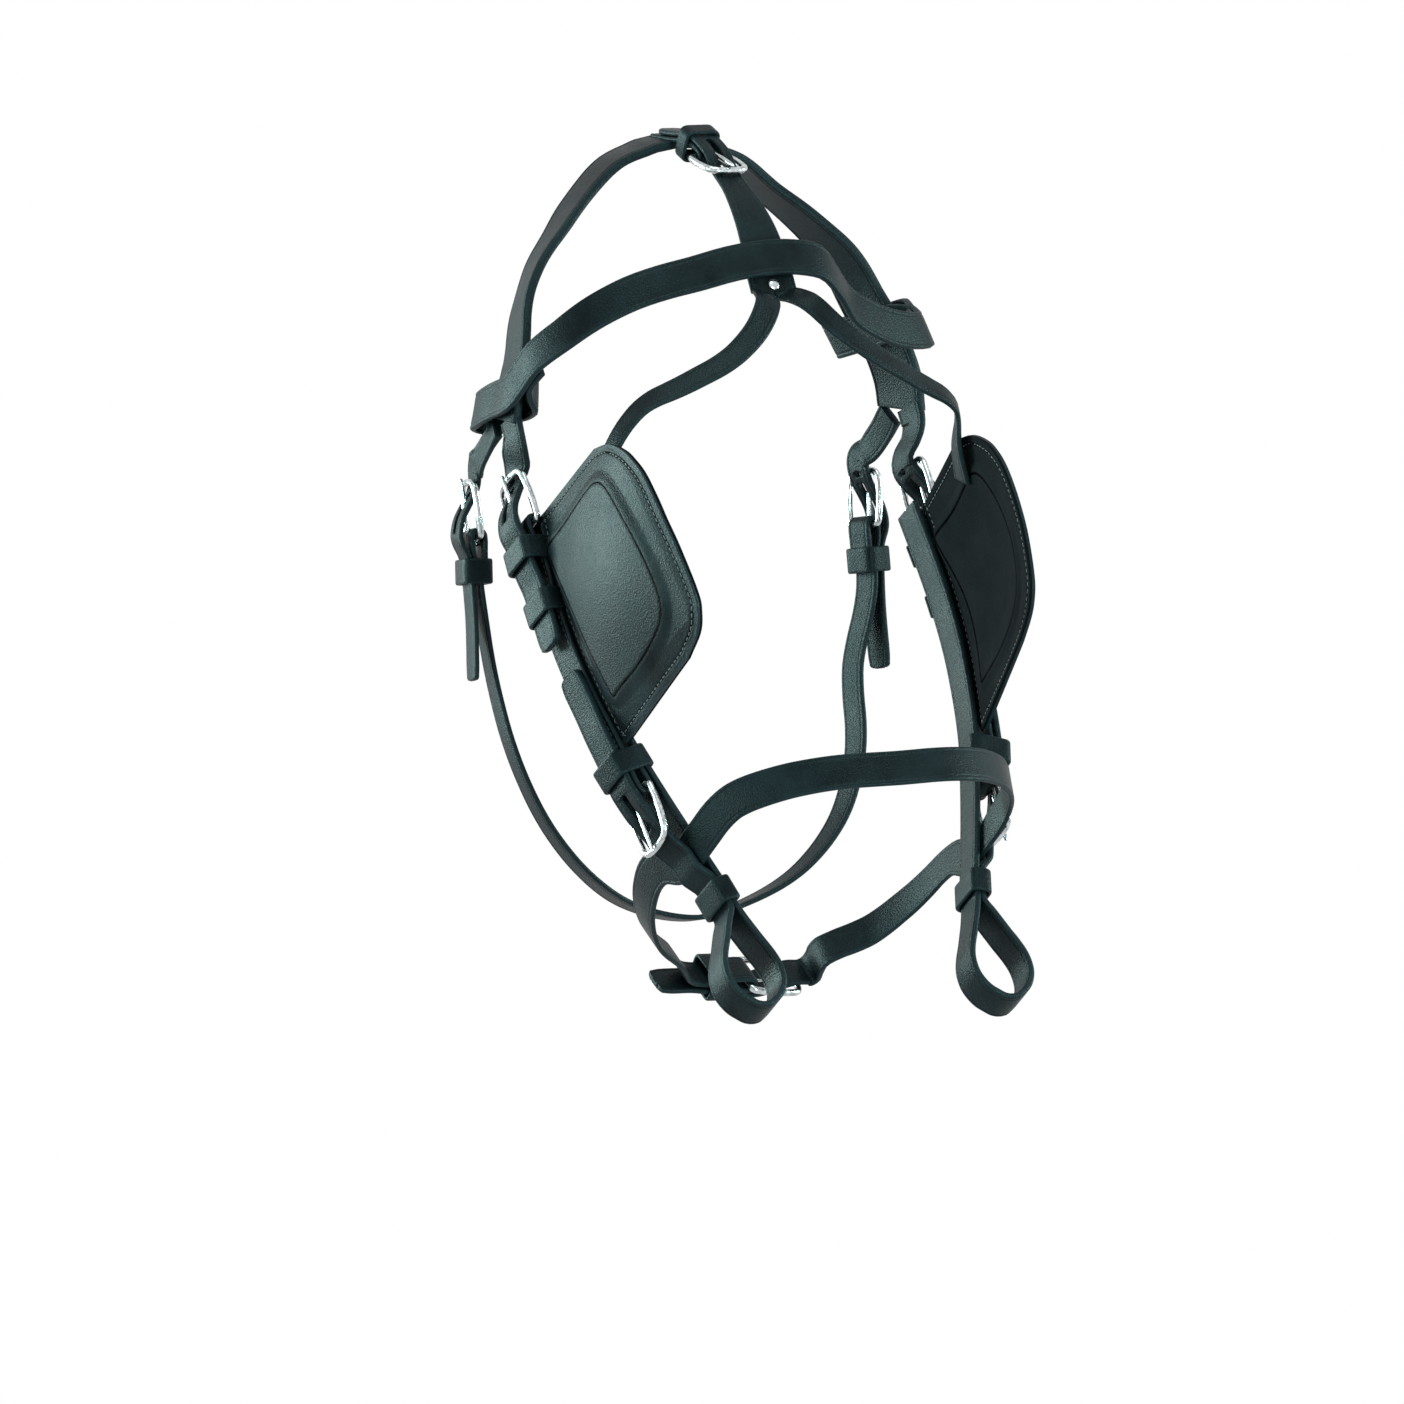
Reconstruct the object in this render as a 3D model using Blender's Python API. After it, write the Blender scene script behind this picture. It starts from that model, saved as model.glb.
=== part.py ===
"""Driving bridle with winkers: every strap, buckle and keeper as its own solid.

Metres, +Z up, +X to the front of the head, +Y to its left. The origin is the middle of the
crownpiece's underside, where the bridle hangs on the poll. Cheek pieces are laid out along the
cheek line: "along" runs down the cheek from the upper buckle's bar, "out" stands off the head
and "across" runs forward over the strap's width.
"""
import math

import bmesh
import bpy
import numpy as np
from mathutils import Matrix, Vector

# Leather
STRAP_WIDTH = 0.019
THROAT_WIDTH = 0.015
STAY_BILLET_WIDTH = 0.015
STAY_ARM_WIDTH = 0.013
LEATHER = 0.0032
CROWN_LEATHER = 0.0045
FACING_LEATHER = 0.0028
THROAT_LEATHER = 0.0026
STAY_LEATHER = 0.0026
KEEPER_LEATHER = 0.0020
KEEPER_WIDTH = 0.0125
RUNNER_WIDTH = 0.0135
TIP_LENGTH = 0.009
TIP_WIDTH = 0.007
TIP_SHARES = (0.35, 0.65, 0.88, 1.0)
FIT_GAP = 0.0003

# Buckles
WIRE_RADIUS = 0.00175
TONGUE_RADIUS = 0.00125
TONGUE_TIP_RADIUS = 0.0009
TONGUE_SHARES = (0.0, 0.12, 0.8, 1.0)
BUCKLE_LENGTH = 0.029
THROAT_BUCKLE_LENGTH = 0.027
STAY_BUCKLE_LENGTH = 0.022
BUCKLE_SIDE_GAP = 0.0013
NOSE_CORNER = 0.006
TONGUE_OVERHANG = 0.0012
TONGUE_SLOT_GAP = 0.0006
FOLD_LENGTH = 0.014
BAR_LIFT = 0.0012
UPPER_NOSE_RISE = 0.0029
LOWER_NOSE_RISE = 0.0074
THROAT_NOSE_RISE = 0.003
BILLET_SLOT_LENGTH = 0.0180
BILLET_SLOT_LEAD = 0.0030
NOSE_LEAD = 0.006

# Cheek line, down the side of the head
CHEEK_LEAN = math.radians(36.4)
CHEEK_TOP_FORWARD = 0.0627
CHEEK_HANG = 0.0500
CHEEK_RUN = 0.222
CHEEK_HALF_WIDTH = 0.1055
CHEEK_LINE_SHARES = (
    (-0.150, 0.972), (-0.015, 0.981), (0.100, 0.995), (0.210, 1.000), (0.325, 0.991),
    (0.440, 0.962), (0.550, 0.921), (0.617, 0.883), (0.685, 0.841), (0.775, 0.782),
    (0.870, 0.716), (0.940, 0.668), (1.000, 0.635), (1.300, 0.500),
)
STRAP_TOP_LAP = 0.006
UPPER_KEEPER_DROP = 0.015
MIDDLE_KEEPER_DROP = 0.044
UPPER_KEEPER_SHARE = 0.62
LOWER_KEEPER_SHARE = 0.85
UPPER_TIP_DROP = 0.066
UPPER_BULGE = 0.003
BILLET_SPRING = 0.002
LOWER_KEEPER_GAP = 0.002
LOWER_BAR_GAP = 0.008
LOWER_TIP_RISE = 0.068
NOSEBAND_TUCK = 0.001
RUNNER_GAP = 0.009
RUNNER_CLEARANCE = 0.0005
LOOP_LEAD = 0.003
BIT_LOOP_LENGTH = 0.0565
BIT_LOOP_WIDTH = 0.0320

# Winkers
WINKER_HEIGHT = 0.128
WINKER_WIDTH = 0.111
WINKER_LEAD = 0.0015
WINKER_DISH = 0.007
WINKER_FLARE_RIGHT_SHARE = 0.02
WINKER_FLARE_LEFT_SHARE = -0.20
WINKER_OUTER = 0.0016
WINKER_LINING = 0.0012
WINKER_PLATE = 0.0012
FLANGE_DEPTH = 0.003
FLANGE_CLEARANCE = 0.0007
WINKER_SEAM_SHARES = (0.0, 0.05, 0.12, 0.20, 0.30, 0.40, 0.50, 0.60, 0.72, 0.82, 0.90, 0.95, 1.0)
WINKER_FRONT_SHARES = (
    (0.605, 0.005), (0.74, 0.055), (0.853, 0.14), (0.915, 0.22), (0.955, 0.30), (0.98, 0.41), (0.991, 0.51),
    (1.0, 0.62), (0.995, 0.74), (0.98, 0.84), (0.951, 0.893), (0.868, 0.95), (0.70, 0.983),
)
WINKER_ROW_SHARES = (0.0, 0.035, 0.075, 0.16, 0.27, 0.38, 0.50, 0.62, 0.73, 0.84, 0.925, 0.965, 1.0)
PLATE_INSET_COUNT = 2

# Crownpiece
CROWN_WIDTH = 0.025
CROWN_SEAT_LENGTH = 0.030
CROWN_FORWARD = 0.037
CROWN_HALF_WIDTH = 0.113
CROWN_DROP = 0.1305
CHEEK_TOP_DROP = CROWN_DROP + CHEEK_HANG
CROWN_PATH_SHARES = (
    (-0.02, 0.30, 0.057), (0.05, 0.47, 0.181), (0.30, 0.63, 0.305), (0.46, 0.76, 0.425),
    (0.62, 0.86, 0.592), (0.90, 0.93, 0.754), (1.00, 0.978, 0.888), (1.00, 1.00, 1.000),
)
CROWN_END_LEAN_SHARE = 0.34
CROWN_TURN = math.radians(17)
CROWN_TURN_SHARES = ((0.0, 0.0), (0.2, 0.3), (0.5, 1.0), (0.75, 0.7), (1.0, 0.35))
BILLET_MIDWAY_FORWARD = 0.004
BILLET_MIDWAY_DROP = 0.0095

# Browband
BAND_FORWARD = 0.099
BAND_DROP = 0.044
BAND_RIGHT_SHARES = ((1.02, 0.37, 0.14), (0.99, 0.66, 0.32), (0.93, 0.83, 0.54), (0.86, 0.93, 0.75))
BAND_LEFT_SHARES = ((0.99, 0.275, 0.08), (0.90, 0.50, 0.64), (0.82, 0.75, 0.93))
BAND_RISE_RIGHT = 0.0120
BAND_RISE_LEFT = 0.0425
BAND_BEND_RIGHT = math.radians(35)
BAND_BEND_LEFT = math.radians(-20)
BAND_TURN_RIGHT = math.radians(10)
BAND_TURN_LEFT = math.radians(35)
BAND_LOOP_CLEARANCE = 0.0030
BAND_REAR_CLEARANCE = 0.0080
BAND_LOOP_LAP = 0.012
BAND_LOOP_NECK = 0.010
BAND_LEAN_SHARE = 0.52

# Winker stay
STEM_BAR_FORWARD = 0.034
STEM_BAR_DROP = 0.0045
STEM_LEAN = math.radians(20)
STEM_SHARES = ((0.36, 0.24), (0.72, 0.58))
STEM_TIP_SHARE = 0.7
STAY_FORK_DROP = 0.0175
STAY_TIP_BACK = 0.040
STAY_KEEPER_BACK = 0.012
STAY_KEEPER_WIDTH = 0.00875
HANGER_BACK = 0.010
ARM_FORWARD = 0.134
ARM_RIGHT_SHARES = (
    (0.880, 0.10, 0.485), (0.955, 0.20, 0.575), (0.990, 0.34, 0.670),
    (0.990, 0.59, 0.775), (0.975, 0.79, 0.855),
)
ARM_LEFT_SHARES = (
    (0.880, 0.10, 0.485), (0.955, 0.20, 0.575), (0.990, 0.34, 0.665),
    (0.990, 0.59, 0.785), (0.985, 0.79, 0.895),
)
ARM_LEFT_TURN_POWER = 1.7
ARM_DROP = 0.132
ARM_SEAT_ALONG = 0.006
ARM_SEAT_ACROSS = 0.080
ARM_SEAT_LAP = 0.013
STAY_UNDER_GAP = 0.0015
RIVET_RISE = 0.004
RIVET_RADIUS = 0.0014
RIVET_SIDES = 12
RIVET_HEAD_RADIUS = 0.0030
RIVET_HEAD = 0.0010

# Throatlatch
THROAT_BAR_FORWARD = 0.0075
THROAT_BAR_HALF_WIDTH = 0.1065
THROAT_HANG = 0.0585
THROAT_BAR_DROP = CROWN_DROP + THROAT_HANG
THROAT_LEAN = math.radians(9)
THROAT_TURN = math.radians(12)
THROAT_TUCK = math.radians(-2)
THROAT_KEEPER_DROP = 0.017
THROAT_TIP_DROP = 0.071
THROAT_REACH = 0.037
THROAT_HALF_WIDTH = 0.100
THROAT_LOW = 0.378
THROAT_SHARES = (
    (0.34, 1.030, 0.680), (0.76, 0.965, 0.793), (0.98, 0.835, 0.872), (1.02, 0.590, 0.943),
    (0.90, 0.300, 0.985),
)
THROAT_BILLET_MIDWAY_SHARES = ((0.60, 0.44), (0.26, 0.78))

# Noseband
NOSE_REACH = 0.066
NOSE_RISE = 0.048
NOSE_REAR_REACH = 0.093
NOSE_REAR_DROP = 0.0664
NOSE_RIGHT_SHARES = ((0.37, 0.87, 0.60), (0.59, 0.68, 0.80), (0.80, 0.42, 0.93))
NOSE_LEFT_SHARES = ((0.30, 1.05, 0.49), (0.60, 0.93, 0.78), (0.845, 0.70, 0.95), (1.04, 0.30, 1.03))
NOSE_REAR_SHARES = ((0.25, 1.02, 0.11), (0.55, 0.93, 0.44), (0.73, 0.75, 0.71), (0.86, 0.51, 0.88))
NOSE_LEAN = math.radians(36)
JAW_LEAN = math.radians(59)
NOSE_BAR_OFFSET = 0.006
NOSE_TIP_BACK = 0.050
NOSE_KEEPER_BACK = 0.017

# Shape of a billet through its buckle: shares of the buckle's length and of its climb
BIT_LOOP_SHARES = ((0.12, 0.13), (0.34, 0.30), (0.58, 0.47), (0.76, 0.47), (0.91, 0.33), (1.0, 0.11))
FACING_UPPER_SHARES = (0.8, 0.4)
FACING_LOWER_SHARES = (0.85, 0.45)
RUNNER_EASE_SHARE = 0.75
BAND_LIFT_SHARE = 0.97
BUCKLE_LEAD_SHARE = 0.6
UNDER_LOWER_KEEPER_SHARE = 0.6
TIP_REST_SHARE = 0.7
UPPER_REST_SHARES = (0.60, 0.44, 0.10)
UPPER_REST_PLACE_SHARE = 0.6
FOLDED_RUN_SHARES = ((0.5, 0.85), (1.0, 0.35), (1.5, 0.0))
FOLDED_END_SHARES = (2.2, 0.7)
KEEPER_PASS_SHARES = ((0.5, 0.95), (0.0, 0.6), (-0.5, 0.4))
BILLET_LIES_SHARE = 0.45
BAND_TWIST_SHARES = (0.2, 0.8)
RIVET_DOME_SHARE = 0.7
JAW_TWIST_SHARE = 0.25
NOSE_TWIST_SHARE = 0.4
BILLET_CLIMB_SHARES = ((1.0, 0.0), (0.80, 0.16), (0.58, 0.50), (0.32, 0.86), (0.0, 1.0))
CURVE_STEPS = 3
FACING_ROWS = 7
CHEEK_ROWS = 15
WIRE_SIDES = 8
CORNER_STEPS = 4
FOLD_STEPS = 8
CURL_STEPS = 9
CURL_TURN = math.radians(265)
CUT_OVERRUN = 0.002

LEATHER_COLOUR = (0.012, 0.015, 0.017, 1.0)
LINING_COLOUR = (0.016, 0.017, 0.018, 1.0)
NICKEL_COLOUR = (0.74, 0.76, 0.77, 1.0)
STEEL_COLOUR = (0.35, 0.36, 0.37, 1.0)
SIDES = (("right", -1), ("left", 1))


def clear_scene():
    """Remove whatever the file opened with."""
    for item in list(bpy.data.objects):
        bpy.data.objects.remove(item, do_unlink=True)


def unit(vector):
    """The vector, or each row of an array of them, at length one."""
    return vector / np.linalg.norm(vector, axis=-1, keepdims=True)


def mix(low, high, share):
    """The value that lies a share of the way from low to high."""
    return low + (high - low) * share


def smooth_curve(points, steps=CURVE_STEPS):
    """Points on cubic spans through the given ones; each slope is the mean of its two chords."""
    points = np.array(points, dtype=float)
    chords = np.linalg.norm(np.diff(points, axis=0), axis=1)[:, None]
    slopes = np.diff(points, axis=0) / chords
    tangents = np.vstack((slopes[:1], slopes, slopes[-1:]))
    ahead = np.vstack((chords, chords[-1:]))
    behind = np.vstack((chords[:1], chords))
    tangents = (tangents[:-1] * ahead + tangents[1:] * behind) / (ahead + behind)
    share = (np.arange(steps) / steps)[None, :, None]
    start, end = points[:-1, None], points[1:, None]
    lead, trail = tangents[:-1, None] * chords[:, None], tangents[1:, None] * chords[:, None]
    spans = (start * (2 * share**3 - 3 * share**2 + 1) + lead * (share**3 - 2 * share**2 + share)
             + end * (3 * share**2 - 2 * share**3) + trail * (share**3 - share**2))
    return np.vstack((spans.reshape(-1, points.shape[1]), points[-1:]))


def spread(values, steps=CURVE_STEPS):
    """A value for each given point of a smooth curve, carried to all of the curve's points."""
    values = np.array(values, dtype=float)
    places = np.arange((len(values) - 1) * steps + 1) / steps
    return np.column_stack([np.interp(places, np.arange(len(values)), column) for column in values.T])


def mirrored(points, side):
    """Points of the left side, carried to the side asked for."""
    return np.array(points, dtype=float) * (1, side, 1)


class Seat:
    """A straight place to build on: a point and the directions along, out and across."""

    def __init__(self, origin, along, out):
        self.origin = np.array(origin, dtype=float)
        self.along = unit(np.array(along, dtype=float))
        out = np.array(out, dtype=float)
        self.out = unit(out - self.along * (out @ self.along))
        self.across = np.cross(self.along, self.out)

    def at(self, along, out, across=0.0):
        """The point that stands these distances from the seat's origin."""
        return self.origin + self.along * along + self.out * out + self.across * across

    def line(self, pairs):
        """The points of a list of (along, out) pairs."""
        return np.array([self.at(along, out) for along, out in pairs])


def finish_material(name, colour, roughness, metallic):
    """A plain Principled material for one piece."""
    material = bpy.data.materials.new(name)
    material.use_nodes = True
    shader = material.node_tree.nodes["Principled BSDF"]
    shader.inputs["Base Color"].default_value = colour
    shader.inputs["Roughness"].default_value = roughness
    shader.inputs["Metallic"].default_value = metallic
    material.diffuse_color = colour
    return material


def add_object(name, mesh_builder, finish):
    """Turn a bmesh into a named object with its own material, faces pointing out."""
    bmesh.ops.recalc_face_normals(mesh_builder, faces=mesh_builder.faces)
    mesh = bpy.data.meshes.new(name)
    mesh_builder.to_mesh(mesh)
    mesh_builder.free()
    mesh.shade_smooth()
    mesh.set_sharp_from_angle(angle=math.radians(35))
    mesh.materials.append(finish_material(name + "_finish", *finish))
    item = bpy.data.objects.new(name, mesh)
    bpy.context.scene.collection.objects.link(item)
    return item


LEATHER_FINISH = (LEATHER_COLOUR, 0.45, 0.0)
LINING_FINISH = (LINING_COLOUR, 0.6, 0.0)
NICKEL_FINISH = (NICKEL_COLOUR, 0.2, 1.0)
STEEL_FINISH = (STEEL_COLOUR, 0.4, 1.0)


def set_origin(item, point):
    """Put an object's origin on a point, such as one of its joint's axis."""
    item.data.transform(Matrix.Translation(-Vector(point)))
    item.location = Vector(point)


def strap_frames(centres, across):
    """Across and outward directions of a strap at each of its centres."""
    tangents = unit(np.gradient(centres, axis=0))
    across = np.broadcast_to(np.array(across, dtype=float), centres.shape)
    across = unit(across - tangents * np.sum(across * tangents, axis=1, keepdims=True))
    return across, np.cross(tangents, across)


def strap_rings(centres, across, widths, thickness, flip=1, middle=None):
    """Corner rings of a strap, front edge first; with a middle share, rings of six points."""
    across, outward = strap_frames(centres, across)
    widths = np.broadcast_to(widths, len(centres))[:, None]
    half = outward * thickness / 2 * flip
    front = centres + across * widths / 2
    rear = centres - across * widths / 2
    if middle is None:
        return np.stack((front - half, rear - half, rear + half, front + half), axis=1)
    split = front + (rear - front) * middle
    return np.stack((front - half, split - half, rear - half,
                     rear + half, split + half, front + half), axis=1)


def add_rings(builder, rings, start=None, end_cap=True):
    """Join rings of points with faces, from given corners or from a closed first ring."""
    if start is None:
        start = [builder.verts.new(point) for point in rings[0]]
        builder.faces.new(start)
    last = start
    for ring in rings[1:]:
        corners = [builder.verts.new(point) for point in ring]
        for index in range(len(corners)):
            ahead = (index + 1) % len(corners)
            builder.faces.new((last[index], last[ahead], corners[ahead], corners[index]))
        last = corners
    if end_cap:
        builder.faces.new(last)
    return last


def add_closed_rings(builder, rings):
    """Join rings of points into an endless band."""
    rows = [[builder.verts.new(point) for point in ring] for ring in rings]
    for row, following in zip(rows, rows[1:] + rows[:1]):
        for index in range(len(row)):
            ahead = (index + 1) % len(row)
            builder.faces.new((row[index], row[ahead], following[ahead], following[index]))


def add_strap(name, centres, across, widths, thickness, finish=LEATHER_FINISH):
    """A flat strap along a line of centres."""
    builder = bmesh.new()
    add_rings(builder, strap_rings(np.array(centres), across, widths, thickness))
    return add_object(name, builder, finish)


def add_band(name, centres, across, width, thickness, finish=LEATHER_FINISH):
    """An endless flat band round a closed line of centres."""
    centres = np.array(centres)
    wrapped = np.vstack((centres[-1:], centres, centres[:1]))
    rings = strap_rings(wrapped, across, width, thickness)[1:-1]
    builder = bmesh.new()
    add_closed_rings(builder, rings)
    return add_object(name, builder, finish)


def wire_rings(centres, flat, radius):
    """Round cross-sections of a wire whose centres lie in the plane square to flat."""
    tangents = unit(np.gradient(centres, axis=0))
    flat = np.broadcast_to(flat, centres.shape)
    sideways = np.cross(tangents, flat)
    turn = 2 * math.pi * np.arange(WIRE_SIDES) / WIRE_SIDES
    radius = np.broadcast_to(radius, len(centres))[:, None, None]
    ring = np.cos(turn)[None, :, None] * flat[:, None] + np.sin(turn)[None, :, None] * sideways[:, None]
    return centres[:, None] + ring * radius


def strap_widths(count, width, tip_rings):
    """Widths along a strap that narrows to its tip over the last rings."""
    widths = np.full(count, width)
    shares = np.sqrt(1 - (np.arange(1, tip_rings + 1) / tip_rings) ** 2)
    widths[-tip_rings:] = TIP_WIDTH + (width - TIP_WIDTH) * shares
    return widths


def with_tip(line):
    """A line whose last stretch, as long as a strap's tip, is cut into short steps."""
    line = np.array(line)
    ahead = unit(line[-1] - line[-2])
    steps = np.array(TIP_SHARES)[:, None]
    return np.vstack((line, line[-1] + ahead * steps * TIP_LENGTH))


def cut(item, cutter):
    """Cut one object with another, which stays as a hidden wire guide."""
    cutter.hide_render = True
    cutter.display_type = "WIRE"
    modifier = item.modifiers.new("cut_" + cutter.name, "BOOLEAN")
    modifier.operation = "DIFFERENCE"
    modifier.solver = "EXACT"
    modifier.object = cutter


def add_box_cutter(name, seat, along, out, half_across):
    """A box between two distances along a seat and two out from it."""
    builder = bmesh.new()
    rings = [[seat.at(place, height, sideways) for height, sideways in
              ((out[0], -half_across), (out[0], half_across),
               (out[1], half_across), (out[1], -half_across))] for place in along]
    add_rings(builder, np.array(rings))
    return add_object(name, builder, STEEL_FINISH)


def bar_height(base, leather, lift=0.0):
    """How high a buckle's bar stands over a base face once the fold passes under it."""
    return base + leather + FIT_GAP + WIRE_RADIUS + lift


def fold_radius(leather):
    """Radius of the middle of a fold round the bar."""
    return WIRE_RADIUS + FIT_GAP + leather / 2


def fold_line(seat, bar, leather, rest):
    """Strap centres: from the end of the turned-in part, round the bar, onto its outer side."""
    radius = fold_radius(leather)
    turn = np.linspace(-math.pi / 2, math.pi / 2, FOLD_STEPS + 1)
    arc = [(radius * math.cos(angle), bar + radius * math.sin(angle)) for angle in turn]
    inner = [(-FOLD_LENGTH, rest), (-FOLD_LENGTH / 2, (rest + bar - radius) / 2)]
    return seat.line(inner + arc)


def frame_line(seat, bar, strap_width, length, rise):
    """Centres of a buckle frame's wire, all round from the bar, and the direction square to it."""
    tilt = math.atan2(rise, length)
    frame_seat = Seat(seat.at(0, bar), seat.along * math.cos(tilt) + seat.out * math.sin(tilt),
                      seat.out * math.cos(tilt) - seat.along * math.sin(tilt))
    reach = math.hypot(length, rise)
    half = strap_width / 2 + BUCKLE_SIDE_GAP + WIRE_RADIUS
    heel = BUCKLE_SIDE_GAP + WIRE_RADIUS
    corners = ((heel, half - heel, heel, -90), (reach - NOSE_CORNER, half - NOSE_CORNER, NOSE_CORNER, 0))
    outline = []
    for along, across, radius, first in corners:
        for step in range(CORNER_STEPS + 1):
            angle = math.radians(first + 90 * step / CORNER_STEPS)
            outline.append((along + radius * math.sin(angle), across + radius * math.cos(angle)))
    outline += [(along, -across) for along, across in reversed(outline)]
    return np.array([frame_seat.at(along, 0, across) for along, across in outline]), frame_seat.out


def add_buckle(name, seat, bar, strap_width, length, rise):
    """Frame and tongue: a closed wire frame on its bar, and a pin curled round the bar."""
    centres, flat = frame_line(seat, bar, strap_width, length, rise)
    wrapped = np.vstack((centres[-1:], centres, centres[:1]))
    builder = bmesh.new()
    add_closed_rings(builder, wire_rings(wrapped, flat, WIRE_RADIUS)[1:-1])
    add_object(name + "_frame", builder, NICKEL_FINISH)
    add_tongue(name, seat, bar, length, rise)


def tongue_slope(length, rise):
    """Angle of the tongue from its curl on the bar to its rest on the nose of the frame."""
    curl = WIRE_RADIUS + FIT_GAP + TONGUE_RADIUS
    height = rise + curl
    return math.atan2(height, length) - math.asin(curl / math.hypot(length, height))


def tongue_line(seat, bar, length, rise):
    """Centres of a tongue: curled round the bar, then straight to the nose and just past it."""
    curl = WIRE_RADIUS + FIT_GAP + TONGUE_RADIUS
    slope = tongue_slope(length, rise)
    first = slope + math.pi / 2
    pairs = []
    for step in range(CURL_STEPS):
        angle = first + CURL_TURN * (1 - step / CURL_STEPS)
        pairs.append((curl * math.cos(angle), bar + curl * math.sin(angle)))
    root = (curl * math.cos(first), bar + curl * math.sin(first))
    reach = math.hypot(length, rise + curl) + TONGUE_OVERHANG
    for share in TONGUE_SHARES:
        pairs.append((root[0] + reach * share * math.cos(slope), root[1] + reach * share * math.sin(slope)))
    return seat.line(pairs)


def add_tongue(name, seat, bar, length, rise):
    """The pin of a buckle, narrower at its tip."""
    centres = tongue_line(seat, bar, length, rise)
    radius = np.full(len(centres), TONGUE_RADIUS)
    radius[-1] = TONGUE_TIP_RADIUS
    builder = bmesh.new()
    add_rings(builder, wire_rings(centres, seat.across, radius))
    item = add_object(name + "_tongue", builder, NICKEL_FINISH)
    set_origin(item, seat.at(0, bar))


def cut_fold(item, name, seat, bar, leather):
    """The oblong hole in a fold that lets the tongue curl round the bar."""
    reach = fold_radius(leather) + leather / 2 + FIT_GAP
    back = WIRE_RADIUS + FIT_GAP + TONGUE_RADIUS * 2 + TONGUE_SLOT_GAP
    half = TONGUE_RADIUS + TONGUE_SLOT_GAP
    cut(item, add_box_cutter(name, seat, (-back, reach), (bar - reach, bar + reach), half))


def climb_line(bar, leather, billet, length, rise, bulge=0.0):
    """(along, out) pairs of a billet from under the nose of a frame to over its bar."""
    low = bar + rise - WIRE_RADIUS - FIT_GAP - billet / 2 - FIT_GAP
    high = bar + fold_radius(leather) + leather / 2 + FIT_GAP + billet / 2 + FIT_GAP + bulge
    return [(length * along, mix(low, high, climb)) for along, climb in BILLET_CLIMB_SHARES]


def cut_billet(item, name, seat, climb, bar, billet, length, rise):
    """The hole in a billet where the tongue comes through it."""
    slope = tongue_slope(length, rise)
    curl = WIRE_RADIUS + FIT_GAP + TONGUE_RADIUS
    places = np.linspace(0, length, 60)
    tongue = bar + curl / math.cos(slope) + places * math.tan(slope)
    strap = np.interp(places, [pair[0] for pair in reversed(climb)], [pair[1] for pair in reversed(climb)])
    centre = places[np.argmin(np.abs(tongue - strap))]
    middle = bar + curl + centre * math.tan(slope)
    reach = billet + CUT_OVERRUN
    ends = (centre - BILLET_SLOT_LENGTH / 2 - BILLET_SLOT_LEAD, centre + BILLET_SLOT_LENGTH / 2)
    cut(item, add_box_cutter(name, seat, ends, (middle - reach, middle + reach), TONGUE_RADIUS + TONGUE_SLOT_GAP))


def keeper_line(seat, strap_width, low, high, ends=None):
    """Centres of a band round a stack of straps, or of one whose two ends stop beside it."""
    half = strap_width / 2 + FIT_GAP + KEEPER_LEATHER / 2
    bottom = low - KEEPER_LEATHER / 2
    top = high + KEEPER_LEATHER / 2
    radius = KEEPER_LEATHER / 2 + FIT_GAP
    corners = ((half - radius, top - radius, 0), (-half + radius, top - radius, 90),
               (-half + radius, bottom + radius, 180), (half - radius, bottom + radius, 270))
    outline = []
    for across, height, first in corners[:2] if ends else corners:
        for step in range(CORNER_STEPS // 2 + 1):
            angle = math.radians(first + 180 * step / CORNER_STEPS)
            outline.append((across + radius * math.cos(angle), height + radius * math.sin(angle)))
    if ends:
        outline = [(half, ends[0])] + outline + [(-half, ends[1])]
    return np.array([seat.at(0, height, across) for across, height in outline])


def keepers(label, side):
    """(name, seat, strap width, low, high, width, ends) of the keepers and the runner on one side."""
    seam = FLANGE_MIDDLE + FIT_GAP / 2 + WINKER_OUTER + FIT_GAP * 3
    ends = (seam, FIT_GAP)
    high = upper_climb()[-1][1]
    rest = ON_FACING + LEATHER / 2 + BILLET_SPRING
    upper_top = mix(rest, high, UPPER_KEEPER_SHARE) + LEATHER / 2 + FIT_GAP
    middle_top = rest + LEATHER / 2 + FIT_GAP * 2
    lower_top = mix(ON_FACING + LEATHER / 2, lower_climb()[-1][1], LOWER_KEEPER_SHARE) + LEATHER / 2 + FIT_GAP * 2
    runner_top = LEATHER * 2 + FIT_GAP + RUNNER_CLEARANCE
    throat = throat_seat(side)
    throat_top = billet_rest(THROAT_LEATHER, THROAT_KEEPER_DROP, THROAT_TIP_DROP)[0][1] + THROAT_LEATHER / 2 + FIT_GAP
    return (
        ("upper_keeper_" + label, cheek_seat(side, UPPER_KEEPER_DROP, side), STRAP_WIDTH, 0, upper_top,
         KEEPER_WIDTH, ends),
        ("middle_keeper_" + label, cheek_seat(side, MIDDLE_KEEPER_DROP, side), STRAP_WIDTH, 0, middle_top,
         KEEPER_WIDTH, ends),
        ("lower_keeper_" + label, cheek_seat(side, LOWER_KEEPER), STRAP_WIDTH, -FIT_GAP, lower_top,
         KEEPER_WIDTH, None),
        ("bit_runner_" + label, cheek_seat(side, RUNNER_PLACE), STRAP_WIDTH + RUNNER_CLEARANCE,
         -RUNNER_CLEARANCE, runner_top, RUNNER_WIDTH, None),
        ("throat_keeper_" + label, Seat(throat.at(-THROAT_KEEPER_DROP, 0), throat.along, throat.out),
         THROAT_WIDTH, -FIT_GAP, throat_top, KEEPER_WIDTH, None),
    )


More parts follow.
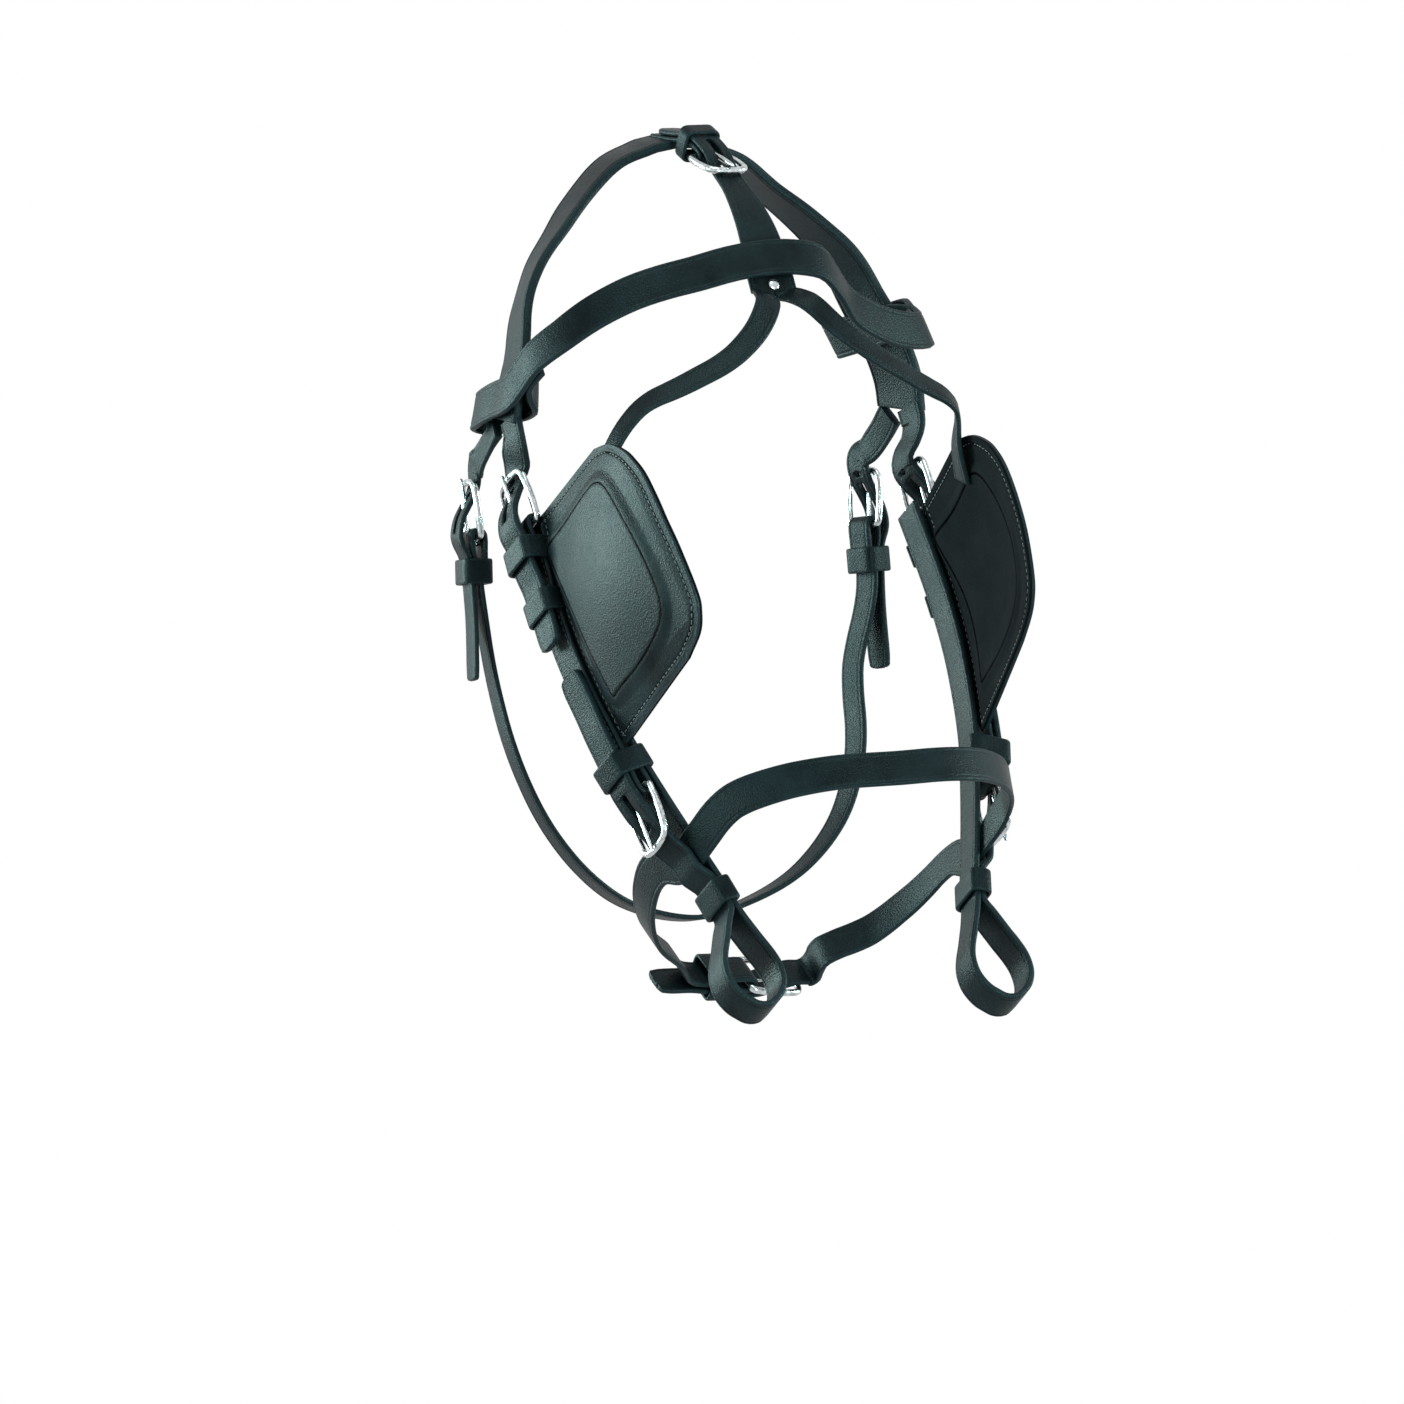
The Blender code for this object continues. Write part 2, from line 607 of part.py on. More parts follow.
def middle_keepers():
    """The keepers of the stay buckle and the noseband buckle, as keepers gives them."""
    stay = stay_seat()
    stay_top = stay_climb()[-1][1] + STAY_LEATHER / 2 + FIT_GAP
    nose = noseband_seat()
    nose_top = billet_rest(THROAT_LEATHER, NOSE_KEEPER_BACK, NOSE_TIP_BACK)[0][1] + THROAT_LEATHER / 2 + FIT_GAP
    return (
        ("stay_keeper", Seat(stay.at(-STAY_KEEPER_BACK, 0), stay.along, stay.out), STAY_BILLET_WIDTH,
         -FIT_GAP, stay_top, STAY_KEEPER_WIDTH, None),
        ("noseband_keeper", Seat(nose.at(-NOSE_KEEPER_BACK, 0), nose.along, nose.out), STRAP_WIDTH,
         -FIT_GAP, nose_top, KEEPER_WIDTH, None),
    )


def add_keeper(name, seat, strap_width, low, high, width, ends=None):
    """A keeper of thin leather round a stack of straps."""
    centres = keeper_line(seat, strap_width, low, high, ends)
    make = add_strap if ends else add_band
    return make(name, centres, seat.along, width, KEEPER_LEATHER)


def buckles(label, side):
    """(name, seat, bar, strap width, length, rise) of the buckles on one side."""
    return (
        ("cheek_buckle_" + label, cheek_seat(side, 0, -1), CHEEK_BAR, STRAP_WIDTH, BUCKLE_LENGTH, UPPER_NOSE_RISE),
        ("bit_buckle_" + label, cheek_seat(side, LOWER_BAR), CHEEK_BAR, STRAP_WIDTH, BUCKLE_LENGTH, LOWER_NOSE_RISE),
        ("throat_buckle_" + label, throat_seat(side), THROAT_BAR, THROAT_WIDTH, THROAT_BUCKLE_LENGTH,
         THROAT_NOSE_RISE),
    )


def middle_buckles():
    """The buckles of the stay and the noseband, as buckles gives them."""
    return (
        ("stay_buckle", stay_seat(), STAY_BAR, STAY_BILLET_WIDTH, STAY_BUCKLE_LENGTH, THROAT_NOSE_RISE),
        ("noseband_buckle", noseband_seat(), THROAT_BAR, STRAP_WIDTH, BUCKLE_LENGTH, THROAT_NOSE_RISE),
    )


def cheek_line():
    """Dense (along, half width) points of the inside of the cheek strap."""
    points = [(along * CHEEK_RUN, half * CHEEK_HALF_WIDTH) for along, half in CHEEK_LINE_SHARES]
    return smooth_curve(points, 8)


CHEEK_LINE = cheek_line()


def cheek_place(side, along, half, across):
    """A point from its distance down the cheek, its half width and its place across the strap."""
    return np.array((CHEEK_TOP_FORWARD + along * math.sin(CHEEK_LEAN) + across * math.cos(CHEEK_LEAN),
                     side * half,
                     -CHEEK_TOP_DROP - along * math.cos(CHEEK_LEAN) + across * math.sin(CHEEK_LEAN)))


def cheek_slope(along):
    """How fast the cheek line widens at a place along it."""
    slopes = np.gradient(CHEEK_LINE[:, 1], CHEEK_LINE[:, 0])
    return np.interp(along, CHEEK_LINE[:, 0], slopes)


def cheek_point(side, along, out, across=0.0):
    """A point that stands out from the cheek line, square to it."""
    slope = cheek_slope(along)
    half = np.interp(along, CHEEK_LINE[:, 0], CHEEK_LINE[:, 1])
    length = math.hypot(1, slope)
    return cheek_place(side, along - slope * out / length, half + out / length, across)


def cheek_seat(side, along, toward=1):
    """A seat on the cheek line, looking down it or, with toward -1, up it."""
    origin = cheek_point(side, along, 0)
    out = cheek_point(side, along, STRAP_WIDTH) - origin
    ahead = np.cross(out, (math.cos(CHEEK_LEAN), 0, math.sin(CHEEK_LEAN)))
    if ahead[2] * toward > 0:
        ahead = -ahead
    return Seat(origin, ahead, out)


def cheek_run(side, pairs):
    """Points of a list of (along, out) pairs on the cheek line."""
    return np.array([cheek_point(side, along, out) for along, out in pairs])


CHEEK_ACROSS = (math.cos(CHEEK_LEAN), 0, math.sin(CHEEK_LEAN))

# Places and heights that follow from the sizes above
STRAP_EDGE = STRAP_WIDTH / 2 + FIT_GAP
FLANGE_MIDDLE = LEATHER + FLANGE_CLEARANCE + WINKER_LINING + FIT_GAP / 2
FACING_MIDDLE = FLANGE_MIDDLE + FIT_GAP / 2 + WINKER_OUTER + FLANGE_CLEARANCE + FACING_LEATHER / 2
FOLD_REST = LEATHER + FIT_GAP * 3 + FACING_LEATHER / 2
CHEEK_BAR = bar_height(LEATHER + FIT_GAP, FACING_LEATHER, BAR_LIFT)
FACING_OVER_BAR = CHEEK_BAR + fold_radius(FACING_LEATHER)
ON_FACING = FACING_MIDDLE + FACING_LEATHER / 2 + FIT_GAP
WINKER_TOP = -WINKER_LEAD
WINKER_BOTTOM = WINKER_TOP + WINKER_HEIGHT
FLANGE_TOP = FOLD_LENGTH + FLANGE_DEPTH
FLANGE_BOTTOM = WINKER_BOTTOM - FLANGE_DEPTH
LOWER_KEEPER = WINKER_BOTTOM + LOWER_KEEPER_GAP + KEEPER_WIDTH / 2
LOWER_BAR = LOWER_KEEPER + KEEPER_WIDTH / 2 + LOWER_BAR_GAP
LOWER_NOSE = LOWER_BAR + BUCKLE_LENGTH
NOSEBAND_PLACE = LOWER_NOSE + STRAP_WIDTH / 2 - NOSEBAND_TUCK
RUNNER_PLACE = NOSEBAND_PLACE + STRAP_WIDTH / 2 + RUNNER_GAP + RUNNER_WIDTH / 2
LOOP_START = RUNNER_PLACE + RUNNER_WIDTH / 2 + LOOP_LEAD
NOSEBAND_OUT = LEATHER + FIT_GAP + LEATHER / 2


def facing_line(side):
    """Centres of the cheek's outer layer, from its upper fold to its lower fold."""
    upper = cheek_seat(side, 0, -1)
    lower = cheek_seat(side, LOWER_BAR)
    start = fold_line(upper, CHEEK_BAR, FACING_LEATHER, FOLD_REST)
    end = fold_line(lower, CHEEK_BAR, FACING_LEATHER, FOLD_REST)[::-1]
    level = FACING_MIDDLE
    run = cheek_run(side, (
        (0, FACING_OVER_BAR), (FOLD_LENGTH / 2, mix(level, FACING_OVER_BAR, FACING_UPPER_SHARES[0])),
        (FOLD_LENGTH, mix(level, FACING_OVER_BAR, FACING_UPPER_SHARES[1])), (FLANGE_TOP + FLANGE_DEPTH, level),
        *((along, level) for along in np.linspace(FLANGE_TOP, FLANGE_BOTTOM, FACING_ROWS)[1:]),
        (LOWER_BAR - FOLD_LENGTH, mix(level, FACING_OVER_BAR, FACING_LOWER_SHARES[1])),
        (LOWER_BAR - FOLD_LENGTH / 2, mix(level, FACING_OVER_BAR, FACING_LOWER_SHARES[0])),
        (LOWER_BAR, FACING_OVER_BAR)))
    return np.vstack((start[:-1], smooth_curve(run, 2), end[1:]))


def add_facing(name, side):
    """The stitched outer layer of the cheek, folded round a buckle bar at each end."""
    item = add_strap(name, facing_line(side), CHEEK_ACROSS, STRAP_WIDTH, FACING_LEATHER)
    cut_fold(item, name + "_upper_slot", cheek_seat(side, 0, -1), CHEEK_BAR, FACING_LEATHER)
    cut_fold(item, name + "_lower_slot", cheek_seat(side, LOWER_BAR), CHEEK_BAR, FACING_LEATHER)


def bit_loop_seat(side):
    """The seat of the bit loop, square to the strap's edge and level with its half width."""
    half = np.interp(LOOP_START, CHEEK_LINE[:, 0], CHEEK_LINE[:, 1])
    down = cheek_place(side, 1, 0, 0) - cheek_place(side, 0, 0, 0)
    return Seat(cheek_place(side, LOOP_START, half, 0), down, (0, side, 0))


def bit_loop_halves(side):
    """Centres down the inner arm and up the outer arm of the bit loop, with a flat bottom."""
    seat = bit_loop_seat(side)
    middle = LEATHER + FIT_GAP / 2
    inner = [seat.at(along * BIT_LOOP_LENGTH, middle - out * BIT_LOOP_WIDTH) for along, out in BIT_LOOP_SHARES]
    outer = [seat.at(along * BIT_LOOP_LENGTH, middle + out * BIT_LOOP_WIDTH)
             for along, out in reversed(BIT_LOOP_SHARES)]
    return inner, outer


def lower_climb():
    """The billet's rise through the lower buckle, as pairs in that buckle's seat."""
    return climb_line(CHEEK_BAR, FACING_LEATHER, LEATHER, BUCKLE_LENGTH, LOWER_NOSE_RISE)


def cheek_strap_line(side):
    """Centres of the long inner strap: down the cheek, round the bit and back up to the tip."""
    inner, outer = bit_loop_halves(side)
    flat = LEATHER / 2
    down = [cheek_point(side, along, flat) for along in
            np.linspace(-STRAP_TOP_LAP, LOOP_START, CHEEK_ROWS)]
    returned = LEATHER + FIT_GAP + LEATHER / 2
    over_band = NOSEBAND_OUT + LEATHER / 2 + FIT_GAP * 2 + LEATHER / 2
    rest = ON_FACING + LEATHER / 2
    seat = cheek_seat(side, LOWER_BAR)
    band_low = NOSEBAND_PLACE + STRAP_WIDTH / 2
    up = [cheek_point(side, along, out) for along, out in (
        (LOOP_START, returned), (RUNNER_PLACE, returned), (band_low + RUNNER_GAP * RUNNER_EASE_SHARE, returned),
        (band_low, mix(returned, over_band, BAND_LIFT_SHARE)), (NOSEBAND_PLACE, over_band + FIT_GAP))]
    climb = lower_climb()
    up += [seat.at(*pair) for pair in climb]
    high = climb[-1][1]
    up += [cheek_point(side, along, out) for along, out in (
        (LOWER_BAR - LOWER_BAR_GAP * BUCKLE_LEAD_SHARE, high),
        (LOWER_KEEPER, mix(rest, high, UNDER_LOWER_KEEPER_SHARE)),
        (WINKER_BOTTOM - KEEPER_WIDTH, rest + FIT_GAP * 2), (LOWER_BAR - LOWER_TIP_RISE * TIP_REST_SHARE, rest),
        (LOWER_BAR - LOWER_TIP_RISE + TIP_LENGTH, rest))]
    first = smooth_curve(down + inner, 2)
    second = with_tip(smooth_curve(outer + up, 2))
    return np.vstack((first, second))


def add_cheek_strap(name, side):
    """The long inner strap, which comes back up from the bit as the cheek's lower billet."""
    centres = cheek_strap_line(side)
    item = add_strap(name, centres, CHEEK_ACROSS, strap_widths(len(centres), STRAP_WIDTH, 4), LEATHER)
    cut_billet(item, name + "_slot", cheek_seat(side, LOWER_BAR), lower_climb(), CHEEK_BAR, LEATHER,
               BUCKLE_LENGTH, LOWER_NOSE_RISE)


def winker_out(side, along, across):
    """How far the middle of a winker stands out from the cheek line at a place on it."""
    flare = WINKER_FLARE_RIGHT_SHARE if side < 0 else WINKER_FLARE_LEFT_SHARE
    forward = (across - STRAP_EDGE) / WINKER_WIDTH
    down = (along - WINKER_TOP) / WINKER_HEIGHT
    dish = np.sin(math.pi * np.clip(forward, 0, 1)) * np.sin(math.pi * np.clip(down, 0, 1))
    return FLANGE_MIDDLE + flare * np.maximum(across - STRAP_EDGE, 0) + WINKER_DISH * dish


def winker_grid(first, last):
    """(along, across) of the winker's grid: rows run forward from the seam to the front edge."""
    rows = []
    for seam, (forward, down) in list(zip(WINKER_SEAM_SHARES, WINKER_FRONT_SHARES))[first:last]:
        along = WINKER_TOP + WINKER_HEIGHT * seam
        tucked = FLANGE_TOP <= along <= FLANGE_BOTTOM and first == 0
        root = STRAP_EDGE - FLANGE_DEPTH if tucked else STRAP_EDGE
        reach = STRAP_EDGE + WINKER_WIDTH * forward
        end = WINKER_TOP + WINKER_HEIGHT * down
        rows.append([(mix(along, end, share), mix(root, reach, share))
                     for share in WINKER_ROW_SHARES[first:last]])
    return rows


def add_winker_layer(name, side, low, high, padded, finish, first=0):
    """One layer of a winker, between two heights from its middle, over the plate or round it."""
    count = len(WINKER_ROW_SHARES)
    rows = winker_grid(first, count - first)
    room = (WINKER_PLATE + FIT_GAP) / 2 * (1 if low + high > 0 else -1)
    builder = bmesh.new()
    sheets = []
    for height in (low, high):
        sheet = []
        for i, row in enumerate(rows):
            inside = PLATE_INSET_COUNT <= i <= len(rows) - 1 - PLATE_INSET_COUNT
            line = []
            for j, (along, across) in enumerate(row):
                over = inside and PLATE_INSET_COUNT <= j <= len(row) - 1 - PLATE_INSET_COUNT
                shift = room if padded and over else 0.0
                out = winker_out(side, along, across) + height + shift
                line.append(builder.verts.new(cheek_point(side, along, out, across)))
            sheet.append(line)
        sheets.append(sheet)
    rows_last = len(rows) - 1
    for sheet in sheets:
        for i in range(rows_last):
            for j in range(len(sheet[i]) - 1):
                builder.faces.new((sheet[i][j], sheet[i][j + 1], sheet[i + 1][j + 1], sheet[i + 1][j]))
    rims = []
    for sheet in sheets:
        rim = sheet[0] + [row[-1] for row in sheet[1:]] + sheet[-1][-2::-1]
        rims.append(rim + [row[0] for row in sheet[-2:0:-1]])
    for index in range(len(rims[0])):
        ahead = (index + 1) % len(rims[0])
        builder.faces.new((rims[0][index], rims[0][ahead], rims[1][ahead], rims[1][index]))
    item = add_object(name, builder, finish)
    set_origin(item, cheek_point(side, CHEEK_RUN / 2, FLANGE_MIDDLE, STRAP_EDGE))


def add_winker(name, side):
    """Outer leather, steel plate and lining of one winker."""
    half_gap = FIT_GAP / 2
    add_winker_layer(name + "_outer", side, half_gap, half_gap + WINKER_OUTER, True, LEATHER_FINISH)
    add_winker_layer(name + "_plate", side, -WINKER_PLATE / 2, WINKER_PLATE / 2, False,
                     STEEL_FINISH, PLATE_INSET_COUNT)
    add_winker_layer(name + "_lining", side, -half_gap - WINKER_LINING, -half_gap, True, LINING_FINISH)


def upper_climb():
    """The crown billet's rise through the upper cheek buckle, as pairs in that buckle's seat."""
    return climb_line(CHEEK_BAR, FACING_LEATHER, LEATHER, BUCKLE_LENGTH, UPPER_NOSE_RISE, UPPER_BULGE)


def add_cheek(label, side):
    """Everything sewn or buckled along one side, apart from the crown's billets."""
    add_facing("cheek_facing_" + label, side)
    add_cheek_strap("cheek_strap_" + label, side)
    add_winker("winker_" + label, side)
    for buckle in buckles(label, side):
        add_buckle(*buckle)
    for keeper in keepers(label, side):
        item = add_keeper(*keeper)
        if keeper[0].startswith("bit_runner"):
            set_origin(item, keeper[1].origin)


def crown_trunk():
    """Centres of the crownpiece from the left fork over the poll to the right fork."""
    middle = CROWN_LEATHER / 2
    right = [(CROWN_FORWARD * forward, -CROWN_HALF_WIDTH * half, middle - CROWN_DROP * drop)
             for forward, half, drop in CROWN_PATH_SHARES]
    flat = (0, -CROWN_SEAT_LENGTH / 2, middle)
    half_line = smooth_curve([flat] + right)
    return np.vstack((mirrored(half_line[::-1], -1), half_line))


def crown_across(centres):
    """Forward direction over the crown's width: it leans and turns on the way down each side."""
    share = np.abs(centres[:, 1]) / CROWN_HALF_WIDTH
    drop = np.clip(-centres[:, 2] / CROWN_DROP, 0, 1)
    turn_shares = np.array(CROWN_TURN_SHARES)
    turn = CROWN_TURN * np.interp(drop, turn_shares[:, 0], turn_shares[:, 1])
    level = CROWN_SEAT_LENGTH / 2 / CROWN_HALF_WIDTH
    lean = CROWN_END_LEAN_SHARE * np.clip((share - level) / (1 - level), 0, 1)
    return unit(np.column_stack((np.ones(len(centres)), np.sign(centres[:, 1]) * np.tan(turn), lean)))


def crown_widths(centres):
    """The crown is widest where it forks into the two billets."""
    share = np.abs(centres[:, 1]) / CROWN_HALF_WIDTH
    return CROWN_WIDTH + (STRAP_WIDTH + THROAT_WIDTH - CROWN_WIDTH) * share ** 4


def fork_point():
    """Centre of the right fork and the direction across it."""
    end = crown_trunk()[-1]
    return end, crown_across(end[None])[0]


def cheek_billet_line():
    """Centres and across directions of the right cheek billet, from the fork to its tip."""
    fork, across = fork_point()
    start = fork + across * (THROAT_WIDTH / 2)
    midway = start + (BILLET_MIDWAY_FORWARD, 0, -BILLET_MIDWAY_DROP)
    seat = cheek_seat(-1, 0, -1)
    climb = upper_climb()
    rest = ON_FACING + LEATHER / 2 + BILLET_SPRING
    high = climb[-1][1]
    points = [start, midway] + [seat.at(*pair) for pair in climb]
    points += [cheek_point(-1, along, out) for along, out in (
        (UPPER_KEEPER_DROP - KEEPER_WIDTH / 2, mix(rest, high, UPPER_REST_SHARES[0])),
        (UPPER_KEEPER_DROP + KEEPER_WIDTH / 2, mix(rest, high, UPPER_REST_SHARES[1])),
        (mix(UPPER_KEEPER_DROP, MIDDLE_KEEPER_DROP, UPPER_REST_PLACE_SHARE), mix(rest, high, UPPER_REST_SHARES[2])),
        (MIDDLE_KEEPER_DROP - KEEPER_WIDTH / 2, rest + FIT_GAP),
        (MIDDLE_KEEPER_DROP + KEEPER_WIDTH / 2, rest + FIT_GAP),
        (UPPER_TIP_DROP - TIP_LENGTH, rest + FIT_GAP * 2))]
    centres = with_tip(smooth_curve(points))
    turn = np.clip(np.arange(len(centres)) / (2 * CURVE_STEPS), 0, 1)[:, None]
    return centres, unit(across + (np.array(CHEEK_ACROSS) - across) * turn)


def throat_seat(side):
    """Seat of a throat buckle: its nose end points up the billet, its strap runs down."""
    up = np.array((-math.sin(THROAT_LEAN), side * math.sin(THROAT_TUCK), math.cos(THROAT_LEAN)))
    out = (-math.sin(THROAT_TURN), side * math.cos(THROAT_TURN), 0)
    return Seat((THROAT_BAR_FORWARD, side * THROAT_BAR_HALF_WIDTH, -THROAT_BAR_DROP), up, out)


THROAT_BAR = bar_height(0.0, THROAT_LEATHER)
THROAT_OVER_BAR = THROAT_BAR + fold_radius(THROAT_LEATHER)


def throat_climb():
    """The throat billet's rise through its buckle."""
    return climb_line(THROAT_BAR, THROAT_LEATHER, THROAT_LEATHER, THROAT_BUCKLE_LENGTH, THROAT_NOSE_RISE,
                      THROAT_LEATHER)


def folded_run(leather, over_bar):
    """(along, out) pairs of a strap from over the bar down to where it lies flat."""
    flat = leather + FIT_GAP + leather / 2
    eased = [(-FOLD_LENGTH * along, mix(flat, over_bar, lift)) for along, lift in FOLDED_RUN_SHARES]
    return [(0, over_bar)] + eased + [(-FOLD_LENGTH * FOLDED_END_SHARES[0], flat * FOLDED_END_SHARES[1])]


def billet_rest(leather, keeper, tip):
    """(along, out) pairs of a billet lying on its own strap, past the keeper to the tip."""
    flat = leather + FIT_GAP + leather / 2
    lying = flat + leather + FIT_GAP
    under = [(-keeper + KEEPER_WIDTH * along, lying + leather * lift) for along, lift in KEEPER_PASS_SHARES]
    return under + [(mix(-keeper, -tip, BILLET_LIES_SHARE), lying), (-tip + TIP_LENGTH, lying)]


def throat_billet_line():
    """Centres and across directions of the right throat billet, from the fork to its tip."""
    fork, across = fork_point()
    start = fork - across * (STRAP_WIDTH / 2)
    seat = throat_seat(-1)
    climb = throat_climb()
    climb = [(climb[0][0] + NOSE_LEAD, climb[0][1])] + climb
    nose = seat.at(*climb[0])
    points = [start]
    for forward, drop in THROAT_BILLET_MIDWAY_SHARES:
        points.append((mix(nose[0], start[0], forward), mix(start[1], nose[1], drop) - THROAT_LEATHER / 2,
                       mix(start[2], nose[2], drop)))
    points += [seat.at(*pair) for pair in climb]
    points += [seat.at(*pair) for pair in billet_rest(THROAT_LEATHER, THROAT_KEEPER_DROP, THROAT_TIP_DROP)]
    centres = with_tip(smooth_curve(points))
    turn = np.clip(np.arange(len(centres)) / (3 * CURVE_STEPS), 0, 1)[:, None]
    forward = seat.across if seat.across[0] > 0 else -seat.across
    return centres, unit(across + (forward - across) * turn)


def add_crownpiece():
    """One strap over the poll that forks into a cheek billet and a throat billet on each side."""
    trunk = crown_trunk()
    middle = STRAP_WIDTH / (STRAP_WIDTH + THROAT_WIDTH)
    rings = strap_rings(trunk, crown_across(trunk), crown_widths(trunk), CROWN_LEATHER, middle=middle)
    builder = bmesh.new()
    first = [builder.verts.new(point) for point in rings[0]]
    last = add_rings(builder, rings, start=first, end_cap=False)
    for corners, side in ((last, -1), (first, 1)):
        legs = ((cheek_billet_line(), STRAP_WIDTH, LEATHER, (0, 1, 4, 5)),
                (throat_billet_line(), THROAT_WIDTH, THROAT_LEATHER, (1, 2, 3, 4)))
        for (centres, across), width, leather, picks in legs:
            widths = strap_widths(len(centres), width, 4)
            leg = strap_rings(mirrored(centres, -side), mirrored(across, -side), widths, leather, flip=-side)
            add_rings(builder, leg, start=[corners[pick] for pick in picks])
    item = add_object("crownpiece", builder, LEATHER_FINISH)
    for label, side in SIDES:
        seat = cheek_seat(side, 0, -1)
        cut_billet(item, "crownpiece_cheek_slot_" + label, seat, upper_climb(), CHEEK_BAR, LEATHER,
                   BUCKLE_LENGTH, UPPER_NOSE_RISE)
        cut_billet(item, "crownpiece_throat_slot_" + label, throat_seat(side), throat_climb(), THROAT_BAR,
                   THROAT_LEATHER, THROAT_BUCKLE_LENGTH, THROAT_NOSE_RISE)


def band_seat(side):
    """Seat of a browband loop: on the crown above its fork, looking forward."""
    trunk = crown_trunk()
    trunk = trunk[trunk[:, 1] * side > 0]
    rise = BAND_RISE_RIGHT if side < 0 else BAND_RISE_LEFT
    above = trunk[:, 2] + CROWN_DROP - rise
    nearest = np.argmin(np.abs(above))
    leg = trunk[nearest + 1] - trunk[nearest - 1]
    leg = leg if leg[2] < 0 else -leg
    centre = trunk[nearest] - leg * (above[nearest] / leg[2])
    forward = crown_across(centre[None])[0]
    return Seat(centre, forward, np.cross(forward, leg) * side), unit(leg)


def browband_side(side):
    """Centres and across directions of an end of the browband, round the crown and back."""
    seat, leg = band_seat(side)
    bend = BAND_BEND_RIGHT if side < 0 else BAND_BEND_LEFT
    turn = BAND_TURN_RIGHT if side < 0 else BAND_TURN_LEFT
    half_room = CROWN_LEATHER / 2 + BAND_LOOP_CLEARANCE + LEATHER / 2
    half_crown = crown_widths(seat.origin[None])[0] / 2 + BAND_LOOP_CLEARANCE
    half_rear = half_crown - BAND_LOOP_CLEARANCE + BAND_REAR_CLEARANCE
    level = seat.along * math.cos(turn) - seat.out * math.sin(turn)
    ahead = level * math.cos(bend) - leg * math.sin(bend)
    normal = seat.out * math.cos(turn) + seat.along * math.sin(turn)
    outer = seat.at(half_crown, half_room) + ahead * BAND_LOOP_NECK
    inner = outer - normal * (LEATHER + FIT_GAP * 2)
    lap = ahead * BAND_LOOP_LAP
    rear = np.linspace(math.pi / 2, -math.pi / 2, FOLD_STEPS + 1)[1:-1]
    points = [outer + lap, outer, seat.at(half_crown, half_room), seat.at(0, half_room),
              seat.at(-half_rear, half_room)]
    points += [seat.at(-half_rear - half_room * math.cos(angle), half_room * math.sin(angle)) for angle in rear]
    points += [seat.at(-half_rear, -half_room), seat.at(0, -half_room), seat.at(half_crown, -half_room),
               inner, inner + lap]
    tilted = leg * math.cos(bend) + level * math.sin(bend)
    between = (tilted + leg) / 2
    across = [tilted, tilted, between] + [leg] * (len(points) - 6) + [between, tilted, tilted]
    return points, across


def browband_line():
    """Centres and across directions of the browband, from its left loop to its right loop."""
    ends = {}
    for side, shares in ((-1, BAND_RIGHT_SHARES), (1, BAND_LEFT_SHARES)):
        loop, loop_across = browband_side(side)
        root = loop[0]
        free = [(BAND_FORWARD * forward, root[1] * half, mix(-BAND_DROP, root[2], drop))
                for forward, half, drop in shares]
        level = np.array((BAND_LEAN_SHARE, 0, -math.sqrt(1 - BAND_LEAN_SHARE ** 2)))
        across = [mix(level, loop_across[0], share) for share in np.linspace(*BAND_TWIST_SHARES, len(free))]
        ends[side] = (free + loop, across + loop_across)
    middle = (BAND_FORWARD, 0, -BAND_DROP)
    points = ends[1][0][::-1] + [middle] + ends[-1][0]
    across = ends[1][1][::-1] + [level] + ends[-1][1]
    return smooth_curve(points, 2), spread(across, 2)


def add_browband():
    """The band over the brow with a loop at each end that the crown runs through."""
    centres, across = browband_line()
    item = add_strap("browband", centres, across, STRAP_WIDTH, LEATHER)
    set_origin(item, (BAND_FORWARD, 0, -BAND_DROP))


def stay_seat():
    """Seat of the stay buckle on the poll, its nose end pointing down the forehead."""
    along = (math.cos(STEM_LEAN), 0, -math.sin(STEM_LEAN))
    return Seat((STEM_BAR_FORWARD, 0, -STEM_BAR_DROP), along, (math.sin(STEM_LEAN), 0, math.cos(STEM_LEAN)))


STAY_BAR = bar_height(0.0, STAY_LEATHER)
STAY_OVER_BAR = STAY_BAR + fold_radius(STAY_LEATHER)


def stay_climb():
    """The stay billet's rise through its buckle."""
    return climb_line(STAY_BAR, STAY_LEATHER, STAY_LEATHER, STAY_BUCKLE_LENGTH, THROAT_NOSE_RISE)


def brow_normal():
    """Direction square to the forehead under the browband."""
    return np.array((math.sqrt(1 - BAND_LEAN_SHARE ** 2), 0, BAND_LEAN_SHARE))


def stem_line():
    """Centres of the stay's stem from its tip on the poll to its fork under the browband."""
    seat = stay_seat()
    climb = stay_climb()
    normal = brow_normal()
    down = np.array((BAND_LEAN_SHARE, 0, -math.sqrt(1 - BAND_LEAN_SHARE ** 2)))
    clear = LEATHER / 2 + STAY_UNDER_GAP + STAY_LEATHER / 2
    under = np.array((BAND_FORWARD, 0, -BAND_DROP)) - normal * clear
    rest = crown_top_rest() + STAY_LEATHER + FIT_GAP
    points = [(-STAY_TIP_BACK + STEM_BAR_FORWARD, 0, rest), (0, 0, rest),
              (CROWN_WIDTH / 2, 0, rest + FIT_GAP)]
    points += [seat.at(-STAY_KEEPER_BACK, climb[-1][1] - FIT_GAP)]
    points += [seat.at(*pair) for pair in reversed(climb)]
    nose = points[-1]
    points += [(mix(nose[0], under[0], forward), 0, mix(nose[2], under[2], drop))
               for forward, drop in STEM_SHARES]
    points += [under - down * STRAP_WIDTH / 2, under + down * STRAP_WIDTH / 2, under + down * STAY_FORK_DROP]
    return smooth_curve(points, 2), unit(down)


def crown_top_rest():
    """Height of the middle of the hanger where it lies on the crown."""
    return CROWN_LEATHER + FIT_GAP + STAY_LEATHER / 2


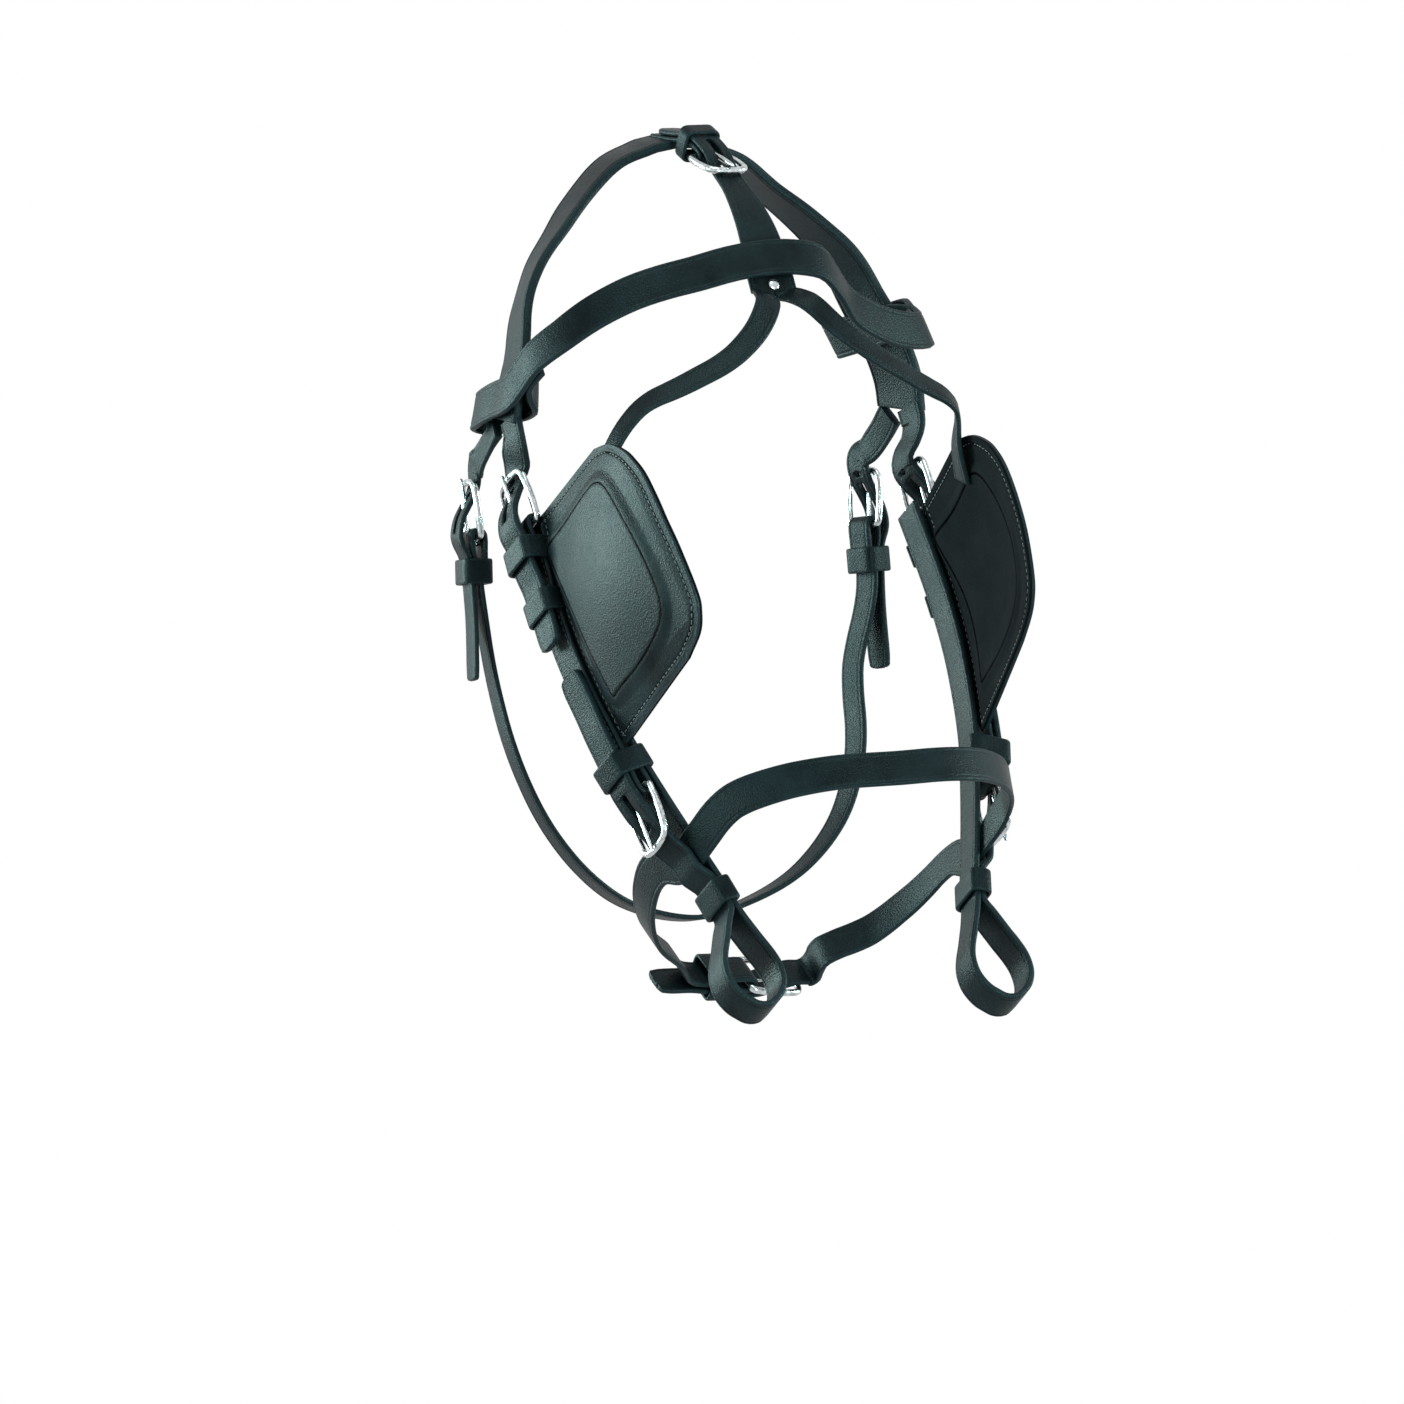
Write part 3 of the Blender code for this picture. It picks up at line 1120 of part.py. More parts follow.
def winker_seat_points(side):
    """Two centres of a stay arm where it is sewn inside the top front corner of a winker."""
    points = []
    for step in (0, 1):
        along = WINKER_TOP + ARM_SEAT_ALONG + ARM_SEAT_LAP * step
        across = ARM_SEAT_ACROSS - ARM_SEAT_LAP * step
        inside = winker_out(side, along, across) - WINKER_LINING - WINKER_PLATE / 2 - FIT_GAP
        points.append(cheek_point(side, along, inside - STAY_UNDER_GAP - STAY_LEATHER / 2, across))
    return points


def winker_normal(side):
    """Outward direction square to a winker at its top front corner."""
    corner, below, behind = (cheek_point(side, along, winker_out(side, along, across), across)
                             for along, across in ((0, ARM_SEAT_ACROSS), (ARM_SEAT_LAP, ARM_SEAT_ACROSS),
                                                   (0, ARM_SEAT_ACROSS - ARM_SEAT_LAP)))
    normal = unit(np.cross(below - corner, behind - corner))
    return normal if normal[1] * side > 0 else -normal


def stem_widths(stem):
    """The stem widens from its billet to the two arms side by side."""
    full = STEM_BAR_FORWARD + STAY_BUCKLE_LENGTH + NOSE_CORNER
    widths = np.interp(stem[:, 0], (full, BAND_FORWARD), (STAY_BILLET_WIDTH, STAY_ARM_WIDTH * 2))
    widths[0] = TIP_WIDTH
    widths[1] = mix(TIP_WIDTH, STAY_BILLET_WIDTH, STEM_TIP_SHARE)
    return widths


def stay_arm_line(side):
    """Centres and across directions of one arm of the stay, from the fork to its winker."""
    stem, down = stem_line()
    shares = ARM_RIGHT_SHARES if side < 0 else ARM_LEFT_SHARES
    start = stem[-1] + (0, side * STAY_ARM_WIDTH / 2, 0)
    free = [(ARM_FORWARD * forward, side * CROWN_HALF_WIDTH * half, -ARM_DROP * drop)
            for forward, half, drop in shares]
    centres = smooth_curve([start] + free + winker_seat_points(side))
    turn = np.linspace(0, 1, len(centres))[:, None] ** (1 if side < 0 else ARM_LEFT_TURN_POWER)
    normal = brow_normal() + (winker_normal(side) - brow_normal()) * turn
    return centres, unit(np.cross(np.gradient(centres, axis=0), normal))


def add_winker_stay():
    """The forked stay: a stem down the forehead that splits into an arm to each winker."""
    stem, down = stem_line()
    widths = stem_widths(stem)
    rings = strap_rings(stem, (0, -1, 0), widths, STAY_LEATHER, middle=0.5)
    builder = bmesh.new()
    first = [builder.verts.new(point) for point in rings[0]]
    builder.faces.new(first)
    last = add_rings(builder, rings, start=first, end_cap=False)
    for side, picks in ((-1, (0, 1, 4, 5)), (1, (1, 2, 3, 4))):
        centres, across = stay_arm_line(side)
        add_rings(builder, strap_rings(centres, across, STAY_ARM_WIDTH, STAY_LEATHER),
                  start=[last[pick] for pick in picks])
    item = add_object("winker_stay", builder, LEATHER_FINISH)
    climb = stay_climb()
    cut_billet(item, "winker_stay_slot", stay_seat(), climb, STAY_BAR, STAY_LEATHER,
               STAY_BUCKLE_LENGTH, THROAT_NOSE_RISE)
    add_stay_rivet(item)


def add_disc_stack(name, place, axis, levels, finish):
    """A turned solid on an axis through a place, from (height, radius) levels."""
    axis = unit(np.array(axis, dtype=float))
    first = unit(np.cross(axis, (0, 1, 0)))
    second = np.cross(axis, first)
    turn = 2 * math.pi * (np.arange(RIVET_SIDES) + 0.5) / RIVET_SIDES
    circle = np.cos(turn)[:, None] * first + np.sin(turn)[:, None] * second
    builder = bmesh.new()
    add_rings(builder, np.array([place + axis * height + circle * radius for height, radius in levels]))
    return add_object(name, builder, finish)


def add_stay_rivet(stay):
    """The rivet that keeps the stay's fork from tearing."""
    stem, down = stem_line()
    place = stem[-1] - down * RIVET_RISE
    inside = STAY_LEATHER / 2 + FIT_GAP
    outside = inside + RIVET_HEAD
    levels = ((-outside, RIVET_HEAD_RADIUS), (-inside, RIVET_HEAD_RADIUS), (-inside, RIVET_RADIUS),
              (inside, RIVET_RADIUS), (inside, RIVET_HEAD_RADIUS), (outside, RIVET_HEAD_RADIUS * RIVET_DOME_SHARE))
    add_disc_stack("stay_rivet", place, brow_normal(), levels, NICKEL_FINISH)
    hole = ((-outside, RIVET_RADIUS + FIT_GAP), (outside, RIVET_RADIUS + FIT_GAP))
    cut(stay, add_disc_stack("stay_rivet_hole", place, brow_normal(), hole, STEEL_FINISH))


def hanger_line():
    """Centres of the short strap on the crown, from its fold round the stay buckle's bar."""
    seat = stay_seat()
    fold = fold_line(seat, STAY_BAR, STAY_LEATHER, STAY_LEATHER / 2)
    rest = crown_top_rest()
    edge = CROWN_WIDTH / 2
    run = smooth_curve(np.vstack((seat.line(((0, STAY_OVER_BAR), (-FOLD_LENGTH / 2, STAY_OVER_BAR + FIT_GAP))),
                                  ((edge + FIT_GAP * 4, 0, rest + FIT_GAP), (edge / 2, 0, rest),
                                   (-HANGER_BACK, 0, rest)))), 2)
    return np.vstack((fold[:-1], run))


def add_stay_hanger():
    """The short strap sewn on the crown that carries the stay buckle."""
    seat = stay_seat()
    item = add_strap("stay_hanger", hanger_line(), (0, 1, 0), STAY_BILLET_WIDTH, STAY_LEATHER)
    cut_fold(item, "stay_hanger_slot", seat, STAY_BAR, STAY_LEATHER)


def throatlatch_line():
    """Centres and across directions of the throat strap, from its left fold to its right fold."""
    halves = []
    for side in (1, -1):
        seat = throat_seat(side)
        fold = fold_line(seat, THROAT_BAR, THROAT_LEATHER, THROAT_LEATHER / 2)
        run = [seat.at(*pair) for pair in folded_run(THROAT_LEATHER, THROAT_OVER_BAR)]
        low = [(THROAT_REACH * forward, side * THROAT_HALF_WIDTH * half, -THROAT_LOW * drop)
               for forward, half, drop in THROAT_SHARES]
        halves.append((fold[:-1], run + low))
    bottom = [(THROAT_REACH, 0, -THROAT_LOW)]
    run = smooth_curve(np.vstack((halves[0][1], bottom, halves[1][1][::-1])))
    centres = np.vstack((halves[0][0], run, halves[1][0][::-1]))
    left = throat_seat(1).across
    forward = left if left[0] > 0 else -left
    share = np.clip(centres[:, 1:2] / THROAT_BAR_HALF_WIDTH, -1, 1)
    across = np.column_stack((np.full(len(centres), forward[0]), forward[1] * share[:, 0],
                              np.full(len(centres), forward[2])))
    return centres, across


def add_throatlatch():
    """The throat strap with a fold round a buckle bar at each end."""
    centres, across = throatlatch_line()
    item = add_strap("throatlatch", centres, across, THROAT_WIDTH, THROAT_LEATHER)
    for label, side in SIDES:
        cut_fold(item, "throatlatch_slot_" + label, throat_seat(side), THROAT_BAR, THROAT_LEATHER)


def noseband_crossing(side):
    """Centre of the noseband where it passes between the layers of a cheek."""
    return cheek_point(side, NOSEBAND_PLACE, NOSEBAND_OUT)


def noseband_seat():
    """Seat of the noseband buckle under the jaw, its nose end pointing to the left."""
    crossing = noseband_crossing(1)
    rear = np.array((-NOSE_REAR_REACH, 0, -NOSE_REAR_DROP))
    origin = crossing * (1, 0, 1) + rear + (0, NOSE_BAR_OFFSET, 0)
    return Seat(origin, (0, 1, 0), (-math.cos(JAW_LEAN), 0, -math.sin(JAW_LEAN)))


def noseband_points(side, shares):
    """Points of the noseband from given shares of its reach, half width and rise."""
    crossing = noseband_crossing(side)
    return [(crossing[0] + NOSE_REACH * forward, crossing[1] * half, crossing[2] + NOSE_RISE * rise)
            for forward, half, rise in shares]


def noseband_rear(side):
    """Points of the noseband from its crossing back under the jaw."""
    crossing = noseband_crossing(side)
    return [(crossing[0] - NOSE_REAR_REACH * back, crossing[1] * half, crossing[2] - NOSE_REAR_DROP * drop)
            for back, half, drop in NOSE_REAR_SHARES]


def noseband_climb():
    """The noseband billet's rise through its buckle."""
    return climb_line(THROAT_BAR, THROAT_LEATHER, THROAT_LEATHER, BUCKLE_LENGTH, THROAT_NOSE_RISE)


def noseband_line():
    """Centres and across directions of the noseband, from its fold to its tip."""
    seat = noseband_seat()
    leather = THROAT_LEATHER
    level = np.array((math.sin(NOSE_LEAN), 0, -math.cos(NOSE_LEAN)))
    jaw = np.array((math.sin(JAW_LEAN), 0, -math.cos(JAW_LEAN)))
    crossing = {side: cheek_seat(side, NOSEBAND_PLACE).along for label, side in SIDES}
    fold = fold_line(seat, THROAT_BAR, leather, leather / 2)[:-1]
    start = [seat.at(*pair) for pair in folded_run(leather, THROAT_OVER_BAR)]
    climb = noseband_climb()
    end = [seat.at(climb[0][0] + NOSE_LEAD, climb[0][1])] + [seat.at(*pair) for pair in climb]
    end += [seat.at(*pair) for pair in billet_rest(leather, NOSE_KEEPER_BACK, NOSE_TIP_BACK)]
    points, across = list(start), [jaw] * len(start)
    for side, front_shares in ((-1, NOSE_RIGHT_SHARES), (1, NOSE_LEFT_SHARES)):
        rear = noseband_rear(side)[::-1]
        front = noseband_points(side, front_shares)
        level_run = np.array(CHEEK_ACROSS) * STRAP_WIDTH / 2
        middle = noseband_crossing(side)
        stretch = rear + [middle - level_run, middle + level_run] + front
        hints = [mix(jaw, crossing[side], share) for share in np.linspace(JAW_TWIST_SHARE, 1, len(rear))]
        hints += [crossing[side]] * 2
        hints += [mix(crossing[side], level, share) for share in np.linspace(NOSE_TWIST_SHARE, 1, len(front))]
        if side < 0:
            points += stretch + noseband_points(side, ((1, 0, 1),))
            across += hints + [level]
        else:
            points += stretch[::-1]
            across += hints[::-1]
    points += end
    across += [jaw] * len(end)
    run = with_tip(smooth_curve(points))
    hints = spread(across)
    hints = np.vstack((hints, np.repeat(hints[-1:], len(run) - len(hints), axis=0)))
    centres = np.vstack((fold, run))
    return centres, np.vstack((np.repeat(hints[:1], len(fold), axis=0), hints))


def add_noseband():
    """The noseband: a strap round the nose, buckled to itself under the jaw."""
    seat = noseband_seat()
    leather = THROAT_LEATHER
    centres, across = noseband_line()
    item = add_strap("noseband", centres, across, strap_widths(len(centres), STRAP_WIDTH, 4), leather)
    cut_fold(item, "noseband_fold_slot", seat, THROAT_BAR, leather)
    cut_billet(item, "noseband_billet_slot", seat, noseband_climb(), THROAT_BAR, leather,
               BUCKLE_LENGTH, THROAT_NOSE_RISE)


def main():
    """Build the whole bridle."""
    clear_scene()
    add_crownpiece()
    add_browband()
    add_stay_hanger()
    add_winker_stay()
    for label, side in SIDES:
        add_cheek(label, side)
    add_throatlatch()
    add_noseband()
    for buckle in middle_buckles():
        add_buckle(*buckle)
    for keeper in middle_keepers():
        add_keeper(*keeper)


main()
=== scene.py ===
"""Driving bridle with winkers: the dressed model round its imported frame.

Every strap, keeper, buckle and winker is a surface worked out from the same sizes as its solid:
a cross-section carried along a path, or a sheet that is a function of two places on it.
"""
import math

import bmesh
import bpy
import numpy as np
from bpy.props import FloatProperty, PointerProperty, StringProperty
from bpy.types import Operator, Panel, PropertyGroup
from mathutils import Matrix, Vector


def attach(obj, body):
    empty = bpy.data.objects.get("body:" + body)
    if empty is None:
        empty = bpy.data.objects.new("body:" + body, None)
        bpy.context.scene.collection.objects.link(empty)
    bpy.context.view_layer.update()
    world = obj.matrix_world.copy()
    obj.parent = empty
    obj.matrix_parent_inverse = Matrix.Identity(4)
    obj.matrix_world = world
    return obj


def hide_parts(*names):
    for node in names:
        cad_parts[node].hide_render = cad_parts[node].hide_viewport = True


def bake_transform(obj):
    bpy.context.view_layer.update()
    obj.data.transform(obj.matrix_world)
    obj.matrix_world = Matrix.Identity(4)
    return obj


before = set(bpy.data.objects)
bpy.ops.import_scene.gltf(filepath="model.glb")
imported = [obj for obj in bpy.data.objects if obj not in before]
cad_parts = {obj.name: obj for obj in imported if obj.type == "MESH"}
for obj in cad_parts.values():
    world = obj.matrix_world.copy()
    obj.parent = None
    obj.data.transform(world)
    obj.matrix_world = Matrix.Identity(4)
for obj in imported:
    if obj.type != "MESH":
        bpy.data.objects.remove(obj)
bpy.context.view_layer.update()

bl_info = {
    "name": "Driving bridle",
    "version": (1, 0, 0),
    "blender": (4, 5, 0),
    "location": "3D View > Sidebar > Bridle",
    "description": "Builds the leather, stitching, buckles and winkers of a driving bridle",
    "category": "Object",
}

# ---- sizes and paths of the straps, as in the solids ---------------------------------------------

# Leather
STRAP_WIDTH = 0.019
THROAT_WIDTH = 0.015
STAY_BILLET_WIDTH = 0.015
STAY_ARM_WIDTH = 0.013
LEATHER = 0.0032
CROWN_LEATHER = 0.0045
FACING_LEATHER = 0.0028
THROAT_LEATHER = 0.0026
STAY_LEATHER = 0.0026
KEEPER_LEATHER = 0.0020
KEEPER_WIDTH = 0.0125
RUNNER_WIDTH = 0.0135
TIP_LENGTH = 0.009
TIP_WIDTH = 0.007
TIP_SHARES = (0.35, 0.65, 0.88, 1.0)
FIT_GAP = 0.0003

# Buckles
WIRE_RADIUS = 0.00175
TONGUE_RADIUS = 0.00125
TONGUE_TIP_RADIUS = 0.0009
TONGUE_SHARES = (0.0, 0.12, 0.8, 1.0)
BUCKLE_LENGTH = 0.029
THROAT_BUCKLE_LENGTH = 0.027
STAY_BUCKLE_LENGTH = 0.022
BUCKLE_SIDE_GAP = 0.0013
NOSE_CORNER = 0.006
TONGUE_OVERHANG = 0.0012
TONGUE_SLOT_GAP = 0.0006
FOLD_LENGTH = 0.014
BAR_LIFT = 0.0012
UPPER_NOSE_RISE = 0.0029
LOWER_NOSE_RISE = 0.0074
THROAT_NOSE_RISE = 0.003
NOSE_LEAD = 0.006

# Cheek line, down the side of the head
CHEEK_LEAN = math.radians(36.4)
CHEEK_TOP_FORWARD = 0.0627
CHEEK_HANG = 0.0500
CHEEK_RUN = 0.222
CHEEK_HALF_WIDTH = 0.1055
CHEEK_LINE_SHARES = (
    (-0.150, 0.972), (-0.015, 0.981), (0.100, 0.995), (0.210, 1.000), (0.325, 0.991),
    (0.440, 0.962), (0.550, 0.921), (0.617, 0.883), (0.685, 0.841), (0.775, 0.782),
    (0.870, 0.716), (0.940, 0.668), (1.000, 0.635), (1.300, 0.500),
)
STRAP_TOP_LAP = 0.006
UPPER_KEEPER_DROP = 0.015
MIDDLE_KEEPER_DROP = 0.044
UPPER_KEEPER_SHARE = 0.62
LOWER_KEEPER_SHARE = 0.85
UPPER_TIP_DROP = 0.066
UPPER_BULGE = 0.003
BILLET_SPRING = 0.002
LOWER_KEEPER_GAP = 0.002
LOWER_BAR_GAP = 0.008
LOWER_TIP_RISE = 0.068
NOSEBAND_TUCK = 0.001
RUNNER_GAP = 0.009
RUNNER_CLEARANCE = 0.0005
LOOP_LEAD = 0.003
BIT_LOOP_LENGTH = 0.0565
BIT_LOOP_WIDTH = 0.0320

# Winkers
WINKER_HEIGHT = 0.128
WINKER_WIDTH = 0.111
WINKER_LEAD = 0.0015
WINKER_DISH = 0.007
WINKER_FLARE_RIGHT_SHARE = 0.02
WINKER_FLARE_LEFT_SHARE = -0.20
WINKER_OUTER = 0.0016
WINKER_LINING = 0.0012
WINKER_PLATE = 0.0012
FLANGE_DEPTH = 0.003
FLANGE_CLEARANCE = 0.0007
WINKER_SEAM_SHARES = (0.0, 0.05, 0.12, 0.20, 0.30, 0.40, 0.50, 0.60, 0.72, 0.82, 0.90, 0.95, 1.0)
WINKER_FRONT_SHARES = (
    (0.605, 0.005), (0.74, 0.055), (0.853, 0.14), (0.915, 0.22), (0.955, 0.30), (0.98, 0.41), (0.991, 0.51),
    (1.0, 0.62), (0.995, 0.74), (0.98, 0.84), (0.951, 0.893), (0.868, 0.95), (0.70, 0.983),
)
WINKER_ROW_SHARES = (0.0, 0.035, 0.075, 0.16, 0.27, 0.38, 0.50, 0.62, 0.73, 0.84, 0.925, 0.965, 1.0)
PLATE_INSET_COUNT = 2

# Crownpiece
CROWN_WIDTH = 0.025
CROWN_SEAT_LENGTH = 0.030
CROWN_FORWARD = 0.037
CROWN_HALF_WIDTH = 0.113
CROWN_DROP = 0.1305
CHEEK_TOP_DROP = CROWN_DROP + CHEEK_HANG
CROWN_PATH_SHARES = (
    (-0.02, 0.30, 0.057), (0.05, 0.47, 0.181), (0.30, 0.63, 0.305), (0.46, 0.76, 0.425),
    (0.62, 0.86, 0.592), (0.90, 0.93, 0.754), (1.00, 0.978, 0.888), (1.00, 1.00, 1.000),
)
CROWN_END_LEAN_SHARE = 0.34
CROWN_TURN = math.radians(17)
CROWN_TURN_SHARES = ((0.0, 0.0), (0.2, 0.3), (0.5, 1.0), (0.75, 0.7), (1.0, 0.35))
BILLET_MIDWAY_FORWARD = 0.004
BILLET_MIDWAY_DROP = 0.0095

# Browband
BAND_FORWARD = 0.099
BAND_DROP = 0.044
BAND_RIGHT_SHARES = ((1.02, 0.37, 0.14), (0.99, 0.66, 0.32), (0.93, 0.83, 0.54), (0.86, 0.93, 0.75))
BAND_LEFT_SHARES = ((0.99, 0.275, 0.08), (0.90, 0.50, 0.64), (0.82, 0.75, 0.93))
BAND_RISE_RIGHT = 0.0120
BAND_RISE_LEFT = 0.0425
BAND_BEND_RIGHT = math.radians(35)
BAND_BEND_LEFT = math.radians(-20)
BAND_TURN_RIGHT = math.radians(10)
BAND_TURN_LEFT = math.radians(35)
BAND_LOOP_CLEARANCE = 0.0030
BAND_REAR_CLEARANCE = 0.0080
BAND_LOOP_LAP = 0.012
BAND_LOOP_NECK = 0.010
BAND_LEAN_SHARE = 0.52

# Winker stay
STEM_BAR_FORWARD = 0.034
STEM_BAR_DROP = 0.0045
STEM_LEAN = math.radians(20)
STEM_SHARES = ((0.36, 0.24), (0.72, 0.58))
STEM_TIP_SHARE = 0.7
STAY_FORK_DROP = 0.0175
STAY_TIP_BACK = 0.040
STAY_KEEPER_BACK = 0.012
STAY_KEEPER_WIDTH = 0.00875
HANGER_BACK = 0.010
ARM_FORWARD = 0.134
ARM_RIGHT_SHARES = (
    (0.880, 0.10, 0.485), (0.955, 0.20, 0.575), (0.990, 0.34, 0.670),
    (0.990, 0.59, 0.775), (0.975, 0.79, 0.855),
)
ARM_LEFT_SHARES = (
    (0.880, 0.10, 0.485), (0.955, 0.20, 0.575), (0.990, 0.34, 0.665),
    (0.990, 0.59, 0.785), (0.985, 0.79, 0.895),
)
ARM_LEFT_TURN_POWER = 1.7
ARM_DROP = 0.132
ARM_SEAT_ALONG = 0.006
ARM_SEAT_ACROSS = 0.080
ARM_SEAT_LAP = 0.013
STAY_UNDER_GAP = 0.0015
RIVET_RISE = 0.004
RIVET_RADIUS = 0.0014
RIVET_HEAD_RADIUS = 0.0030
RIVET_HEAD = 0.0010

# Throatlatch
THROAT_BAR_FORWARD = 0.0075
THROAT_BAR_HALF_WIDTH = 0.1065
THROAT_HANG = 0.0585
THROAT_BAR_DROP = CROWN_DROP + THROAT_HANG
THROAT_LEAN = math.radians(9)
THROAT_TURN = math.radians(12)
THROAT_TUCK = math.radians(-2)
THROAT_KEEPER_DROP = 0.017
THROAT_TIP_DROP = 0.071
THROAT_REACH = 0.037
THROAT_HALF_WIDTH = 0.100
THROAT_LOW = 0.378
THROAT_SHARES = (
    (0.34, 1.030, 0.680), (0.76, 0.965, 0.793), (0.98, 0.835, 0.872), (1.02, 0.590, 0.943),
    (0.90, 0.300, 0.985),
)
THROAT_BILLET_MIDWAY_SHARES = ((0.60, 0.44), (0.26, 0.78))

# Noseband
NOSE_REACH = 0.066
NOSE_RISE = 0.048
NOSE_REAR_REACH = 0.093
NOSE_REAR_DROP = 0.0664
NOSE_RIGHT_SHARES = ((0.37, 0.87, 0.60), (0.59, 0.68, 0.80), (0.80, 0.42, 0.93))
NOSE_LEFT_SHARES = ((0.30, 1.05, 0.49), (0.60, 0.93, 0.78), (0.845, 0.70, 0.95), (1.04, 0.30, 1.03))
NOSE_REAR_SHARES = ((0.25, 1.02, 0.11), (0.55, 0.93, 0.44), (0.73, 0.75, 0.71), (0.86, 0.51, 0.88))
NOSE_LEAN = math.radians(36)
JAW_LEAN = math.radians(59)
NOSE_BAR_OFFSET = 0.006
NOSE_TIP_BACK = 0.050
NOSE_KEEPER_BACK = 0.017

# Shape of a billet through its buckle: shares of the buckle's length and of its climb
BIT_LOOP_SHARES = ((0.12, 0.13), (0.34, 0.30), (0.58, 0.47), (0.76, 0.47), (0.91, 0.33), (1.0, 0.11))
FACING_UPPER_SHARES = (0.8, 0.4)
FACING_LOWER_SHARES = (0.85, 0.45)
RUNNER_EASE_SHARE = 0.75
BAND_LIFT_SHARE = 0.97
BUCKLE_LEAD_SHARE = 0.6
UNDER_LOWER_KEEPER_SHARE = 0.6
TIP_REST_SHARE = 0.7
UPPER_REST_SHARES = (0.60, 0.44, 0.10)
UPPER_REST_PLACE_SHARE = 0.6
FOLDED_RUN_SHARES = ((0.5, 0.85), (1.0, 0.35), (1.5, 0.0))
FOLDED_END_SHARES = (2.2, 0.7)
KEEPER_PASS_SHARES = ((0.5, 0.95), (0.0, 0.6), (-0.5, 0.4))
BILLET_LIES_SHARE = 0.45
BAND_TWIST_SHARES = (0.2, 0.8)
JAW_TWIST_SHARE = 0.25
NOSE_TWIST_SHARE = 0.4
BILLET_CLIMB_SHARES = ((1.0, 0.0), (0.80, 0.16), (0.58, 0.50), (0.32, 0.86), (0.0, 1.0))
CURVE_STEPS = 3
FACING_ROWS = 7
CHEEK_ROWS = 15
CORNER_STEPS = 4
FOLD_STEPS = 8
CURL_STEPS = 9
CURL_TURN = math.radians(265)
SIDES = (("right", -1), ("left", 1))


def unit(vector):
    """The vector, or each row of an array of them, at length one."""
    return vector / np.linalg.norm(vector, axis=-1, keepdims=True)


def mix(low, high, share):
    """The value that lies a share of the way from low to high."""
    return low + (high - low) * share


def cubic_span(start, end, lead, trail, share):
    """The cubic from start, leaving along lead, to end, arriving along trail, at shares of the way."""
    return (start * (2 * share**3 - 3 * share**2 + 1) + lead * (share**3 - 2 * share**2 + share)
            + end * (3 * share**2 - 2 * share**3) + trail * (share**3 - share**2))


def spans_through(rows, chords, steps):
    """Cubic spans through every row, its slope the mean of its two chords, each weighted by the other."""
    slopes = np.diff(rows, axis=0) / chords
    tangents = np.vstack((slopes[:1], slopes, slopes[-1:]))
    ahead = np.vstack((chords, chords[-1:]))
    behind = np.vstack((chords[:1], chords))
    tangents = (tangents[:-1] * ahead + tangents[1:] * behind) / (ahead + behind)
    share = (np.arange(steps) / steps)[None, :, None]
    lead, trail = tangents[:-1, None] * chords[:, None], tangents[1:, None] * chords[:, None]
    spans = cubic_span(rows[:-1, None], rows[1:, None], lead, trail, share)
    return np.vstack((spans.reshape(-1, rows.shape[1]), rows[-1:]))


def smooth_curve(points, steps=CURVE_STEPS):
    """Points on cubic spans through the given ones."""
    points = np.array(points, dtype=float)
    return spans_through(points, np.linalg.norm(np.diff(points, axis=0), axis=1)[:, None], steps)


def spread(values, steps=CURVE_STEPS):
    """A value for each given point of a smooth curve, carried to all of the curve's points."""
    values = np.array(values, dtype=float)
    places = np.arange((len(values) - 1) * steps + 1) / steps
    return np.column_stack([np.interp(places, np.arange(len(values)), column) for column in values.T])


def mirrored(points, side):
    """Points of the left side, carried to the side asked for."""
    return np.array(points, dtype=float) * (1, side, 1)


class Seat:
    """A straight place to build on: a point and the directions along, out and across."""

    def __init__(self, origin, along, out):
        self.origin = np.array(origin, dtype=float)
        self.along = unit(np.array(along, dtype=float))
        out = np.array(out, dtype=float)
        self.out = unit(out - self.along * (out @ self.along))
        self.across = np.cross(self.along, self.out)

    def at(self, along, out, across=0.0):
        """The point that stands these distances from the seat's origin."""
        return self.origin + self.along * along + self.out * out + self.across * across

    def line(self, pairs):
        """The points of a list of (along, out) pairs."""
        return np.array([self.at(along, out) for along, out in pairs])


def strap_widths(count, width, tip_rings):
    """Widths along a strap that narrows to its tip over the last rings."""
    widths = np.full(count, width)
    shares = np.sqrt(1 - (np.arange(1, tip_rings + 1) / tip_rings) ** 2)
    widths[-tip_rings:] = TIP_WIDTH + (width - TIP_WIDTH) * shares
    return widths


def with_tip(line):
    """A line whose last stretch, as long as a strap's tip, is cut into short steps."""
    line = np.array(line)
    ahead = unit(line[-1] - line[-2])
    steps = np.array(TIP_SHARES)[:, None]
    return np.vstack((line, line[-1] + ahead * steps * TIP_LENGTH))


def bar_height(base, leather, lift=0.0):
    """How high a buckle's bar stands over a base face once the fold passes under it."""
    return base + leather + FIT_GAP + WIRE_RADIUS + lift


def fold_radius(leather):
    """Radius of the middle of a fold round the bar."""
    return WIRE_RADIUS + FIT_GAP + leather / 2


def fold_line(seat, bar, leather, rest):
    """Strap centres: from the end of the turned-in part, round the bar, onto its outer side."""
    radius = fold_radius(leather)
    turn = np.linspace(-math.pi / 2, math.pi / 2, FOLD_STEPS + 1)
    arc = [(radius * math.cos(angle), bar + radius * math.sin(angle)) for angle in turn]
    inner = [(-FOLD_LENGTH, rest), (-FOLD_LENGTH / 2, (rest + bar - radius) / 2)]
    return seat.line(inner + arc)


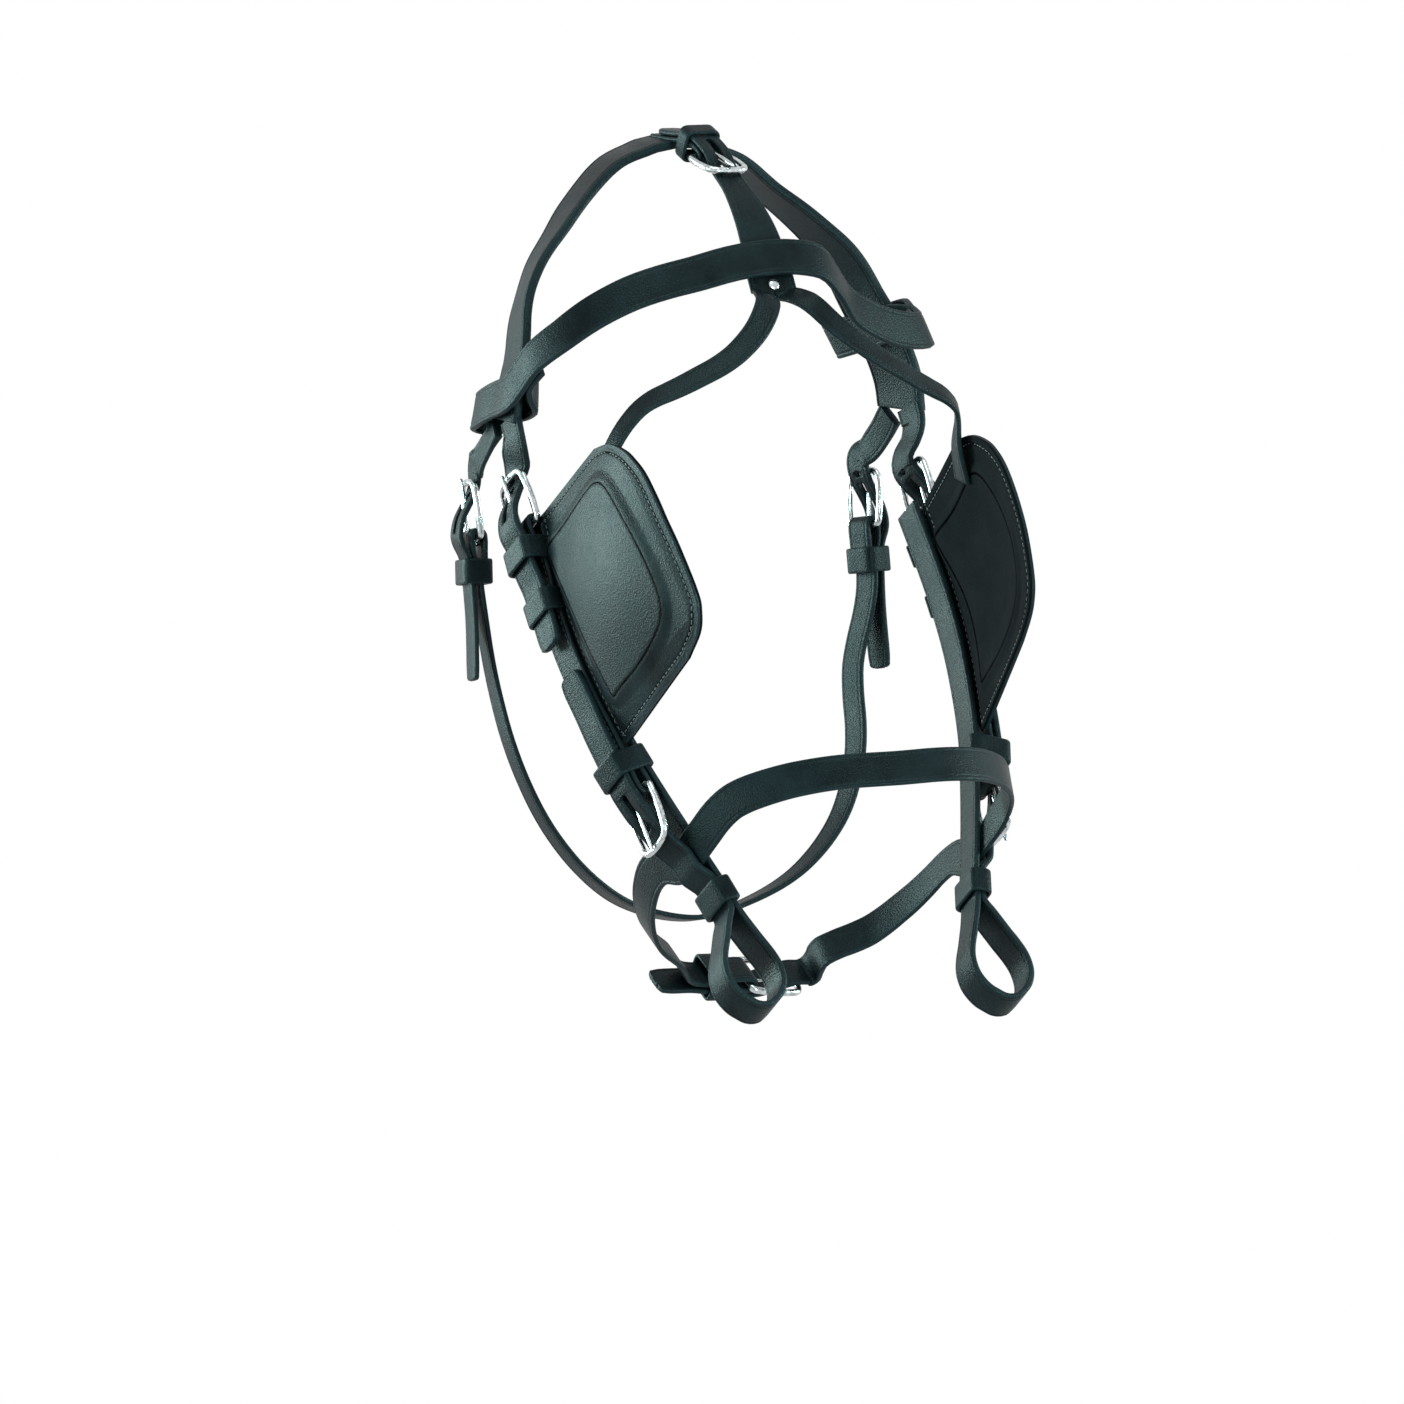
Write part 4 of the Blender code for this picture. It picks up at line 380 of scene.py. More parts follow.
def frame_line(seat, bar, strap_width, length, rise):
    """Centres of a buckle frame's wire, all round from the bar, and the direction square to it."""
    tilt = math.atan2(rise, length)
    frame_seat = Seat(seat.at(0, bar), seat.along * math.cos(tilt) + seat.out * math.sin(tilt),
                      seat.out * math.cos(tilt) - seat.along * math.sin(tilt))
    reach = math.hypot(length, rise)
    half = strap_width / 2 + BUCKLE_SIDE_GAP + WIRE_RADIUS
    heel = BUCKLE_SIDE_GAP + WIRE_RADIUS
    corners = ((heel, half - heel, heel, -90), (reach - NOSE_CORNER, half - NOSE_CORNER, NOSE_CORNER, 0))
    outline = []
    for along, across, radius, first in corners:
        for step in range(CORNER_STEPS + 1):
            angle = math.radians(first + 90 * step / CORNER_STEPS)
            outline.append((along + radius * math.sin(angle), across + radius * math.cos(angle)))
    outline += [(along, -across) for along, across in reversed(outline)]
    return np.array([frame_seat.at(along, 0, across) for along, across in outline]), frame_seat.out


def tongue_slope(length, rise):
    """Angle of the tongue from its curl on the bar to its rest on the nose of the frame."""
    curl = WIRE_RADIUS + FIT_GAP + TONGUE_RADIUS
    height = rise + curl
    return math.atan2(height, length) - math.asin(curl / math.hypot(length, height))


def tongue_line(seat, bar, length, rise):
    """Centres of a tongue: curled round the bar, then straight to the nose and just past it."""
    curl = WIRE_RADIUS + FIT_GAP + TONGUE_RADIUS
    slope = tongue_slope(length, rise)
    first = slope + math.pi / 2
    pairs = []
    for step in range(CURL_STEPS):
        angle = first + CURL_TURN * (1 - step / CURL_STEPS)
        pairs.append((curl * math.cos(angle), bar + curl * math.sin(angle)))
    root = (curl * math.cos(first), bar + curl * math.sin(first))
    reach = math.hypot(length, rise + curl) + TONGUE_OVERHANG
    for share in TONGUE_SHARES:
        pairs.append((root[0] + reach * share * math.cos(slope), root[1] + reach * share * math.sin(slope)))
    return seat.line(pairs)


def climb_line(bar, leather, billet, length, rise, bulge=0.0):
    """(along, out) pairs of a billet from under the nose of a frame to over its bar."""
    low = bar + rise - WIRE_RADIUS - FIT_GAP - billet / 2 - FIT_GAP
    high = bar + fold_radius(leather) + leather / 2 + FIT_GAP + billet / 2 + FIT_GAP + bulge
    return [(length * along, mix(low, high, climb)) for along, climb in BILLET_CLIMB_SHARES]


def keeper_line(seat, strap_width, low, high, ends=None):
    """Centres of a band round a stack of straps, or of one whose two ends stop beside it."""
    half = strap_width / 2 + FIT_GAP + KEEPER_LEATHER / 2
    bottom = low - KEEPER_LEATHER / 2
    top = high + KEEPER_LEATHER / 2
    radius = KEEPER_LEATHER / 2 + FIT_GAP
    corners = ((half - radius, top - radius, 0), (-half + radius, top - radius, 90),
               (-half + radius, bottom + radius, 180), (half - radius, bottom + radius, 270))
    outline = []
    for across, height, first in corners[:2] if ends else corners:
        for step in range(CORNER_STEPS // 2 + 1):
            angle = math.radians(first + 180 * step / CORNER_STEPS)
            outline.append((across + radius * math.cos(angle), height + radius * math.sin(angle)))
    if ends:
        outline = [(half, ends[0])] + outline + [(-half, ends[1])]
    return np.array([seat.at(0, height, across) for across, height in outline])


def keepers(label, side):
    """(name, seat, strap width, low, high, width, ends) of the keepers and the runner on one side."""
    seam = FLANGE_MIDDLE + FIT_GAP / 2 + WINKER_OUTER + FIT_GAP * 3
    ends = (seam, FIT_GAP)
    high = upper_climb()[-1][1]
    rest = ON_FACING + LEATHER / 2 + BILLET_SPRING
    upper_top = mix(rest, high, UPPER_KEEPER_SHARE) + LEATHER / 2 + FIT_GAP
    middle_top = rest + LEATHER / 2 + FIT_GAP * 2
    lower_rest = mix(ON_FACING + LEATHER / 2, lower_climb()[-1][1], LOWER_KEEPER_SHARE)
    lower_top = lower_rest + LEATHER / 2 + FIT_GAP * 2
    runner_top = LEATHER * 2 + FIT_GAP + RUNNER_CLEARANCE
    throat = throat_seat(side)
    throat_rest = billet_rest(THROAT_LEATHER, THROAT_KEEPER_DROP, THROAT_TIP_DROP)[0][1]
    throat_top = throat_rest + THROAT_LEATHER / 2 + FIT_GAP
    return (
        ("upper_keeper_" + label, cheek_seat(side, UPPER_KEEPER_DROP, side), STRAP_WIDTH, 0, upper_top,
         KEEPER_WIDTH, ends),
        ("middle_keeper_" + label, cheek_seat(side, MIDDLE_KEEPER_DROP, side), STRAP_WIDTH, 0, middle_top,
         KEEPER_WIDTH, ends),
        ("lower_keeper_" + label, cheek_seat(side, LOWER_KEEPER), STRAP_WIDTH, -FIT_GAP, lower_top,
         KEEPER_WIDTH, None),
        ("bit_runner_" + label, cheek_seat(side, RUNNER_PLACE), STRAP_WIDTH + RUNNER_CLEARANCE,
         -RUNNER_CLEARANCE, runner_top, RUNNER_WIDTH, None),
        ("throat_keeper_" + label, Seat(throat.at(-THROAT_KEEPER_DROP, 0), throat.along, throat.out),
         THROAT_WIDTH, -FIT_GAP, throat_top, KEEPER_WIDTH, None),
    )


def middle_keepers():
    """The keepers of the stay buckle and the noseband buckle, as keepers gives them."""
    stay = stay_seat()
    stay_top = stay_climb()[-1][1] + STAY_LEATHER / 2 + FIT_GAP
    nose = noseband_seat()
    nose_rest = billet_rest(THROAT_LEATHER, NOSE_KEEPER_BACK, NOSE_TIP_BACK)[0][1]
    nose_top = nose_rest + THROAT_LEATHER / 2 + FIT_GAP
    return (
        ("stay_keeper", Seat(stay.at(-STAY_KEEPER_BACK, 0), stay.along, stay.out), STAY_BILLET_WIDTH,
         -FIT_GAP, stay_top, STAY_KEEPER_WIDTH, None),
        ("noseband_keeper", Seat(nose.at(-NOSE_KEEPER_BACK, 0), nose.along, nose.out), STRAP_WIDTH,
         -FIT_GAP, nose_top, KEEPER_WIDTH, None),
    )


def buckles(label, side):
    """(name, seat, bar, strap width, length, rise) of the buckles on one side."""
    return (
        ("cheek_buckle_" + label, cheek_seat(side, 0, -1), CHEEK_BAR, STRAP_WIDTH, BUCKLE_LENGTH, UPPER_NOSE_RISE),
        ("bit_buckle_" + label, cheek_seat(side, LOWER_BAR), CHEEK_BAR, STRAP_WIDTH, BUCKLE_LENGTH, LOWER_NOSE_RISE),
        ("throat_buckle_" + label, throat_seat(side), THROAT_BAR, THROAT_WIDTH, THROAT_BUCKLE_LENGTH,
         THROAT_NOSE_RISE),
    )


def middle_buckles():
    """The buckles of the stay and the noseband, as buckles gives them."""
    return (
        ("stay_buckle", stay_seat(), STAY_BAR, STAY_BILLET_WIDTH, STAY_BUCKLE_LENGTH, THROAT_NOSE_RISE),
        ("noseband_buckle", noseband_seat(), THROAT_BAR, STRAP_WIDTH, BUCKLE_LENGTH, THROAT_NOSE_RISE),
    )


def cheek_line():
    """Dense (along, half width) points of the inside of the cheek strap."""
    points = [(along * CHEEK_RUN, half * CHEEK_HALF_WIDTH) for along, half in CHEEK_LINE_SHARES]
    return smooth_curve(points, 8)


CHEEK_LINE = cheek_line()


def cheek_place(side, along, half, across):
    """A point from its distance down the cheek, its half width and its place across the strap."""
    return np.array((CHEEK_TOP_FORWARD + along * math.sin(CHEEK_LEAN) + across * math.cos(CHEEK_LEAN),
                     side * half,
                     -CHEEK_TOP_DROP - along * math.cos(CHEEK_LEAN) + across * math.sin(CHEEK_LEAN)))


def cheek_slope(along):
    """How fast the cheek line widens at a place along it."""
    slopes = np.gradient(CHEEK_LINE[:, 1], CHEEK_LINE[:, 0])
    return np.interp(along, CHEEK_LINE[:, 0], slopes)


def cheek_point(side, along, out, across=0.0):
    """A point that stands out from the cheek line, square to it."""
    slope = cheek_slope(along)
    half = np.interp(along, CHEEK_LINE[:, 0], CHEEK_LINE[:, 1])
    length = math.hypot(1, slope)
    return cheek_place(side, along - slope * out / length, half + out / length, across)


def cheek_seat(side, along, toward=1):
    """A seat on the cheek line, looking down it or, with toward -1, up it."""
    origin = cheek_point(side, along, 0)
    out = cheek_point(side, along, STRAP_WIDTH) - origin
    ahead = np.cross(out, (math.cos(CHEEK_LEAN), 0, math.sin(CHEEK_LEAN)))
    if ahead[2] * toward > 0:
        ahead = -ahead
    return Seat(origin, ahead, out)


def cheek_run(side, pairs):
    """Points of a list of (along, out) pairs on the cheek line."""
    return np.array([cheek_point(side, along, out) for along, out in pairs])


CHEEK_ACROSS = (math.cos(CHEEK_LEAN), 0, math.sin(CHEEK_LEAN))

# Places and heights that follow from the sizes above
STRAP_EDGE = STRAP_WIDTH / 2 + FIT_GAP
FLANGE_MIDDLE = LEATHER + FLANGE_CLEARANCE + WINKER_LINING + FIT_GAP / 2
FACING_MIDDLE = FLANGE_MIDDLE + FIT_GAP / 2 + WINKER_OUTER + FLANGE_CLEARANCE + FACING_LEATHER / 2
FOLD_REST = LEATHER + FIT_GAP * 3 + FACING_LEATHER / 2
CHEEK_BAR = bar_height(LEATHER + FIT_GAP, FACING_LEATHER, BAR_LIFT)
FACING_OVER_BAR = CHEEK_BAR + fold_radius(FACING_LEATHER)
ON_FACING = FACING_MIDDLE + FACING_LEATHER / 2 + FIT_GAP
WINKER_TOP = -WINKER_LEAD
WINKER_BOTTOM = WINKER_TOP + WINKER_HEIGHT
FLANGE_TOP = FOLD_LENGTH + FLANGE_DEPTH
FLANGE_BOTTOM = WINKER_BOTTOM - FLANGE_DEPTH
LOWER_KEEPER = WINKER_BOTTOM + LOWER_KEEPER_GAP + KEEPER_WIDTH / 2
LOWER_BAR = LOWER_KEEPER + KEEPER_WIDTH / 2 + LOWER_BAR_GAP
LOWER_NOSE = LOWER_BAR + BUCKLE_LENGTH
NOSEBAND_PLACE = LOWER_NOSE + STRAP_WIDTH / 2 - NOSEBAND_TUCK
RUNNER_PLACE = NOSEBAND_PLACE + STRAP_WIDTH / 2 + RUNNER_GAP + RUNNER_WIDTH / 2
LOOP_START = RUNNER_PLACE + RUNNER_WIDTH / 2 + LOOP_LEAD
NOSEBAND_OUT = LEATHER + FIT_GAP + LEATHER / 2


def facing_line(side):
    """Centres of the cheek's outer layer, from its upper fold to its lower fold."""
    upper = cheek_seat(side, 0, -1)
    lower = cheek_seat(side, LOWER_BAR)
    start = fold_line(upper, CHEEK_BAR, FACING_LEATHER, FOLD_REST)
    end = fold_line(lower, CHEEK_BAR, FACING_LEATHER, FOLD_REST)[::-1]
    level = FACING_MIDDLE
    run = cheek_run(side, (
        (0, FACING_OVER_BAR), (FOLD_LENGTH / 2, mix(level, FACING_OVER_BAR, FACING_UPPER_SHARES[0])),
        (FOLD_LENGTH, mix(level, FACING_OVER_BAR, FACING_UPPER_SHARES[1])), (FLANGE_TOP + FLANGE_DEPTH, level),
        *((along, level) for along in np.linspace(FLANGE_TOP, FLANGE_BOTTOM, FACING_ROWS)[1:]),
        (LOWER_BAR - FOLD_LENGTH, mix(level, FACING_OVER_BAR, FACING_LOWER_SHARES[1])),
        (LOWER_BAR - FOLD_LENGTH / 2, mix(level, FACING_OVER_BAR, FACING_LOWER_SHARES[0])),
        (LOWER_BAR, FACING_OVER_BAR)))
    return np.vstack((start[:-1], smooth_curve(run, 2), end[1:]))


def bit_loop_seat(side):
    """The seat of the bit loop, square to the strap's edge and level with its half width."""
    half = np.interp(LOOP_START, CHEEK_LINE[:, 0], CHEEK_LINE[:, 1])
    down = cheek_place(side, 1, 0, 0) - cheek_place(side, 0, 0, 0)
    return Seat(cheek_place(side, LOOP_START, half, 0), down, (0, side, 0))


def bit_loop_halves(side):
    """Centres down the inner arm and up the outer arm of the bit loop, with a flat bottom."""
    seat = bit_loop_seat(side)
    middle = LEATHER + FIT_GAP / 2
    inner = [seat.at(along * BIT_LOOP_LENGTH, middle - out * BIT_LOOP_WIDTH) for along, out in BIT_LOOP_SHARES]
    outer = [seat.at(along * BIT_LOOP_LENGTH, middle + out * BIT_LOOP_WIDTH)
             for along, out in reversed(BIT_LOOP_SHARES)]
    return inner, outer


def lower_climb():
    """The billet's rise through the lower buckle, as pairs in that buckle's seat."""
    return climb_line(CHEEK_BAR, FACING_LEATHER, LEATHER, BUCKLE_LENGTH, LOWER_NOSE_RISE)


def cheek_strap_line(side):
    """Centres of the long inner strap: down the cheek, round the bit and back up to the tip."""
    inner, outer = bit_loop_halves(side)
    flat = LEATHER / 2
    down = [cheek_point(side, along, flat) for along in
            np.linspace(-STRAP_TOP_LAP, LOOP_START, CHEEK_ROWS)]
    returned = LEATHER + FIT_GAP + LEATHER / 2
    over_band = NOSEBAND_OUT + LEATHER / 2 + FIT_GAP * 2 + LEATHER / 2
    rest = ON_FACING + LEATHER / 2
    seat = cheek_seat(side, LOWER_BAR)
    band_low = NOSEBAND_PLACE + STRAP_WIDTH / 2
    up = [cheek_point(side, along, out) for along, out in (
        (LOOP_START, returned), (RUNNER_PLACE, returned), (band_low + RUNNER_GAP * RUNNER_EASE_SHARE, returned),
        (band_low, mix(returned, over_band, BAND_LIFT_SHARE)), (NOSEBAND_PLACE, over_band + FIT_GAP))]
    climb = lower_climb()
    up += [seat.at(*pair) for pair in climb]
    high = climb[-1][1]
    up += [cheek_point(side, along, out) for along, out in (
        (LOWER_BAR - LOWER_BAR_GAP * BUCKLE_LEAD_SHARE, high),
        (LOWER_KEEPER, mix(rest, high, UNDER_LOWER_KEEPER_SHARE)),
        (WINKER_BOTTOM - KEEPER_WIDTH, rest + FIT_GAP * 2), (LOWER_BAR - LOWER_TIP_RISE * TIP_REST_SHARE, rest),
        (LOWER_BAR - LOWER_TIP_RISE + TIP_LENGTH, rest))]
    first = smooth_curve(down + inner, 2)
    second = with_tip(smooth_curve(outer + up, 2))
    return np.vstack((first, second))


def winker_out(side, along, across):
    """How far the middle of a winker stands out from the cheek line at a place on it."""
    flare = WINKER_FLARE_RIGHT_SHARE if side < 0 else WINKER_FLARE_LEFT_SHARE
    forward = (across - STRAP_EDGE) / WINKER_WIDTH
    down = (along - WINKER_TOP) / WINKER_HEIGHT
    dish = np.sin(math.pi * np.clip(forward, 0, 1)) * np.sin(math.pi * np.clip(down, 0, 1))
    return FLANGE_MIDDLE + flare * np.maximum(across - STRAP_EDGE, 0) + WINKER_DISH * dish


def winker_grid(first, last):
    """(along, across) of the winker's grid: rows run forward from the seam to the front edge."""
    rows = []
    for seam, (forward, down) in list(zip(WINKER_SEAM_SHARES, WINKER_FRONT_SHARES))[first:last]:
        along = WINKER_TOP + WINKER_HEIGHT * seam
        tucked = FLANGE_TOP <= along <= FLANGE_BOTTOM and first == 0
        root = STRAP_EDGE - FLANGE_DEPTH if tucked else STRAP_EDGE
        reach = STRAP_EDGE + WINKER_WIDTH * forward
        end = WINKER_TOP + WINKER_HEIGHT * down
        rows.append([(mix(along, end, share), mix(root, reach, share))
                     for share in WINKER_ROW_SHARES[first:last]])
    return rows


def upper_climb():
    """The crown billet's rise through the upper cheek buckle, as pairs in that buckle's seat."""
    return climb_line(CHEEK_BAR, FACING_LEATHER, LEATHER, BUCKLE_LENGTH, UPPER_NOSE_RISE, UPPER_BULGE)


def crown_trunk():
    """Centres of the crownpiece from the left fork over the poll to the right fork."""
    middle = CROWN_LEATHER / 2
    right = [(CROWN_FORWARD * forward, -CROWN_HALF_WIDTH * half, middle - CROWN_DROP * drop)
             for forward, half, drop in CROWN_PATH_SHARES]
    flat = (0, -CROWN_SEAT_LENGTH / 2, middle)
    half_line = smooth_curve([flat] + right)
    return np.vstack((mirrored(half_line[::-1], -1), half_line))


def crown_across(centres):
    """Forward direction over the crown's width: it leans and turns on the way down each side."""
    share = np.abs(centres[:, 1]) / CROWN_HALF_WIDTH
    drop = np.clip(-centres[:, 2] / CROWN_DROP, 0, 1)
    turn_shares = np.array(CROWN_TURN_SHARES)
    turn = CROWN_TURN * np.interp(drop, turn_shares[:, 0], turn_shares[:, 1])
    level = CROWN_SEAT_LENGTH / 2 / CROWN_HALF_WIDTH
    lean = CROWN_END_LEAN_SHARE * np.clip((share - level) / (1 - level), 0, 1)
    return unit(np.column_stack((np.ones(len(centres)), np.sign(centres[:, 1]) * np.tan(turn), lean)))


def crown_widths(centres):
    """The crown is widest where it forks into the two billets."""
    share = np.abs(centres[:, 1]) / CROWN_HALF_WIDTH
    return CROWN_WIDTH + (STRAP_WIDTH + THROAT_WIDTH - CROWN_WIDTH) * share ** 4


def fork_point():
    """Centre of the right fork and the direction across it."""
    end = crown_trunk()[-1]
    return end, crown_across(end[None])[0]


def cheek_billet_line():
    """Centres and across directions of the right cheek billet, from the fork to its tip."""
    fork, across = fork_point()
    start = fork + across * (THROAT_WIDTH / 2)
    midway = start + (BILLET_MIDWAY_FORWARD, 0, -BILLET_MIDWAY_DROP)
    seat = cheek_seat(-1, 0, -1)
    climb = upper_climb()
    rest = ON_FACING + LEATHER / 2 + BILLET_SPRING
    high = climb[-1][1]
    points = [start, midway] + [seat.at(*pair) for pair in climb]
    points += [cheek_point(-1, along, out) for along, out in (
        (UPPER_KEEPER_DROP - KEEPER_WIDTH / 2, mix(rest, high, UPPER_REST_SHARES[0])),
        (UPPER_KEEPER_DROP + KEEPER_WIDTH / 2, mix(rest, high, UPPER_REST_SHARES[1])),
        (mix(UPPER_KEEPER_DROP, MIDDLE_KEEPER_DROP, UPPER_REST_PLACE_SHARE),
         mix(rest, high, UPPER_REST_SHARES[2])),
        (MIDDLE_KEEPER_DROP - KEEPER_WIDTH / 2, rest + FIT_GAP),
        (MIDDLE_KEEPER_DROP + KEEPER_WIDTH / 2, rest + FIT_GAP),
        (UPPER_TIP_DROP - TIP_LENGTH, rest + FIT_GAP * 2))]
    centres = with_tip(smooth_curve(points))
    turn = np.clip(np.arange(len(centres)) / (2 * CURVE_STEPS), 0, 1)[:, None]
    return centres, unit(across + (np.array(CHEEK_ACROSS) - across) * turn)


def throat_seat(side):
    """Seat of a throat buckle: its nose end points up the billet, its strap runs down."""
    up = np.array((-math.sin(THROAT_LEAN), side * math.sin(THROAT_TUCK), math.cos(THROAT_LEAN)))
    out = (-math.sin(THROAT_TURN), side * math.cos(THROAT_TURN), 0)
    return Seat((THROAT_BAR_FORWARD, side * THROAT_BAR_HALF_WIDTH, -THROAT_BAR_DROP), up, out)


THROAT_BAR = bar_height(0.0, THROAT_LEATHER)
THROAT_OVER_BAR = THROAT_BAR + fold_radius(THROAT_LEATHER)


def throat_climb():
    """The throat billet's rise through its buckle."""
    return climb_line(THROAT_BAR, THROAT_LEATHER, THROAT_LEATHER, THROAT_BUCKLE_LENGTH, THROAT_NOSE_RISE,
                      THROAT_LEATHER)


def folded_run(leather, over_bar):
    """(along, out) pairs of a strap from over the bar down to where it lies flat."""
    flat = leather + FIT_GAP + leather / 2
    eased = [(-FOLD_LENGTH * along, mix(flat, over_bar, lift)) for along, lift in FOLDED_RUN_SHARES]
    return [(0, over_bar)] + eased + [(-FOLD_LENGTH * FOLDED_END_SHARES[0], flat * FOLDED_END_SHARES[1])]


def billet_rest(leather, keeper, tip):
    """(along, out) pairs of a billet lying on its own strap, past the keeper to the tip."""
    flat = leather + FIT_GAP + leather / 2
    lying = flat + leather + FIT_GAP
    under = [(-keeper + KEEPER_WIDTH * along, lying + leather * lift) for along, lift in KEEPER_PASS_SHARES]
    return under + [(mix(-keeper, -tip, BILLET_LIES_SHARE), lying), (-tip + TIP_LENGTH, lying)]


def throat_billet_line():
    """Centres and across directions of the right throat billet, from the fork to its tip."""
    fork, across = fork_point()
    start = fork - across * (STRAP_WIDTH / 2)
    seat = throat_seat(-1)
    climb = throat_climb()
    climb = [(climb[0][0] + NOSE_LEAD, climb[0][1])] + climb
    nose = seat.at(*climb[0])
    points = [start]
    for forward, drop in THROAT_BILLET_MIDWAY_SHARES:
        points.append((mix(nose[0], start[0], forward), mix(start[1], nose[1], drop) - THROAT_LEATHER / 2,
                       mix(start[2], nose[2], drop)))
    points += [seat.at(*pair) for pair in climb]
    points += [seat.at(*pair) for pair in billet_rest(THROAT_LEATHER, THROAT_KEEPER_DROP, THROAT_TIP_DROP)]
    centres = with_tip(smooth_curve(points))
    turn = np.clip(np.arange(len(centres)) / (3 * CURVE_STEPS), 0, 1)[:, None]
    forward = seat.across if seat.across[0] > 0 else -seat.across
    return centres, unit(across + (forward - across) * turn)


def band_seat(side):
    """Seat of a browband loop: on the crown above its fork, looking forward."""
    trunk = crown_trunk()
    trunk = trunk[trunk[:, 1] * side > 0]
    rise = BAND_RISE_RIGHT if side < 0 else BAND_RISE_LEFT
    above = trunk[:, 2] + CROWN_DROP - rise
    nearest = np.argmin(np.abs(above))
    leg = trunk[nearest + 1] - trunk[nearest - 1]
    leg = leg if leg[2] < 0 else -leg
    centre = trunk[nearest] - leg * (above[nearest] / leg[2])
    forward = crown_across(centre[None])[0]
    return Seat(centre, forward, np.cross(forward, leg) * side), unit(leg)


def browband_side(side):
    """Centres and across directions of an end of the browband, round the crown and back."""
    seat, leg = band_seat(side)
    bend = BAND_BEND_RIGHT if side < 0 else BAND_BEND_LEFT
    turn = BAND_TURN_RIGHT if side < 0 else BAND_TURN_LEFT
    half_room = CROWN_LEATHER / 2 + BAND_LOOP_CLEARANCE + LEATHER / 2
    half_crown = crown_widths(seat.origin[None])[0] / 2 + BAND_LOOP_CLEARANCE
    half_rear = half_crown - BAND_LOOP_CLEARANCE + BAND_REAR_CLEARANCE
    level = seat.along * math.cos(turn) - seat.out * math.sin(turn)
    ahead = level * math.cos(bend) - leg * math.sin(bend)
    normal = seat.out * math.cos(turn) + seat.along * math.sin(turn)
    outer = seat.at(half_crown, half_room) + ahead * BAND_LOOP_NECK
    inner = outer - normal * (LEATHER + FIT_GAP * 2)
    lap = ahead * BAND_LOOP_LAP
    rear = np.linspace(math.pi / 2, -math.pi / 2, FOLD_STEPS + 1)[1:-1]
    points = [outer + lap, outer, seat.at(half_crown, half_room), seat.at(0, half_room),
              seat.at(-half_rear, half_room)]
    points += [seat.at(-half_rear - half_room * math.cos(angle), half_room * math.sin(angle)) for angle in rear]
    points += [seat.at(-half_rear, -half_room), seat.at(0, -half_room), seat.at(half_crown, -half_room),
               inner, inner + lap]
    tilted = leg * math.cos(bend) + level * math.sin(bend)
    between = (tilted + leg) / 2
    across = [tilted, tilted, between] + [leg] * (len(points) - 6) + [between, tilted, tilted]
    return points, across


def browband_line():
    """Centres and across directions of the browband, from its left loop to its right loop."""
    ends = {}
    for side, shares in ((-1, BAND_RIGHT_SHARES), (1, BAND_LEFT_SHARES)):
        loop, loop_across = browband_side(side)
        root = loop[0]
        free = [(BAND_FORWARD * forward, root[1] * half, mix(-BAND_DROP, root[2], drop))
                for forward, half, drop in shares]
        level = np.array((BAND_LEAN_SHARE, 0, -math.sqrt(1 - BAND_LEAN_SHARE ** 2)))
        across = [mix(level, loop_across[0], share) for share in np.linspace(*BAND_TWIST_SHARES, len(free))]
        ends[side] = (free + loop, across + loop_across)
    middle = (BAND_FORWARD, 0, -BAND_DROP)
    points = ends[1][0][::-1] + [middle] + ends[-1][0]
    across = ends[1][1][::-1] + [level] + ends[-1][1]
    return smooth_curve(points, 2), spread(across, 2)


def stay_seat():
    """Seat of the stay buckle on the poll, its nose end pointing down the forehead."""
    along = (math.cos(STEM_LEAN), 0, -math.sin(STEM_LEAN))
    return Seat((STEM_BAR_FORWARD, 0, -STEM_BAR_DROP), along, (math.sin(STEM_LEAN), 0, math.cos(STEM_LEAN)))


STAY_BAR = bar_height(0.0, STAY_LEATHER)
STAY_OVER_BAR = STAY_BAR + fold_radius(STAY_LEATHER)


def stay_climb():
    """The stay billet's rise through its buckle."""
    return climb_line(STAY_BAR, STAY_LEATHER, STAY_LEATHER, STAY_BUCKLE_LENGTH, THROAT_NOSE_RISE)


def brow_normal():
    """Direction square to the forehead under the browband."""
    return np.array((math.sqrt(1 - BAND_LEAN_SHARE ** 2), 0, BAND_LEAN_SHARE))


def stem_line():
    """Centres of the stay's stem from its tip on the poll to its fork under the browband."""
    seat = stay_seat()
    climb = stay_climb()
    normal = brow_normal()
    down = np.array((BAND_LEAN_SHARE, 0, -math.sqrt(1 - BAND_LEAN_SHARE ** 2)))
    clear = LEATHER / 2 + STAY_UNDER_GAP + STAY_LEATHER / 2
    under = np.array((BAND_FORWARD, 0, -BAND_DROP)) - normal * clear
    rest = crown_top_rest() + STAY_LEATHER + FIT_GAP
    points = [(-STAY_TIP_BACK + STEM_BAR_FORWARD, 0, rest), (0, 0, rest),
              (CROWN_WIDTH / 2, 0, rest + FIT_GAP)]
    points += [seat.at(-STAY_KEEPER_BACK, climb[-1][1] - FIT_GAP)]
    points += [seat.at(*pair) for pair in reversed(climb)]
    nose = points[-1]
    points += [(mix(nose[0], under[0], forward), 0, mix(nose[2], under[2], drop))
               for forward, drop in STEM_SHARES]
    points += [under - down * STRAP_WIDTH / 2, under + down * STRAP_WIDTH / 2, under + down * STAY_FORK_DROP]
    return smooth_curve(points, 2), unit(down)


def crown_top_rest():
    """Height of the middle of the hanger where it lies on the crown."""
    return CROWN_LEATHER + FIT_GAP + STAY_LEATHER / 2


